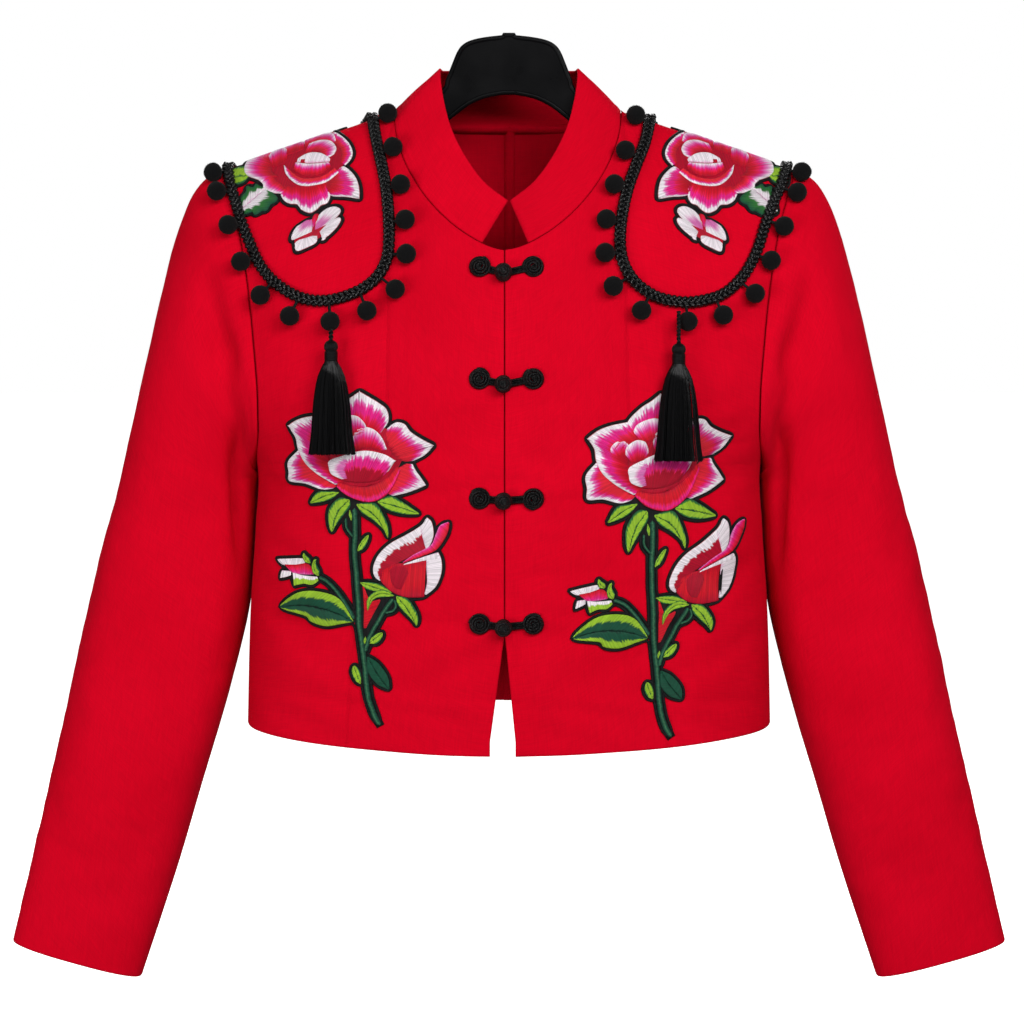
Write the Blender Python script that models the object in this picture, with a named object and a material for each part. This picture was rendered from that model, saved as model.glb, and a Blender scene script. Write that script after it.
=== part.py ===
"""Matador jacket on its hanger.

A cropped jacket of red cloth, filled out on a plain moulded hanger: two fronts, two backs, two set-in
sleeves and a stand collar, each a thin wall of its own. On it lie four frog fastenings, a plaited braid
with pompoms and a tassel on each shoulder, and four embroidered rose patches.

Metres, +Z up. The origin is the top of the hanger's socket boss. The front faces -Y, and +X is the
wearer's left. "Drop" is a distance below the origin; "down" is a distance along the cloth from the
shoulder line, to the front when positive and to the back when negative.
"""

import math

import bmesh
import bpy
import numpy as np
from mathutils import Matrix, Vector
from mathutils.bvhtree import BVHTree
from mathutils.geometry import delaunay_2d_cdt

RIGHT = -1
LEFT = 1
FRONT = 0
BACK = 1
SIDE_NAMES = {RIGHT: "right", LEFT: "left"}
FACE_NAMES = {FRONT: "front", BACK: "back"}

# ---- cloth and gaps ----
CLOTH_WALL = 0.0020
COLLAR_WALL = 0.0026
SEAM_GAP = 0.0004
COLLAR_GAP = 0.0006
SLEEVE_GAP = 0.0005
TRIM_GAP = 0.0008

# ---- body of the jacket ----
NECK_HALF = 0.083
NECK_DROP = 0.057
NECK_ROUND = 0.030
SHOULDER_HALF = 0.2085
SHOULDER_DROP = 0.1000
SHOULDER_ROUND = 0.105
UNDERARM_DROP = 0.310
HEM_DROP = 0.506
HEM_FRONT_DIP = 0.0106
HEM_HALF = 0.194
FRONT_NECK_DIP = 0.099
BACK_NECK_DIP = 0.011
SECTION_POWER = 2.6
SHOULDER_SLOPE = (SHOULDER_DROP - NECK_DROP) / (
    math.hypot(SHOULDER_HALF, NECK_ROUND) - math.hypot(NECK_HALF, NECK_ROUND)
)

# The closing line lies a little to the wearer's right and opens below the last frog.
CLOSING_X = -0.0030
CLOSING_GAP = 0.0006
OPENING_DROP = 0.430
OPENING_RIGHT = 0.0102
OPENING_LEFT = 0.0074

SECTIONS = (
    # drop, half width, front depth, back depth
    (0.050, 0.2400, 0.028, 0.0630),
    (0.110, 0.2360, 0.054, 0.0745),
    (0.160, 0.2260, 0.073, 0.0820),
    (0.220, 0.2140, 0.088, 0.0885),
    (0.270, 0.2020, 0.096, 0.0895),
    (0.310, 0.1860, 0.099, 0.0890),
    (0.360, 0.1868, 0.100, 0.0880),
    (0.410, 0.1905, 0.099, 0.0870),
    (0.520, 0.1944, 0.097, 0.0880),
)
ARMHOLE = (
    # drop, front half width, back half width
    (SHOULDER_DROP, SHOULDER_HALF, SHOULDER_HALF),
    (0.1350, 0.1965, 0.2015),
    (0.1740, 0.1885, 0.1975),
    (0.2240, 0.1830, 0.1930),
    (0.2700, 0.1805, 0.1895),
    (0.2950, 0.1820, 0.1870),
    (0.3100, 0.1860, 0.1860),
)
NECK_STEPS = (
    (0.0, 0.0163, 0.0360, 0.0545, 0.0690, 0.0785, NECK_HALF),  # front, out from the centre
    (0.0, 0.0210, 0.0420, 0.0600, 0.0745, NECK_HALF),  # back
)
SHOULDER_STEPS = (8, 7)
ARMHOLE_SHARES = (  # rows between the shoulder and the underarm, closer where the armhole turns
    0.0, 0.014, 0.048, 0.100, 0.170, 0.255, 0.350, 0.450, 0.560, 0.670, 0.780, 0.880, 0.955, 0.990, 1.0,
)
ARMHOLE_ROWS = len(ARMHOLE_SHARES) - 1
SKIRT_ROWS = 5
COLUMN_CROWDING = 1.3

# ---- collar ----
COLLAR_TOP = (
    # half width, how far back, drop; from the front end round to the centre back
    (0.0006, -0.0535, 0.1208),
    (0.0175, -0.0495, 0.1075),
    (0.0310, -0.0415, 0.0895),
    (0.0415, -0.0315, 0.0690),
    (0.0475, -0.0165, 0.0480),
    (0.0505, 0.0000, 0.0267),
    (0.0485, 0.0120, 0.0264),
    (0.0425, 0.0225, 0.0262),
    (0.0325, 0.0310, 0.0262),
    (0.0170, 0.0375, 0.0262),
    (0.0000, 0.0400, 0.0262),
)
COLLAR_BOW = 0.0008

# ---- sleeves ----
CAP_ROWS = 5
SLEEVE_RINGS = (
    # outer edge half width and drop, inner edge half width and drop, half depth, how far back, power
    (0.2812, 0.3000, 0.1880, 0.3250, 0.0520, 0.012, 3.4),
    (0.2897, 0.3360, 0.1884, 0.3600, 0.0515, 0.012, 3.4),
    (0.2995, 0.3720, 0.1903, 0.3960, 0.0500, 0.010, 3.1),
    (0.3088, 0.4110, 0.1955, 0.4330, 0.0480, 0.007, 2.8),
    (0.3230, 0.4700, 0.2110, 0.4935, 0.0440, 0.003, 2.6),
    (0.3372, 0.5300, 0.2295, 0.5550, 0.0385, 0.000, 2.5),
    (0.3520, 0.5920, 0.2485, 0.6185, 0.0320, -0.002, 2.5),
    (0.3715, 0.6722, 0.2755, 0.6995, 0.0210, -0.004, 2.5),
)

# ---- hanger ----
HANGER_HALF_THICK = 0.0060
HANGER_EDGE = 0.0022
ARM_CLEAR = 0.0036
HANGER = (
    # half width, top drop, bottom drop
    (0.0000, 0.0000, 0.0446),
    (0.0042, 0.0000, 0.0447),
    (0.0052, 0.0017, 0.0448),
    (0.0180, 0.0032, 0.0474),
    (0.0280, 0.0055, 0.0518),
    (0.0340, 0.0089, 0.0558),
    (0.0378, 0.0140, 0.0588),
    (0.0412, 0.0220, 0.0614),
    (0.0440, 0.0290, 0.0637),
    (0.0462, 0.0340, 0.0654),
    (0.0475, 0.0390, 0.0664),
    (0.0550, 0.0470, 0.0718),
    (0.0680, 0.0580, 0.0805),
    (0.0760, 0.0650, 0.0850),
    (0.0860, 0.0672, 0.0900),
)
ARM_STEPS = ((0.1150, 0.0330), (0.1500, 0.0300), (0.1800, 0.0260), (0.1870, 0.0180))  # half width, height

# ---- frog fastenings ----
FROG_KNOT_X = -0.0039
FROG_KNOT_DISC_X = -0.0207
FROG_LOOP_DISC_X = 0.0174
FROG_DROPS = (
    # discs, ball
    (0.1677, 0.1729),
    (0.2464, 0.2506),
    (0.3308, 0.3322),
    (0.4203, 0.4224),
)
FROG_DISC = ((0.0, 0.0004), (0.0066, 0.0004), (0.0074, 0.0022), (0.0060, 0.0044), (0.0, 0.0047))
FROG_BALL = (
    (0.0, 0.0034), (0.0036, 0.0042), (0.0060, 0.0064), (0.0062, 0.0088), (0.0044, 0.0112), (0.0, 0.0124),
)
FROG_SHANK = ((0.0, 0.0005), (0.0021, 0.0005), (0.0021, 0.0070), (0.0, 0.0070))
FROG_BAR = (0.0050, 0.0033, 0.0057)  # width, bottom and top height over the cloth
FROG_LOOP_BAND = (0.0062, 0.0006, 0.0028)
FROG_LOOP_RING = (0.0028, 0.0062)  # inner and outer radius
FROG_SIDES = 14
UNION_SCALE = 1000.0  # the small unions are made at this scale, where rounding does no harm

# ---- braid and pompoms ----
BRAID_WIDTH = 0.0084
BRAID_THICK = 0.0034
BRAID_RIDGE_LIFT = 0.0008  # more room where it bends over the shoulder
BRAID_ROUTE = {
    # half width and down, in millimetres, from the neck end round the front
    RIGHT: (
        (100, 1), (95, 32), (89, 65), (86, 90), (85, 114), (87, 131), (94, 141), (106, 146), (123, 146),
        (139, 141), (154, 130), (168, 114), (178, 97), (186, 76), (192, 58), (198, 36), (203, 16), (205, 1),
    ),
    LEFT: (
        (103, 1), (98, 30), (91, 54), (85, 75), (81, 95), (79, 114), (80, 129), (85, 141), (94, 148),
        (107, 151), (124, 148), (140, 140), (154, 129), (167, 111), (177, 88), (184, 64), (191, 42),
        (198, 21), (203, 1),
    ),
}
BRAID_BACK = ((201, -17), (189, -30), (170, -35), (150, -36), (130, -34), (112, -27), (103, -14))
BRAID_STEPS = 72
POMPOM_LEAD = 3
POMPOM_START = 0.0035  # from the shoulder line, along the edge
POMPOM_PITCHES = {
    # millimetres seen from the front, from the neck side round to the armhole; the tassels' cords and
    # the shoulder break the even spacing
    RIGHT: (20.5, 27, 25, 24, 24, 24, 26, 27, 26, 28, 27, 26, 13),
    LEFT: (22.5, 26, 25, 24, 24, 25, 34, 25, 26, 26, 26, 26, 13),
}
POMPOM_SHIFTS = {
    # how far each pompom hangs from its even place, in millimetres: along x, down and outward
    RIGHT: (
        (0.5, 0.5, 0), (0, 1.8, 0), (-0.4, 1.4, 0), (0.4, 0.7, 0), (1.8, 0, 0), (2.5, 2.1, 0), (1.1, 2.1, 0),
        (0, 1.8, 0), (-2.5, 0.7, 0), (-1.4, -0.4, 0), (3.0, 0.4, 3.8), (4.2, 1.6, 4.4), (2.8, 3.4, 3.4),
        (-0.7, 0.4, 0),
    ),
    LEFT: (
        (0.5, 0.4, 0), (0, 1.4, 0), (1.1, 1.1, 0.6), (0.4, 0, 0), (0, -1.1, 0), (-2.1, -0.4, 0), (-1.1, 0.4, 0),
        (-1.1, 0, 0), (-0.4, 0.7, 0), (1.8, 0.7, 0), (0, 0.4, 0), (1.1, 1.4, 0), (0.7, 2.1, 0), (1.8, 0, 0),
    ),
}
POMPOM_RADIUS = 0.0065
POMPOM_REACH = 0.0104
POMPOM_REACH_NECK = 0.0012  # further out on the neck side, closer at the armhole
POMPOM_REACH_FOOT = 0.0035  # further out at the foot of the braid
POMPOM_SIDES = 10
POMPOM_RINGS = 6

# ---- tassels ----
TASSELS = {
    # x, drop of the cord's top, of the head's top and of the skirt's foot, half width of the skirt's foot
    RIGHT: (-0.1257, 0.2180, 0.2195, 0.2995, 0.0172),
    LEFT: (0.1200, 0.1990, 0.2215, 0.3040, 0.0172),
}
TASSEL_LIFT = 0.0118
TASSEL_FOOT_LIFT = 0.0128
TASSEL_CORD_RADIUS = 0.0013
TASSEL_HEAD = ((0.0034, 0.0), (0.0047, 0.0030), (0.0036, 0.0062), (0.0050, 0.0072), (0.0048, 0.0140))
TASSEL_HEAD_LENGTH = 0.0140
TASSEL_GAP = 0.0004
TASSEL_FLATNESS = 0.38
TASSEL_SIDES = 12

# ---- patches ----
PATCH_THICK = 0.0014
PATCH_GAP = 0.0011
LEAF_STEPS = 4
LEAF_BELLY = 0.87  # under one, a leaf is widest nearer its base
ROSE_TIPS = (
    # angle in degrees, anticlockwise from the wearer's left, and reach of each petal of the chest rose
    (0, 0.0570),
    (30, 0.0400),
    (58, 0.0410),
    (90, 0.0430),
    (128, 0.0460),
    (168, 0.0580),
    (208, 0.0620),
    (238, 0.0410),
    (270, 0.0400),
    (302, 0.0420),
    (331, 0.0570),
)
SPRAY_MIDDLE = -0.1055
SPRAY_SHIFT = 0.2120
SPRAY_DRIFT = 0.020
SPRAY_TURN = 0.12
SPRAY_SINK = (0.0015, 0.0110)
SPRAY_SINK_START = 0.300
SPRAY_SINK_REACH = 0.060
SHOULDER_PATCH_MESH = 0.0075
CHEST_PATCH_MESH = 0.011

# ---- colours: base colour, roughness ----
RED_CLOTH = ((0.640, 0.002, 0.012), 0.80)
BLACK_CORD = ((0.012, 0.012, 0.013), 0.70)
BLACK_PLASTIC = ((0.010, 0.010, 0.011), 0.35)
ROSE_THREAD = ((0.720, 0.060, 0.220), 0.50)


def clear_scene():
    """Remove what the scene holds."""
    for item in list(bpy.data.objects):
        bpy.data.objects.remove(item, do_unlink=True)


def smooth_value(table, key):
    """Read a table at a key, on a smooth curve through its rows; the first column is the key."""
    rows = np.array(table, dtype=float)
    keys = rows[:, 0]
    key = min(max(key, keys[0]), keys[-1])
    row = min(max(int(np.searchsorted(keys, key, side="right")) - 1, 0), len(keys) - 2)
    slopes = np.gradient(rows, keys, axis=0)
    step = keys[row + 1] - keys[row]
    t = (key - keys[row]) / step
    start = (2 * t ** 3 - 3 * t ** 2 + 1) * rows[row] + (t ** 3 - 2 * t ** 2 + t) * step * slopes[row]
    end = (3 * t ** 2 - 2 * t ** 3) * rows[row + 1] + (t ** 3 - t ** 2) * step * slopes[row + 1]
    return (start + end)[1:]


def signed_power(value, power):
    return math.copysign(abs(value) ** power, value)


# ---- the form of the body ----
def shoulder_drop(x):
    """Drop of the shoulder line, which flattens towards the neck."""
    return NECK_DROP + SHOULDER_SLOPE * (math.hypot(x, NECK_ROUND) - math.hypot(NECK_HALF, NECK_ROUND))


def cloth_depth(x, drop, face):
    """How far the cloth stands from the shoulder plane, in front or behind."""
    half, front, back = smooth_value(SECTIONS, drop)
    reach = (front, back)[face]
    across = max(0.0, 1 - (abs(x) / half) ** SECTION_POWER) ** (1 / SECTION_POWER)
    over = min(1.0, max(0.0, (drop - shoulder_drop(x)) / SHOULDER_ROUND))
    return reach * across * math.sqrt(1 - (1 - over) ** 2)


def cloth_point(x, drop, face=FRONT):
    depth = cloth_depth(x, drop, face)
    return Vector((x, -depth if face == FRONT else depth, -drop))


def cloth_normal(x, drop, face=FRONT, reach=0.001):
    across = cloth_point(x + reach, drop, face) - cloth_point(x - reach, drop, face)
    down = cloth_point(x, drop + reach, face) - cloth_point(x, drop - reach, face)
    normal = down.cross(across).normalized()
    return normal if face == FRONT else -normal


def drape(x, down):
    """Point of the cloth a distance down from the shoulder line, and the normal there."""
    face = FRONT if down >= 0 else BACK
    ridge = shoulder_drop(x)
    spot = Vector((x, 0.0, -ridge))
    drop = ridge
    walked = 0.0
    step = 0.00002
    while walked < abs(down):
        drop += step
        nearer = cloth_point(x, drop, face)
        walked += (nearer - spot).length
        spot = nearer
        step = min(step * 1.3, 0.0008)
    normal = cloth_normal(x, max(drop, ridge + 0.0013), face)
    blend = min(1.0, abs(down) / 0.02)
    return spot, (normal * blend + Vector((0.0, 0.0, 1.0)) * (1 - blend)).normalized()


def neck_drop(x, face):
    if face == FRONT:
        return NECK_DROP + FRONT_NECK_DIP * (1 - (x / NECK_HALF) ** 1.5) ** 0.55
    return NECK_DROP + BACK_NECK_DIP * (1 - (x / NECK_HALF) ** 4)


def hem_drop(x, face):
    return HEM_DROP + (HEM_FRONT_DIP * (1 - (x / HEM_HALF) ** 1.5) if face == FRONT else 0.0)


def section_x(share, drop, face):
    """Half width at a share of the way from the centre to the side seam or the armhole."""
    half = smooth_value(SECTIONS, drop)[0]
    turn = math.pi / 2
    if drop < UNDERARM_DROP:
        edge = smooth_value(ARMHOLE, drop)[face]
        turn = math.asin(min(1.0, (edge / half)) ** (SECTION_POWER / 2))
    return half * math.sin(turn * share ** COLUMN_CROWDING) ** (2 / SECTION_POWER)


def closing_shift(drop, side):
    """Sideways place of a front's edge, from the middle."""
    opening = min(1.0, max(0.0, (drop - OPENING_DROP) / (HEM_DROP - OPENING_DROP)))
    if side == RIGHT:
        return CLOSING_X - CLOSING_GAP / 2 - OPENING_RIGHT * opening
    return CLOSING_X + CLOSING_GAP / 2 + OPENING_LEFT * opening


def row_shares():
    """Shares of a column's length at which the rows lie; the armhole ends on a row."""
    armhole = (UNDERARM_DROP - SHOULDER_DROP) / (HEM_DROP - SHOULDER_DROP)
    upper = [armhole * share for share in ARMHOLE_SHARES]
    lower = [armhole + (1 - armhole) * row / SKIRT_ROWS for row in range(1, SKIRT_ROWS + 1)]
    return upper + lower


def panel_grid(side, face):
    """Outer points of a front or a back, in rows from the top and columns from the centre."""
    neck_steps = NECK_STEPS[face]
    neck_columns = len(neck_steps) - 1
    columns = neck_columns + SHOULDER_STEPS[face]
    toward = -1 if face == FRONT else 1
    grid = []
    for share_down in row_shares():
        row = []
        for column in range(columns + 1):
            if column <= neck_columns:
                top_x = neck_steps[column]
                top_drop = neck_drop(top_x, face)
            else:
                step = (column - neck_columns) / SHOULDER_STEPS[face]
                top_x = NECK_HALF + (SHOULDER_HALF - NECK_HALF) * step
                top_drop = shoulder_drop(top_x)
            share = column / columns
            bottom = hem_drop(section_x(share, HEM_DROP, face), face)
            drop = top_drop + (bottom - top_drop) * share_down
            x = section_x(share, drop, face)
            x += (top_x - section_x(share, top_drop, face)) * (1 - share_down) ** 5
            centre = closing_shift(drop, side) if face == FRONT else side * SEAM_GAP / 2
            placed = side * x + centre * (1 - share) ** 2
            depth = max(cloth_depth(placed, drop, face), SEAM_GAP / 2)
            row.append(Vector((placed, toward * depth, -drop)))
        grid.append(row)
    return grid


def grid_normals(grid, closed, outward):
    """Unit normals of a grid; outward tells the sign at its middle."""
    rows = len(grid)
    columns = len(grid[0])
    normals = []
    for r in range(rows):
        line = []
        for c in range(columns):
            up = grid[max(r - 1, 0)][c]
            down = grid[min(r + 1, rows - 1)][c]
            if closed:
                before = grid[r][(c - 1) % columns]
                after = grid[r][(c + 1) % columns]
            else:
                before = grid[r][max(c - 1, 0)]
                after = grid[r][min(c + 1, columns - 1)]
            line.append((down - up).cross(after - before).normalized())
        normals.append(line)
    if normals[rows // 2][columns // 2].dot(outward) < 0:
        normals = [[-normal for normal in line] for line in normals]
    return normals


def flattened(normal, axis):
    """The normal with one component taken out, for the edge of a seam."""
    normal = normal.copy()
    normal[axis] = 0.0
    return normal.normalized()


def panel_normals(grid, side, face):
    toward = Vector((0.4 * side, -1.0 if face == FRONT else 1.0, 0.0))
    normals = grid_normals(grid, False, toward)
    neck_columns = len(NECK_STEPS[face]) - 1
    for line in normals:
        line[0] = flattened(line[0], 0)
    for column in range(neck_columns, len(grid[0])):
        normals[0][column] = flattened(normals[0][column], 1)
    for row in range(ARMHOLE_ROWS, len(grid)):
        normals[row][-1] = flattened(normals[row][-1], 1)
    return normals


def inner_grid(grid, normals, wall):
    return [[point - normal * wall for point, normal in zip(*lines)] for lines in zip(grid, normals)]


# ---- meshes ----
def material(name, finish):
    found = bpy.data.materials.get(name)
    if found:
        return found
    made = bpy.data.materials.new(name)
    made.use_nodes = True
    shader = made.node_tree.nodes["Principled BSDF"]
    shader.inputs["Base Color"].default_value = (*finish[0], 1.0)
    shader.inputs["Roughness"].default_value = finish[1]
    shader.inputs["Metallic"].default_value = 0.0
    return made


def add_object(name, points, faces, finish_name, finish):
    """An object of its own from points and faces, closed and facing out."""
    mesh = bpy.data.meshes.new(name)
    shape = bmesh.new()
    corners = [shape.verts.new(point) for point in points]
    for face in faces:
        shape.faces.new([corners[index] for index in face])
    bmesh.ops.recalc_face_normals(shape, faces=shape.faces)
    shape.to_mesh(mesh)
    shape.free()
    mesh.shade_smooth()
    mesh.set_sharp_from_angle(angle=math.radians(50))
    mesh.materials.append(material(finish_name, finish))
    made = bpy.data.objects.new(name, mesh)
    bpy.context.scene.collection.objects.link(made)
    return made


def wall_faces(rows, columns, closed):
    """Faces of a wall between two grids of points, the outer one first."""
    size = rows * columns
    faces = []
    spans = columns if closed else columns - 1
    for r in range(rows - 1):
        for c in range(spans):
            a = r * columns + c
            b = r * columns + (c + 1) % columns
            faces.append((a, b, b + columns, a + columns))
            faces.append((a + size, a + columns + size, b + columns + size, b + size))
    for r in (0, rows - 1):
        for c in range(spans):
            a = r * columns + c
            b = r * columns + (c + 1) % columns
            faces.append((a, a + size, b + size, b) if r == 0 else (a, b, b + size, a + size))
    if not closed:
        for r in range(rows - 1):
            for c in (0, columns - 1):
                a = r * columns + c
                b = a + columns
                faces.append((a, b, b + size, a + size) if c == 0 else (a, a + size, b + size, b))
    return faces


def add_wall(name, outer, inner, closed, finish_name, finish):
    points = [point for line in outer for point in line] + [point for line in inner for point in line]
    faces = wall_faces(len(outer), len(outer[0]), closed)
    return add_object(name, points, faces, finish_name, finish)


def turned_shape(profile, sides, flat=1.0):
    """Points and faces of a profile of (radius, height) turned about its axis, closed at both ends."""
    points = []
    rings = []
    for radius, height in profile:
        if radius == 0.0:
            rings.append([len(points)])
            points.append(Vector((0.0, 0.0, height)))
            continue
        rings.append(list(range(len(points), len(points) + sides)))
        for k in range(sides):
            turn = 2 * math.pi * k / sides
            points.append(Vector((radius * math.cos(turn), radius * flat * math.sin(turn), height)))
    faces = []
    if len(rings[0]) > 1:
        faces.append(tuple(reversed(rings[0])))
    if len(rings[-1]) > 1:
        faces.append(tuple(rings[-1]))
    for low, high in zip(rings, rings[1:]):
        for k in range(sides):
            n = (k + 1) % sides
            if len(low) == 1:
                faces.append((low[0], high[k], high[n]))
            elif len(high) == 1:
                faces.append((low[k], low[n], high[0]))
            else:
                faces.append((low[k], low[n], high[n], high[k]))
    return points, faces


def add_turned(name, profile, sides, place, finish_name, finish, flat=1.0):
    points, faces = turned_shape(profile, sides, flat)
    return add_object(name, [place @ point for point in points], faces, finish_name, finish)


def fuse(made, others, place):
    """Join other solids to one by Boolean union, take them away and put the result in its place."""
    for other in others:
        union = made.modifiers.new("join", "BOOLEAN")
        union.operation = "UNION"
        union.solver = "EXACT"
        union.object = other
    graph = bpy.context.evaluated_depsgraph_get()
    joined = bpy.data.meshes.new_from_object(made.evaluated_get(graph))
    made.modifiers.clear()
    made.data = joined
    joined.transform(place @ Matrix.Scale(1 / UNION_SCALE, 4))
    for other in others:
        bpy.data.objects.remove(other, do_unlink=True)


def frame_at(origin, normal, upward=Vector((0.0, 0.0, 1.0))):
    """A frame on the cloth: x across, y up the cloth, z out of it."""
    across = upward.cross(normal).normalized()
    up = normal.cross(across).normalized()
    turned = Matrix((across, up, normal)).transposed().to_4x4()
    return Matrix.Translation(origin) @ turned


# ---- the pieces of cloth ----
def make_panels():
    """The fronts and the backs; returns their outer points and wall directions."""
    panels = {}
    for side in (RIGHT, LEFT):
        for face in (FRONT, BACK):
            grid = panel_grid(side, face)
            panels[side, face] = (grid, panel_normals(grid, side, face))
        front_top = panels[side, FRONT][1][0]
        back_top = panels[side, BACK][1][0]
        front_corner = len(NECK_STEPS[FRONT]) - 1
        back_corner = len(NECK_STEPS[BACK]) - 1
        shared = (front_top[front_corner] + back_top[back_corner]).normalized()
        front_top[front_corner] = shared
        back_top[back_corner] = shared
        for face in (FRONT, BACK):
            grid, normals = panels[side, face]
            name = f"{FACE_NAMES[face]}_{SIDE_NAMES[side]}"
            add_wall(name, grid, inner_grid(grid, normals, CLOTH_WALL), False, "red_cloth", RED_CLOTH)
    return panels


def armhole_loop(panels, side):
    """Points of the armhole from the shoulder down the front and up the back."""
    front = [row[-1] for row in panels[side, FRONT][0][: ARMHOLE_ROWS + 1]]
    back = [row[-1] for row in panels[side, BACK][0][: ARMHOLE_ROWS + 1]]
    top = (front[0] + back[0]) / 2
    underarm = (front[-1] + back[-1]) / 2
    loop = [top] + front[1:-1] + [underarm] + back[-2:0:-1]
    return [point + Vector((side * SLEEVE_GAP, 0.0, 0.0)) for point in loop]


def loop_turns(loop):
    """Angle round the sleeve for each point of the armhole, by its distance along it."""
    lengths = [0.0]
    for a, b in zip(loop, loop[1:] + loop[:1]):
        lengths.append(lengths[-1] + (b - a).length)
    front = lengths[ARMHOLE_ROWS]
    back = lengths[-1] - front
    turns = [math.pi * length / front for length in lengths[: ARMHOLE_ROWS + 1]]
    turns += [math.pi * (1 + (length - front) / back) for length in lengths[ARMHOLE_ROWS + 1 : -1]]
    return turns


def sleeve_ring(side, ring, turns):
    """One ring of the sleeve, from its outer edge round the front."""
    outer_x, outer_drop, inner_x, inner_drop, half_depth, back, power = ring
    outer = Vector((side * outer_x, back, -outer_drop))
    inner = Vector((side * inner_x, back, -inner_drop))
    points = []
    for turn in turns:
        across = signed_power(math.cos(turn), 2 / power)
        depth = signed_power(math.sin(turn), 2 / power)
        middle = (outer + inner) / 2 + Vector((0.0, -half_depth * depth, 0.0))
        points.append(middle + (outer - inner) / 2 * across)
    return points


def cap_rows(loop, ring, below, turns, side):
    """Rows of the sleeve's head, from the armhole to the first full ring."""
    rows = []
    for step in range(1, CAP_ROWS):
        t = step / CAP_ROWS
        row = []
        for start, end, under, turn in zip(loop, ring, below, turns):
            droop = ((1 - math.cos(turn)) / 2) ** 3
            fall = droop + 0.16 * max(0.0, math.cos(turn))
            out = Vector((side * (1 - 0.75 * droop), -0.30 * math.sin(turn), -fall)).normalized()
            along = (end - under).normalized()
            first = start + out * (0.0176 + 0.0142 * math.cos(turn))
            second = end + along * (end - start).length * (0.55 + 0.15 * math.cos(turn))
            early = start * (1 - t) ** 3 + first * 3 * t * (1 - t) ** 2
            late = second * 3 * t ** 2 * (1 - t) + end * t ** 3
            row.append(early + late)
        rows.append(row)
    return rows


def make_sleeves(panels):
    """The sleeves; returns their outer points."""
    sleeves = {}
    for side in (RIGHT, LEFT):
        loop = armhole_loop(panels, side)
        turns = loop_turns(loop)
        rings = [sleeve_ring(side, ring, turns) for ring in SLEEVE_RINGS]
        grid = [loop] + cap_rows(loop, rings[0], rings[1], turns, side) + rings
        normals = grid_normals(grid, True, Vector((-side, 0.0, 0.0)))
        for k, normal in enumerate(normals[0]):
            normal.x = min(0.0, normal.x * side) * side
            normals[0][k] = normal.normalized()
        name = f"sleeve_{SIDE_NAMES[side]}"
        add_wall(name, grid, inner_grid(grid, normals, CLOTH_WALL), True, "red_cloth", RED_CLOTH)
        sleeves[side] = grid
    return sleeves


def collar_base(panels):
    """Outer points and wall directions of the neck seam, from the right end round the back."""
    base = []
    for side in (RIGHT, LEFT):
        front, front_normals = panels[side, FRONT]
        back, back_normals = panels[side, BACK]
        last_front = len(NECK_STEPS[FRONT]) - 1
        last_back = len(NECK_STEPS[BACK]) - 1
        half = [(front[0][c], front_normals[0][c]) for c in range(1, last_front)]
        half.append(((front[0][last_front] + back[0][last_back]) / 2, front_normals[0][last_front]))
        half += [(back[0][c], back_normals[0][c]) for c in range(last_back - 1, -1, -1)]
        if side == RIGHT:
            base = half
    middle = ((base[-1][0] + half[-1][0]) / 2, base[-1][1])
    return base[:-1] + [middle] + half[-2::-1]


def make_collar(panels):
    base = collar_base(panels)
    tops = [Vector((-x, back, -drop)) for x, back, drop in COLLAR_TOP]
    tops += [Vector((x, back, -drop)) for x, back, drop in COLLAR_TOP[-2::-1]]
    bottoms = []
    middles = []
    for (point, normal), top in zip(base, tops):
        rise = (top - point).normalized()
        bottoms.append(point + rise * COLLAR_GAP)
        middles.append((point + top) / 2)
    grid = [bottoms, middles, tops]
    normals = grid_normals(grid, False, Vector((0.0, 1.0, 0.0)))
    grid[1] = [point + normal * COLLAR_BOW for point, normal in zip(grid[1], normals[1])]
    normals[0] = [normal for _, normal in base]
    for line in normals[1:]:
        line[0] = flattened(line[0], 0)
        line[-1] = flattened(line[-1], 0)
    inner = inner_grid(grid, normals, COLLAR_WALL)
    add_wall("collar", grid, inner, False, "red_cloth", RED_CLOTH)


def make_hanger():
    """A moulded bar whose head shows in the neck and whose arms lie inside the shoulders."""
    stations = list(HANGER)
    stations += [
        (x, shoulder_drop(x) + ARM_CLEAR, shoulder_drop(x) + ARM_CLEAR + height) for x, height in ARM_STEPS
    ]
    stations = [(-x, top, bottom) for x, top, bottom in stations[:0:-1]] + stations
    points = []
    for x, top, bottom in stations:
        thick = HANGER_HALF_THICK
        edge = HANGER_EDGE
        for y, drop in (
            (-thick + edge, top), (thick - edge, top), (thick, top + edge), (thick, bottom - edge),
            (thick - edge, bottom), (-thick + edge, bottom), (-thick, bottom - edge), (-thick, top + edge),
        ):
            points.append(Vector((x, y, -drop)))
    count = len(stations)
    faces = [tuple(range(8)), tuple(range(8 * count - 1, 8 * count - 9, -1))]
    for k in range(count - 1):
        for c in range(8):
            a = 8 * k + c
            b = 8 * k + (c + 1) % 8
            faces.append((a, a + 8, b + 8, b))
    add_object("hanger", points, faces, "black_plastic", BLACK_PLASTIC)


# ---- frog fastenings ----
def plate(name, outline, low, high, place):
    """A flat plate from an outline of (across, up) corners."""
    count = len(outline)
    points = [place @ Vector((x, y, low)) for x, y in outline]
    points += [place @ Vector((x, y, high)) for x, y in outline]
    faces = [tuple(range(count)), tuple(range(2 * count - 1, count - 1, -1))]
    faces += [(k, (k + 1) % count, (k + 1) % count + count, k + count) for k in range(count)]
    return add_object(name, points, faces, "black_cord", BLACK_CORD)


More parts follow.
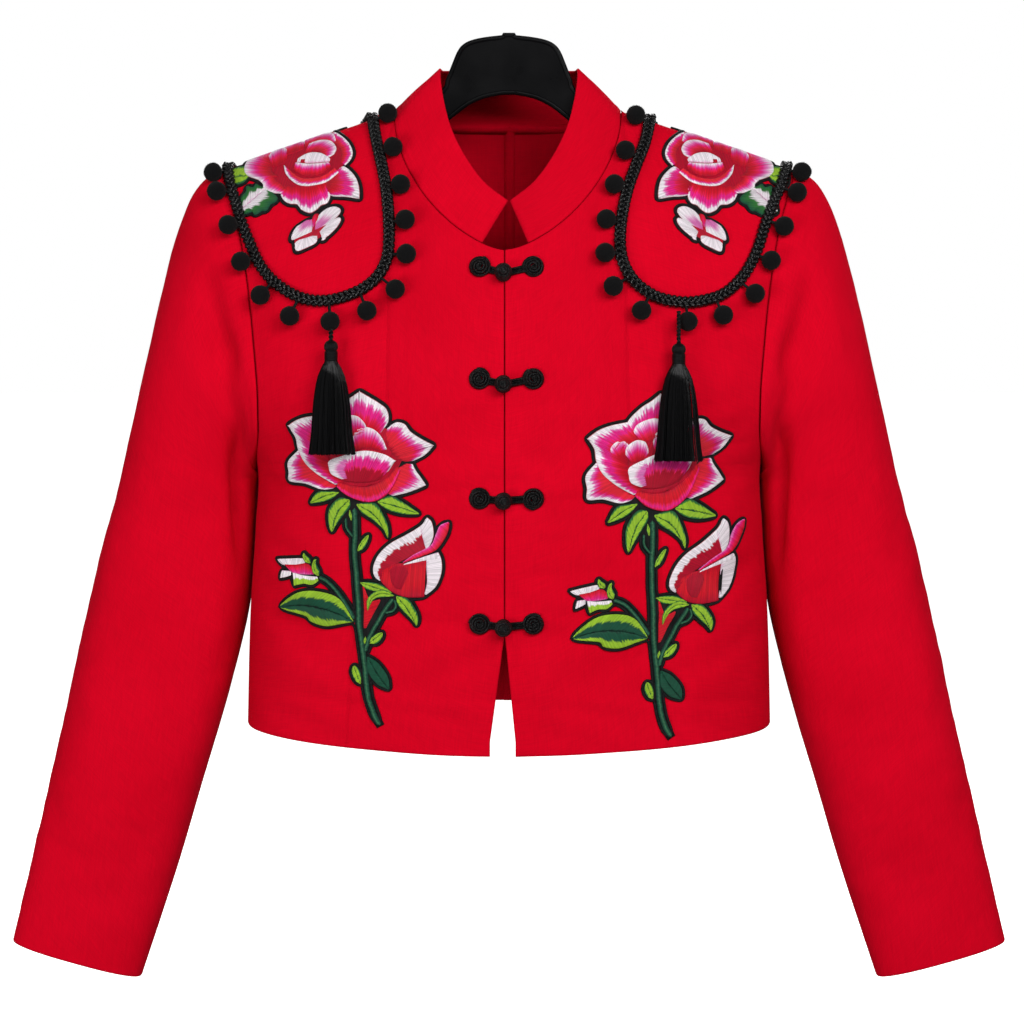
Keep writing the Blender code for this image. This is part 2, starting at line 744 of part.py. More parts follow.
def ring_plate(name, radii, low, high, place):
    """A flat ring round the frame's origin."""
    points = []
    for radius, height in ((radii[0], low), (radii[1], low), (radii[1], high), (radii[0], high)):
        for k in range(FROG_SIDES):
            turn = 2 * math.pi * k / FROG_SIDES
            points.append(place @ Vector((radius * math.cos(turn), radius * math.sin(turn), height)))
    faces = []
    for ring in range(4):
        for k in range(FROG_SIDES):
            n = (k + 1) % FROG_SIDES
            low_ring = ring * FROG_SIDES
            high_ring = (ring + 1) % 4 * FROG_SIDES
            faces.append((low_ring + k, low_ring + n, high_ring + n, high_ring + k))
    return add_object(name, points, faces, "black_cord", BLACK_CORD)


def band_outline(start, end, width):
    """Corners of a straight band between two points of the frame's plane."""
    along = (end - start).normalized()
    across = Vector((-along.y, along.x)) * width / 2
    return [tuple(start - across), tuple(end - across), tuple(end + across), tuple(start + across)]


def make_frog(number, disc_drop, ball_drop):
    """A frog: a disc, bar and ball knot on the right front, a disc and loop on the left front."""
    place = frame_at(cloth_point(FROG_KNOT_X, ball_drop), cloth_normal(FROG_KNOT_X, ball_drop))
    large = Matrix.Scale(UNION_SCALE, 4)
    rise = ball_drop - disc_drop
    knot_disc = Vector((FROG_KNOT_DISC_X - FROG_KNOT_X, rise))
    loop_disc = Vector((FROG_LOOP_DISC_X - FROG_KNOT_X, rise))
    centre = Vector((0.0, 0.0))

    def disc(name, spot):
        moved = large @ Matrix.Translation((spot.x, spot.y, 0.0))
        return add_turned(name, FROG_DISC, FROG_SIDES, moved, "black_cord", BLACK_CORD)

    knot = disc(f"frog_{number}_knot", knot_disc)
    width, low, high = FROG_BAR
    bar = plate("bar", band_outline(knot_disc, centre, width), low, high, large)
    ball = add_turned("ball", FROG_BALL, FROG_SIDES, large, "black_cord", BLACK_CORD)
    shank = add_turned("shank", FROG_SHANK, 10, large, "black_cord", BLACK_CORD)
    fuse(knot, [bar, ball, shank], place)

    loop = disc(f"frog_{number}_loop", loop_disc)
    width, low, high = FROG_LOOP_BAND
    start = loop_disc.normalized() * (sum(FROG_LOOP_RING) / 2)
    band = plate("band", band_outline(start, loop_disc, width), low, high, large)
    ring = ring_plate("ring", FROG_LOOP_RING, low - 0.0001, high + 0.0001, large)
    fuse(loop, [band, ring], place)


# ---- braid, pompoms and tassels ----
def smooth_route(points, count, closed):
    """Evenly counted points on a smooth curve through a list of points."""
    total = len(points)
    spans = total if closed else total - 1
    route = []
    for step in range(count):
        place = spans * step / (count if closed else count - 1)
        k = min(int(place), spans - 1)
        t = place - k
        picks = [k - 1, k, k + 1, k + 2]
        if closed:
            a, b, c, d = (points[i % total] for i in picks)
        else:
            a, b, c, d = (points[min(max(i, 0), total - 1)] for i in picks)
        bend = (2 * a - 5 * b + 4 * c - d) * t ** 2 + (3 * b - a - 3 * c + d) * t ** 3
        route.append(b + ((c - a) * t + bend) / 2)
    return route


def braid_frames(side):
    """Points, normals and outward directions along the closed route of a braid."""
    flat = [Vector((x * 0.001, down * 0.001, 0.0)) for x, down in BRAID_ROUTE[side] + BRAID_BACK]
    flat = smooth_route(flat, BRAID_STEPS, True)
    spots = []
    for point in flat:
        spot, normal = drape(side * point.x, point.y)
        spots.append((spot, normal))
    frames = []
    for k, (spot, normal) in enumerate(spots):
        ahead = spots[(k + 1) % BRAID_STEPS][0] - spots[k - 1][0]
        out = ahead.cross(normal).normalized() * side
        frames.append((spot, normal, out))
    return frames


def make_braid(side, frames):
    """A flattened cord lying on the cloth, all round."""
    section = (
        (-0.5, 0.45), (-0.28, 0.0), (0.28, 0.0), (0.5, 0.45), (0.26, 1.0), (-0.26, 1.0),
    )
    points = []
    for spot, normal, out in frames:
        for across, up in section:
            lift = TRIM_GAP + BRAID_RIDGE_LIFT * max(0.0, normal.z) ** 2
            points.append(spot + out * across * BRAID_WIDTH + normal * (lift + up * BRAID_THICK))
    faces = []
    sides = len(section)
    for k in range(len(frames)):
        for c in range(sides):
            a = k * sides + c
            b = k * sides + (c + 1) % sides
            step = (k + 1) % len(frames) * sides - k * sides
            faces.append((a, b, b + step, a + step))
    add_object(f"braid_{SIDE_NAMES[side]}", points, faces, "black_cord", BLACK_CORD)


def skin_tree(panels, sleeves):
    """Everything that a pompom may lie on, for finding the nearest point."""
    points = []
    faces = []
    grids = [(grid, False) for grid, _ in panels.values()] + [(grid, True) for grid in sleeves.values()]
    for grid, closed in grids:
        start = len(points)
        columns = len(grid[0])
        points += [point for line in grid for point in line]
        for r in range(len(grid) - 1):
            for c in range(columns if closed else columns - 1):
                a = start + r * columns + c
                b = start + r * columns + (c + 1) % columns
                faces.append((a, b, b + columns, a + columns))
    return BVHTree.FromPolygons(points, faces)


def pompom_centres(side, frames, tree):
    """Centres of the pompoms along the outer edge of the braid, evenly spaced as seen from the front."""
    shown = len(BRAID_ROUTE[side]) - 1
    last = int(BRAID_STEPS * shown / (len(BRAID_ROUTE[side]) + len(BRAID_BACK)))
    frames = frames[-POMPOM_LEAD:] + frames[: last + POMPOM_LEAD]
    edge = []
    for spot, _, out in frames:
        reach = POMPOM_REACH - POMPOM_REACH_NECK * out.x * side + POMPOM_REACH_FOOT * max(0.0, -out.z)
        edge.append(spot + out * reach)
    lifts = [normal for _, normal, _ in frames]
    lengths = [0.0]
    for a, b in zip(edge, edge[1:]):
        lengths.append(lengths[-1] + math.hypot(b.x - a.x, b.z - a.z))
    centres = []
    wanted = lengths[POMPOM_LEAD] + POMPOM_START
    for pitch, (across, down, outward) in zip((0,) + POMPOM_PITCHES[side], POMPOM_SHIFTS[side]):
        wanted += pitch * 0.001
        i = min(int(np.searchsorted(lengths, wanted, side="right")) - 1, len(edge) - 2)
        t = (wanted - lengths[i]) / (lengths[i + 1] - lengths[i])
        centre = edge[i].lerp(edge[i + 1], t) + lifts[i].lerp(lifts[i + 1], t) * POMPOM_RADIUS
        centre = centre + Vector((across, 0.0, -down)) * 0.001
        for _ in range(6):
            nearest, _, _, distance = tree.find_nearest(centre)
            away = (centre - nearest).normalized()
            if away.dot(lifts[i]) < 0:
                away = -away
                distance = -distance
            centre = centre + away * (POMPOM_RADIUS + TRIM_GAP - distance) * 0.8
        centres.append(centre + lifts[i] * outward * 0.001)
    return centres


def make_pompoms(side, centres):
    profile = []
    for ring in range(POMPOM_RINGS + 1):
        turn = math.pi * ring / POMPOM_RINGS
        radius = POMPOM_RADIUS * math.sin(turn) if 0 < ring < POMPOM_RINGS else 0.0
        profile.append((radius, -POMPOM_RADIUS * math.cos(turn)))
    for number, centre in enumerate(centres, start=1):
        name = f"pompom_{SIDE_NAMES[side]}_{number:02d}"
        add_turned(name, profile, POMPOM_SIDES, Matrix.Translation(centre), "black_cord", BLACK_CORD)


def make_tassel(side):
    """A tassel that leans on the chest: its head with the cord above, and its skirt of threads."""
    x, cord_drop, head_drop, foot_drop, foot_half = TASSELS[side]
    head = cloth_point(x, head_drop) + Vector((0.0, -TASSEL_LIFT, 0.0))
    foot = cloth_point(x, foot_drop) + Vector((0.0, -TASSEL_FOOT_LIFT, 0.0))
    axis = (foot - head).normalized()
    outward = Vector((0.0, -1.0, 0.0))
    across = outward.cross(axis).normalized()
    outward = axis.cross(across).normalized()
    place = Matrix.Translation(head) @ Matrix((across, outward, axis)).transposed().to_4x4()
    cord = (cord_drop - head_drop) / abs(axis.z)
    profile = ((TASSEL_CORD_RADIUS, cord), (TASSEL_CORD_RADIUS, -0.0006)) + TASSEL_HEAD
    name = SIDE_NAMES[side]
    add_turned(f"tassel_{name}_head", profile, TASSEL_SIDES, place, "black_cord", BLACK_CORD)
    length = (foot - head).length
    start = TASSEL_HEAD_LENGTH + TASSEL_GAP
    skirt = (
        (0.0045, start),
        (foot_half * 0.55, start + 0.008),
        (foot_half * 0.86, start + 0.026),
        (foot_half, length),
    )
    add_turned(f"tassel_{name}_skirt", skirt, TASSEL_SIDES, place, "black_cord", BLACK_CORD, TASSEL_FLATNESS)


# ---- embroidered patches ----
def scallops(centre, half_width, half_height, count, depth, turn=0.0):
    """Outline of a flower head: an oval whose edge swells into petals."""
    outline = []
    steps = count * 4
    for k in range(steps):
        angle = 2 * math.pi * k / steps
        swell = 1 - depth * (1 - abs(math.sin(count * angle / 2 + turn)))
        across = half_width * swell * math.cos(angle)
        outline.append((centre[0] + across, centre[1] + half_height * swell * math.sin(angle)))
    return outline


def petal_outline(centre, tips, notch):
    """Outline of a flower head through its petals' tips, with a notch half way between them."""
    outline = []
    for (angle, reach), (following, further) in zip(tips, tips[1:] + tips[:1]):
        between = (angle + following + (360 if following < angle else 0)) / 2
        for turn, radius in ((angle, reach), (between, (reach + further) / 2 * notch)):
            across = radius * math.cos(math.radians(turn))
            outline.append((centre[0] + across, centre[1] - radius * math.sin(math.radians(turn))))
    return outline


def leaf(base, tip, width):
    """Outline of a leaf: two curved edges between its base and its tip."""
    base = Vector(base)
    tip = Vector(tip)
    across = Vector((base.y - tip.y, tip.x - base.x)).normalized()
    outline = []
    for side in (1, -1):
        steps = range(0, LEAF_STEPS) if side == 1 else range(LEAF_STEPS, 0, -1)
        for k in steps:
            share = k / LEAF_STEPS
            swell = math.sin(math.pi * share ** LEAF_BELLY)
            spot = base.lerp(tip, share) + across * (side * width / 2 * (swell + 0.12 * (1 - share)))
            outline.append(tuple(spot))
    return outline


def ribbon(points, width):
    """Outline of a stem of even width along a few points."""
    points = [Vector(point) for point in points]
    one = []
    other = []
    for k, point in enumerate(points):
        ahead = (points[min(k + 1, len(points) - 1)] - points[max(k - 1, 0)]).normalized()
        across = Vector((-ahead.y, ahead.x)) * width / 2
        one.append(tuple(point + across))
        other.append(tuple(point - across))
    return one + other[::-1]


def inside(point, outline, margin):
    """Whether a point lies in an outline, and clear of its edge."""
    hit = False
    for a, b in zip(outline, outline[1:] + outline[:1]):
        if (a[1] > point[1]) != (b[1] > point[1]):
            if point[0] < a[0] + (point[1] - a[1]) / (b[1] - a[1]) * (b[0] - a[0]):
                hit = not hit
        edge = Vector(b) - Vector(a)
        share = min(1.0, max(0.0, (Vector(point) - Vector(a)).dot(edge) / max(edge.length_squared, 1e-12)))
        if (Vector(a) + edge * share - Vector(point)).length < margin:
            return False
    return hit


def make_patch(name, shapes, spacing, place):
    """A patch whose outline is the union of its shapes, laid on the cloth by a placing function."""
    corners = []
    loops = []
    for shape in shapes:
        loops.append(list(range(len(corners), len(corners) + len(shape))))
        corners += [Vector(corner) for corner in shape]
    xs = [corner.x for corner in corners]
    ys = [corner.y for corner in corners]
    for i in range(int((max(xs) - min(xs)) / spacing) + 1):
        for j in range(int((max(ys) - min(ys)) / spacing) + 1):
            spot = (min(xs) + (i + 0.5) * spacing, min(ys) + (j + 0.5) * spacing)
            if any(inside(spot, shape, 0.004) for shape in shapes):
                corners.append(Vector(spot))
    flat, _, triangles, *_ = delaunay_2d_cdt(corners, [], loops, 1, 0.0002)
    used = sorted({index for triangle in triangles for index in triangle})
    order = {index: k for k, index in enumerate(used)}
    low = []
    high = []
    for index in used:
        spot, normal = place(flat[index].x, flat[index].y)
        low.append(spot + normal * PATCH_GAP)
        high.append(spot + normal * (PATCH_GAP + PATCH_THICK))
    count = len(used)
    faces = []
    edges = {}
    for triangle in triangles:
        a, b, c = (order[index] for index in triangle)
        faces.append((a + count, b + count, c + count))
        faces.append((c, b, a))
        for edge in ((a, b), (b, c), (c, a)):
            edges[edge] = edges.get(edge, 0) + 1
    for a, b in edges:
        if (b, a) not in edges:
            faces.append((a, b, b + count, a + count))
    add_object(name, low + high, faces, "rose_thread", ROSE_THREAD)


def make_shoulder_rose(side):
    """A rose with two leaves and a blossom; half widths and downs along the cloth."""
    shapes = [
        scallops((0.1525, 0.0165), 0.0375, 0.0360, 8, 0.13),
        scallops((0.1400, 0.0400), 0.0370, 0.0290, 7, 0.13),
        leaf((0.1780, 0.0180), (0.1955, 0.0050), 0.0165),
        leaf((0.1640, 0.0380), (0.1835, 0.0490), 0.0220),
        scallops((0.137, 0.080), 0.0185, 0.0215, 6, 0.12),
    ]

    def place(x, down):
        return drape(side * x, down)

    make_patch(f"shoulder_rose_{SIDE_NAMES[side]}", shapes, SHOULDER_PATCH_MESH, place)


def spray_place(side, x, drop):
    """Where a point of the chest spray lies: the left one hangs a little lower and turned outward."""
    if side == RIGHT:
        return x, drop
    share = min(1.0, max(0.0, (drop - SPRAY_SINK_START) / SPRAY_SINK_REACH))
    sink = SPRAY_SINK[0] + (SPRAY_SINK[1] - SPRAY_SINK[0]) * share * share * (3 - 2 * share)
    across = SPRAY_SHIFT - SPRAY_DRIFT * (drop - SPRAY_SINK_START)
    return x + across, drop + sink - SPRAY_TURN * (x - SPRAY_MIDDLE)


def make_chest_rose(side):
    """A rose spray; positions are those of the right front, from the stem's line and by drop."""
    shapes = [
        petal_outline((-0.1055, 0.2945), ROSE_TIPS, 0.85),
        leaf((-0.118, 0.330), (-0.143, 0.339), 0.012),
        leaf((-0.112, 0.330), (-0.127, 0.361), 0.013),
        leaf((-0.100, 0.330), (-0.086, 0.362), 0.013),
        leaf((-0.090, 0.328), (-0.061, 0.342), 0.013),
        ribbon(
            (
                (-0.1085, 0.328), (-0.1096, 0.352), (-0.1095, 0.375), (-0.1085, 0.398), (-0.1068, 0.420),
                (-0.1042, 0.445), (-0.1032, 0.466), (-0.0980, 0.483), (-0.0905, 0.4965),
            ),
            0.0070,
        ),
        leaf((-0.108, 0.4180), (-0.168, 0.4110), 0.026),
        ribbon(((-0.109, 0.417), (-0.121, 0.400), (-0.137, 0.388)), 0.0045),
        leaf((-0.134, 0.389), (-0.173, 0.377), 0.019),
        ribbon(((-0.104, 0.4350), (-0.093, 0.418), (-0.084, 0.402)), 0.0055),
        scallops((-0.0720, 0.3790), 0.0270, 0.0270, 5, 0.10, 0.6),
        leaf((-0.066, 0.365), (-0.040, 0.345), 0.017),
        leaf((-0.084, 0.400), (-0.100, 0.412), 0.010),
        leaf((-0.082, 0.400), (-0.065, 0.424), 0.011),
        leaf((-0.104, 0.4420), (-0.083, 0.4680), 0.0095),
        leaf((-0.104, 0.4700), (-0.111, 0.4530), 0.0085),
    ]
    def place(x, drop):
        x, drop = spray_place(side, x, drop)
        return cloth_point(x, drop), cloth_normal(x, drop)

    make_patch(f"chest_rose_{SIDE_NAMES[side]}", shapes, CHEST_PATCH_MESH, place)


def main():
    clear_scene()
    panels = make_panels()
    sleeves = make_sleeves(panels)
    make_collar(panels)
    make_hanger()
    for number, (disc_drop, ball_drop) in enumerate(FROG_DROPS, start=1):
        make_frog(number, disc_drop, ball_drop)
    tree = skin_tree(panels, sleeves)
    for side in (RIGHT, LEFT):
        frames = braid_frames(side)
        make_braid(side, frames)
        make_pompoms(side, pompom_centres(side, frames, tree))
        make_tassel(side)
        make_shoulder_rose(side)
        make_chest_rose(side)


main()
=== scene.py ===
"""Matador jacket on its hanger: the finished look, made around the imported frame.

Metres, +Z up; the front faces -Y and +X is the wearer's left. The origin is the top of the hanger.
"Drop" is a distance below the origin; "down" is a distance along the cloth from the shoulder line, to
the front when positive and to the back when negative.
"""

import functools
import math

import bmesh
import bpy
import numpy as np
from bpy.props import FloatProperty, FloatVectorProperty, IntProperty, PointerProperty
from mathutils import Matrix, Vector
from mathutils.geometry import delaunay_2d_cdt


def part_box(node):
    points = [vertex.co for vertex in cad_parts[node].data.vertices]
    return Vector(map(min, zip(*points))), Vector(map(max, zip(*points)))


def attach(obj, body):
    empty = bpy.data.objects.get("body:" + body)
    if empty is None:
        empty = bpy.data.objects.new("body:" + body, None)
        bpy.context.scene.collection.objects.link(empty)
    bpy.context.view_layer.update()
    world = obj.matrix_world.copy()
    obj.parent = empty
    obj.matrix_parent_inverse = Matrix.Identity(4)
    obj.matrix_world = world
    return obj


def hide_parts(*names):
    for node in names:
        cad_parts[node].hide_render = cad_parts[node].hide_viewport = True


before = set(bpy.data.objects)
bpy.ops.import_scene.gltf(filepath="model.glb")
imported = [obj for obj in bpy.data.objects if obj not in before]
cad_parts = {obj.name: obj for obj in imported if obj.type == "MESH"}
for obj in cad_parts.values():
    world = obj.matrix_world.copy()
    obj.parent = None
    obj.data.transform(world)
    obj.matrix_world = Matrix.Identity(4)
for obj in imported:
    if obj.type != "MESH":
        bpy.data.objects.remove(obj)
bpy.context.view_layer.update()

bl_info = {
    "name": "Matador Jacket on Its Hanger",
    "version": (1, 0, 0),
    "blender": (4, 5, 0),
    "location": "3D View > Sidebar > Jacket",
    "description": "A cropped red jacket with plaited braids, frogs, tassels and embroidered roses",
    "category": "Add Mesh",
}

RIGHT = -1
LEFT = 1
FRONT = 0
BACK = 1
SIDE_NAMES = {RIGHT: "right", LEFT: "left"}
FACE_NAMES = {FRONT: "front", BACK: "back"}
MM = 0.001

# ---- body of the jacket, as the frame has it ----
SEAM_GAP = 0.0004
COLLAR_GAP = 0.0006
SLEEVE_GAP = 0.0005
NECK_HALF = 0.083
NECK_DROP = 0.057
NECK_ROUND = 0.030
SHOULDER_HALF = 0.2085
SHOULDER_DROP = 0.1000
SHOULDER_ROUND = 0.105
UNDERARM_DROP = 0.310
HEM_DROP = 0.506
HEM_FRONT_DIP = 0.0106
HEM_HALF = 0.194
FRONT_NECK_DIP = 0.099
BACK_NECK_DIP = 0.011
SECTION_POWER = 2.6
COLUMN_CROWDING = 1.3
SHOULDER_SLOPE = (SHOULDER_DROP - NECK_DROP) / (
    math.hypot(SHOULDER_HALF, NECK_ROUND) - math.hypot(NECK_HALF, NECK_ROUND)
)
CLOSING_X = -0.0030
CLOSING_GAP = 0.0006
OPENING_DROP = 0.430
OPENING_RIGHT = 0.0102
OPENING_LEFT = 0.0074
SECTIONS = (
    # drop, half width, front depth, back depth
    (0.050, 0.2400, 0.028, 0.0630),
    (0.110, 0.2360, 0.054, 0.0745),
    (0.160, 0.2260, 0.073, 0.0820),
    (0.220, 0.2140, 0.088, 0.0885),
    (0.270, 0.2020, 0.096, 0.0895),
    (0.310, 0.1860, 0.099, 0.0890),
    (0.360, 0.1868, 0.100, 0.0880),
    (0.410, 0.1905, 0.099, 0.0870),
    (0.520, 0.1944, 0.097, 0.0880),
)
ARMHOLE = (
    # drop, front half width, back half width
    (SHOULDER_DROP, SHOULDER_HALF, SHOULDER_HALF),
    (0.1350, 0.1965, 0.2015),
    (0.1740, 0.1885, 0.1975),
    (0.2240, 0.1830, 0.1930),
    (0.2700, 0.1805, 0.1895),
    (0.2950, 0.1820, 0.1870),
    (0.3100, 0.1860, 0.1860),
)
NECK_STEPS = (
    (0.0, 0.0163, 0.0360, 0.0545, 0.0690, 0.0785, NECK_HALF),  # front, out from the centre
    (0.0, 0.0210, 0.0420, 0.0600, 0.0745, NECK_HALF),  # back
)
SHOULDER_STEPS = (8, 7)  # columns over the shoulder, in front and behind
ARMHOLE_SHARE = (UNDERARM_DROP - SHOULDER_DROP) / (HEM_DROP - SHOULDER_DROP)  # of the way down a panel
COLLAR_TOP = (
    # half width, how far back, drop; from the front end round to the centre back
    (0.0006, -0.0535, 0.1208),
    (0.0175, -0.0495, 0.1075),
    (0.0310, -0.0415, 0.0895),
    (0.0415, -0.0315, 0.0690),
    (0.0475, -0.0165, 0.0480),
    (0.0505, 0.0000, 0.0267),
    (0.0485, 0.0120, 0.0264),
    (0.0425, 0.0225, 0.0262),
    (0.0325, 0.0310, 0.0262),
    (0.0170, 0.0375, 0.0262),
    (0.0000, 0.0400, 0.0262),
)
SLEEVE_RINGS = (
    # outer edge half width and drop, inner edge half width and drop, half depth, how far back, power
    (0.2812, 0.3000, 0.1880, 0.3250, 0.0520, 0.012, 3.4),
    (0.2897, 0.3360, 0.1884, 0.3600, 0.0515, 0.012, 3.4),
    (0.2995, 0.3720, 0.1903, 0.3960, 0.0500, 0.010, 3.1),
    (0.3088, 0.4110, 0.1955, 0.4330, 0.0480, 0.007, 2.8),
    (0.3230, 0.4700, 0.2110, 0.4935, 0.0440, 0.003, 2.6),
    (0.3372, 0.5300, 0.2295, 0.5550, 0.0385, 0.000, 2.5),
    (0.3520, 0.5920, 0.2485, 0.6185, 0.0320, -0.002, 2.5),
    (0.3715, 0.6722, 0.2755, 0.6995, 0.0210, -0.004, 2.5),
)

# ---- finish of the cloth ----
EDGE_REACH = 0.0010  # how far in from a cut edge the cloth starts to round over
EDGE_ROUND = 0.30  # share of the wall that an edge is rounded over by
COLUMN_WIDTH = 0.0137  # of a column of the pattern, on the average
NECK_PROBE = 0.004  # share of the way down a panel at which its slope under the collar is read
TOP_ROW_SHARE = 0.35  # of the first row's reach, for the row that rounds the shoulder's edge over
ARMHOLE_SPANS = 76
SKIRT_SPANS = 66
COLUMN_SPLIT = 5  # columns of the fine grid for each column of the pattern
CAP_SPANS = 24
SLEEVE_SPANS = 132
SLEEVE_COLUMNS = 52  # on each half of a sleeve
CAP_FALL = 0.16  # how a sleeve's cap leaves the armhole: downward at its top, drooping and spreading below
CAP_DROOP = 0.75
CAP_SPREAD = 0.30
CAP_PUFF = 0.0176  # how far it stands out first, and how much more at its top
CAP_PUFF_TOP = 0.0142
CAP_REACH = 0.55  # share of its length over which it turns into the sleeve, and how much more at its top
CAP_REACH_TOP = 0.15
CAP_CROWDING = 1.25  # crowds its rings towards the armhole
CAP_EDGE_SHARE = 0.012
SLEEVE_RADIUS = 0.052  # turns a place round the sleeve into a distance for its creases
SLEEVE_WAVE = 0.35  # share of the body's slow waves, and how far they are shifted on each side
SLEEVE_WAVE_SHIFT = 0.11
SLEEVE_FADE_START = 0.003  # the folds rise after the armhole, calm down at the hem and die at the seam
SLEEVE_FADE = 0.022
SLEEVE_HEM_FADE = 0.06
SLEEVE_HEM_CALM = 0.6
SLEEVE_SEAM_FADE = 0.012
PRESS_DROP = 0.320  # where a sleeve lies against the side of the body, below the armhole
PRESS_LENGTH = 0.030
PRESS_TURN = 0.6
PRESS_HEIGHT = 0.0024
COLLAR_SPLIT = 9
COLLAR_SPANS = 30
COLLAR_HEIGHT = 0.075
COLLAR_EDGE_SHARE = 0.012
COLLAR_BOW = 0.0012  # how far its middle bows out
COLLAR_ROLL = 0.0004  # and the roll just over its seam, with its share of the height
COLLAR_ROLL_SHARE = 0.16
COLLAR_SEAM_SHARE = 0.12  # share of the height over which its wall turns into the plane of the seam
COLLAR_CORNER_REACH = 0.8  # columns from the shoulder over which the seam's slope is blended

# Soft troughs (negative) and ridges (positive) in the cloth.
BODY_CREASES = {
    FRONT: (
        # x and drop of one end and the other, half width, lift, in millimetres
        (-190, 281, -150, 283, 2.0, -0.9),  # bust darts
        (196, 290, 156, 297, 2.0, -0.9),
        (-184, 300, -150, 330, 9, 1.2),
        (182, 318, 150, 346, 9, 1.1),
        (-188, 356, -128, 402, 11, -1.6),
        (-180, 372, -112, 426, 10, 1.5),
        (-186, 404, -132, 446, 9, -1.3),
        (-176, 438, -118, 470, 12, 1.3),
        (-60, 420, -28, 500, 12, 1.1),
        (-42, 400, -16, 470, 8, -0.9),
        (188, 372, 140, 408, 10, -1.5),
        (180, 390, 122, 436, 11, 1.4),
        (186, 424, 138, 462, 10, -1.2),
        (172, 450, 116, 484, 12, 1.2),
        (36, 410, 50, 500, 11, -1.0),
        (22, 430, 32, 505, 9, 1.1),
        (-128, 196, -118, 262, 13, -1.2),
        (-96, 210, -70, 250, 12, 0.9),
        (122, 190, 116, 250, 13, -1.2),
        (92, 205, 60, 262, 12, 1.0),
        (-150, 230, -163, 280, 10, 1.1),
        (150, 232, 160, 286, 10, 1.0),
        (-30, 190, -14, 245, 7, -0.8),
        (30, 262, 14, 322, 8, -0.8),
        (-34, 262, -12, 300, 8, -0.7),
        (34, 344, 12, 404, 9, -0.8),
        (-36, 345, -14, 392, 9, -0.8),
    ),
    BACK: (
        (-150, 150, -110, 230, 16, 1.4),
        (146, 156, 104, 244, 15, 1.4),
        (-172, 215, -150, 290, 11, -1.6),
        (174, 208, 146, 286, 12, -1.6),
        (-186, 318, -130, 352, 11, 1.5),
        (184, 330, 124, 360, 11, 1.4),
        (-180, 352, -96, 400, 12, -1.6),
        (182, 366, 110, 408, 12, -1.5),
        (-170, 396, -84, 450, 14, 1.5),
        (168, 404, 76, 462, 14, 1.6),
        (-60, 300, -44, 410, 13, -1.1),
        (54, 290, 40, 430, 14, -1.1),
        (-24, 380, -30, 500, 13, 1.2),
        (28, 400, 20, 498, 12, 1.1),
        (-70, 110, 66, 122, 10, -1.0),
    ),
}
SLEEVE_CREASES = (
    # round the sleeve from its outer edge (the front is positive) and along it from the armhole, for both
    # ends, then half width and lift, in millimetres
    (60, 60, 92, 150, 14, 1.8),
    (74, 4, 96, 60, 11, -3.4),
    (84, 40, 104, 130, 12, 1.6),
    (106, 20, 134, 200, 10, -8.0),
    (40, 20, 98, 30, 13, -5.4),
    (44, 52, 88, 62, 14, 1.4),
    (98, 150, 124, 270, 12, 1.7),
    (30, 90, 52, 230, 17, -1.4),
    (78, 210, 112, 330, 13, -1.6),
    (40, 250, 66, 380, 15, 1.2),
    (96, 330, 70, 430, 13, 1.2),
    (22, 370, 60, 440, 12, -1.0),
    (104, 400, 84, 470, 9, -0.9),
    (140, 60, 156, 130, 8, 1.6),
    (-66, 50, -100, 140, 13, 1.8),
    (-92, 60, -124, 170, 10, -2.0),
    (-112, 110, -138, 220, 10, 2.0),
    (-60, 170, -100, 290, 14, -1.8),
    (-30, 120, -44, 270, 17, 1.3),
    (-92, 270, -70, 390, 13, 1.4),
    (-40, 320, -78, 440, 13, -1.2),
    (-120, 250, -132, 350, 9, -1.6),
    (4, 160, -6, 320, 14, 1.0),
)
COLLAR_CREASES = (
    # distance round from the centre back (the left is positive) and up from the neck seam, for both ends
    (-96, 0, -78, 52, 9, 0.5),
    (92, 0, 80, 60, 9, 0.5),
    (-30, 0, -22, 40, 11, -0.5),
    (38, 0, 26, 40, 11, -0.5),
)
FADE_SIDE = 0.022  # how far from an armhole or a side seam the folds reach their height
FADE_SHOULDER_START = 0.004  # and from where to where below the shoulder line and the neck seam
FADE_SHOULDER = 0.040
FADE_NECK = 0.020
CENTRE_SEAM_CALM = 0.75  # share of the folds that the centre-back seam flattens
CENTRE_SEAM_REACH = 0.007
OVERLAP_REACH = 0.0055
FOLD_FADE = 3.2  # a fold fades over the first and the last 1 / 3.2 of its length
BODY_WAVES = (  # slow unevenness of the cloth: wave lengths across and down, phase, and lift, in millimetres
    (92, 148, 0.4, 0.50),
    (57, 96, 2.1, 0.30),
    (131, 61, 4.0, 0.35),
)


# ---- settings ----
class JacketClothSettings(bpy.types.PropertyGroup):
    """Sizes and colour of the jacket's cloth"""

    wall: FloatProperty(
        name="Cloth thickness", description="Thickness of the woven cloth", default=0.0014, unit="LENGTH"
    )
    collar_wall: FloatProperty(
        name="Collar thickness", description="Thickness of the stiff collar", default=0.0022, unit="LENGTH"
    )
    overlap_lift: FloatProperty(
        name="Overlap lift", description="How proud the left front stands", default=0.0009, unit="LENGTH"
    )
    crease_strength: FloatProperty(
        name="Crease strength", description="Strength of the folds in the cloth", default=1.25, min=0, max=2
    )
    red: FloatVectorProperty(
        name="Red", description="Colour of the cloth", default=(0.60, 0.0004, 0.0125), size=3, subtype="COLOR"
    )
    thread_pitch: FloatProperty(
        name="Weave pitch", description="Spacing of the threads of the weave", default=0.00055, unit="LENGTH"
    )


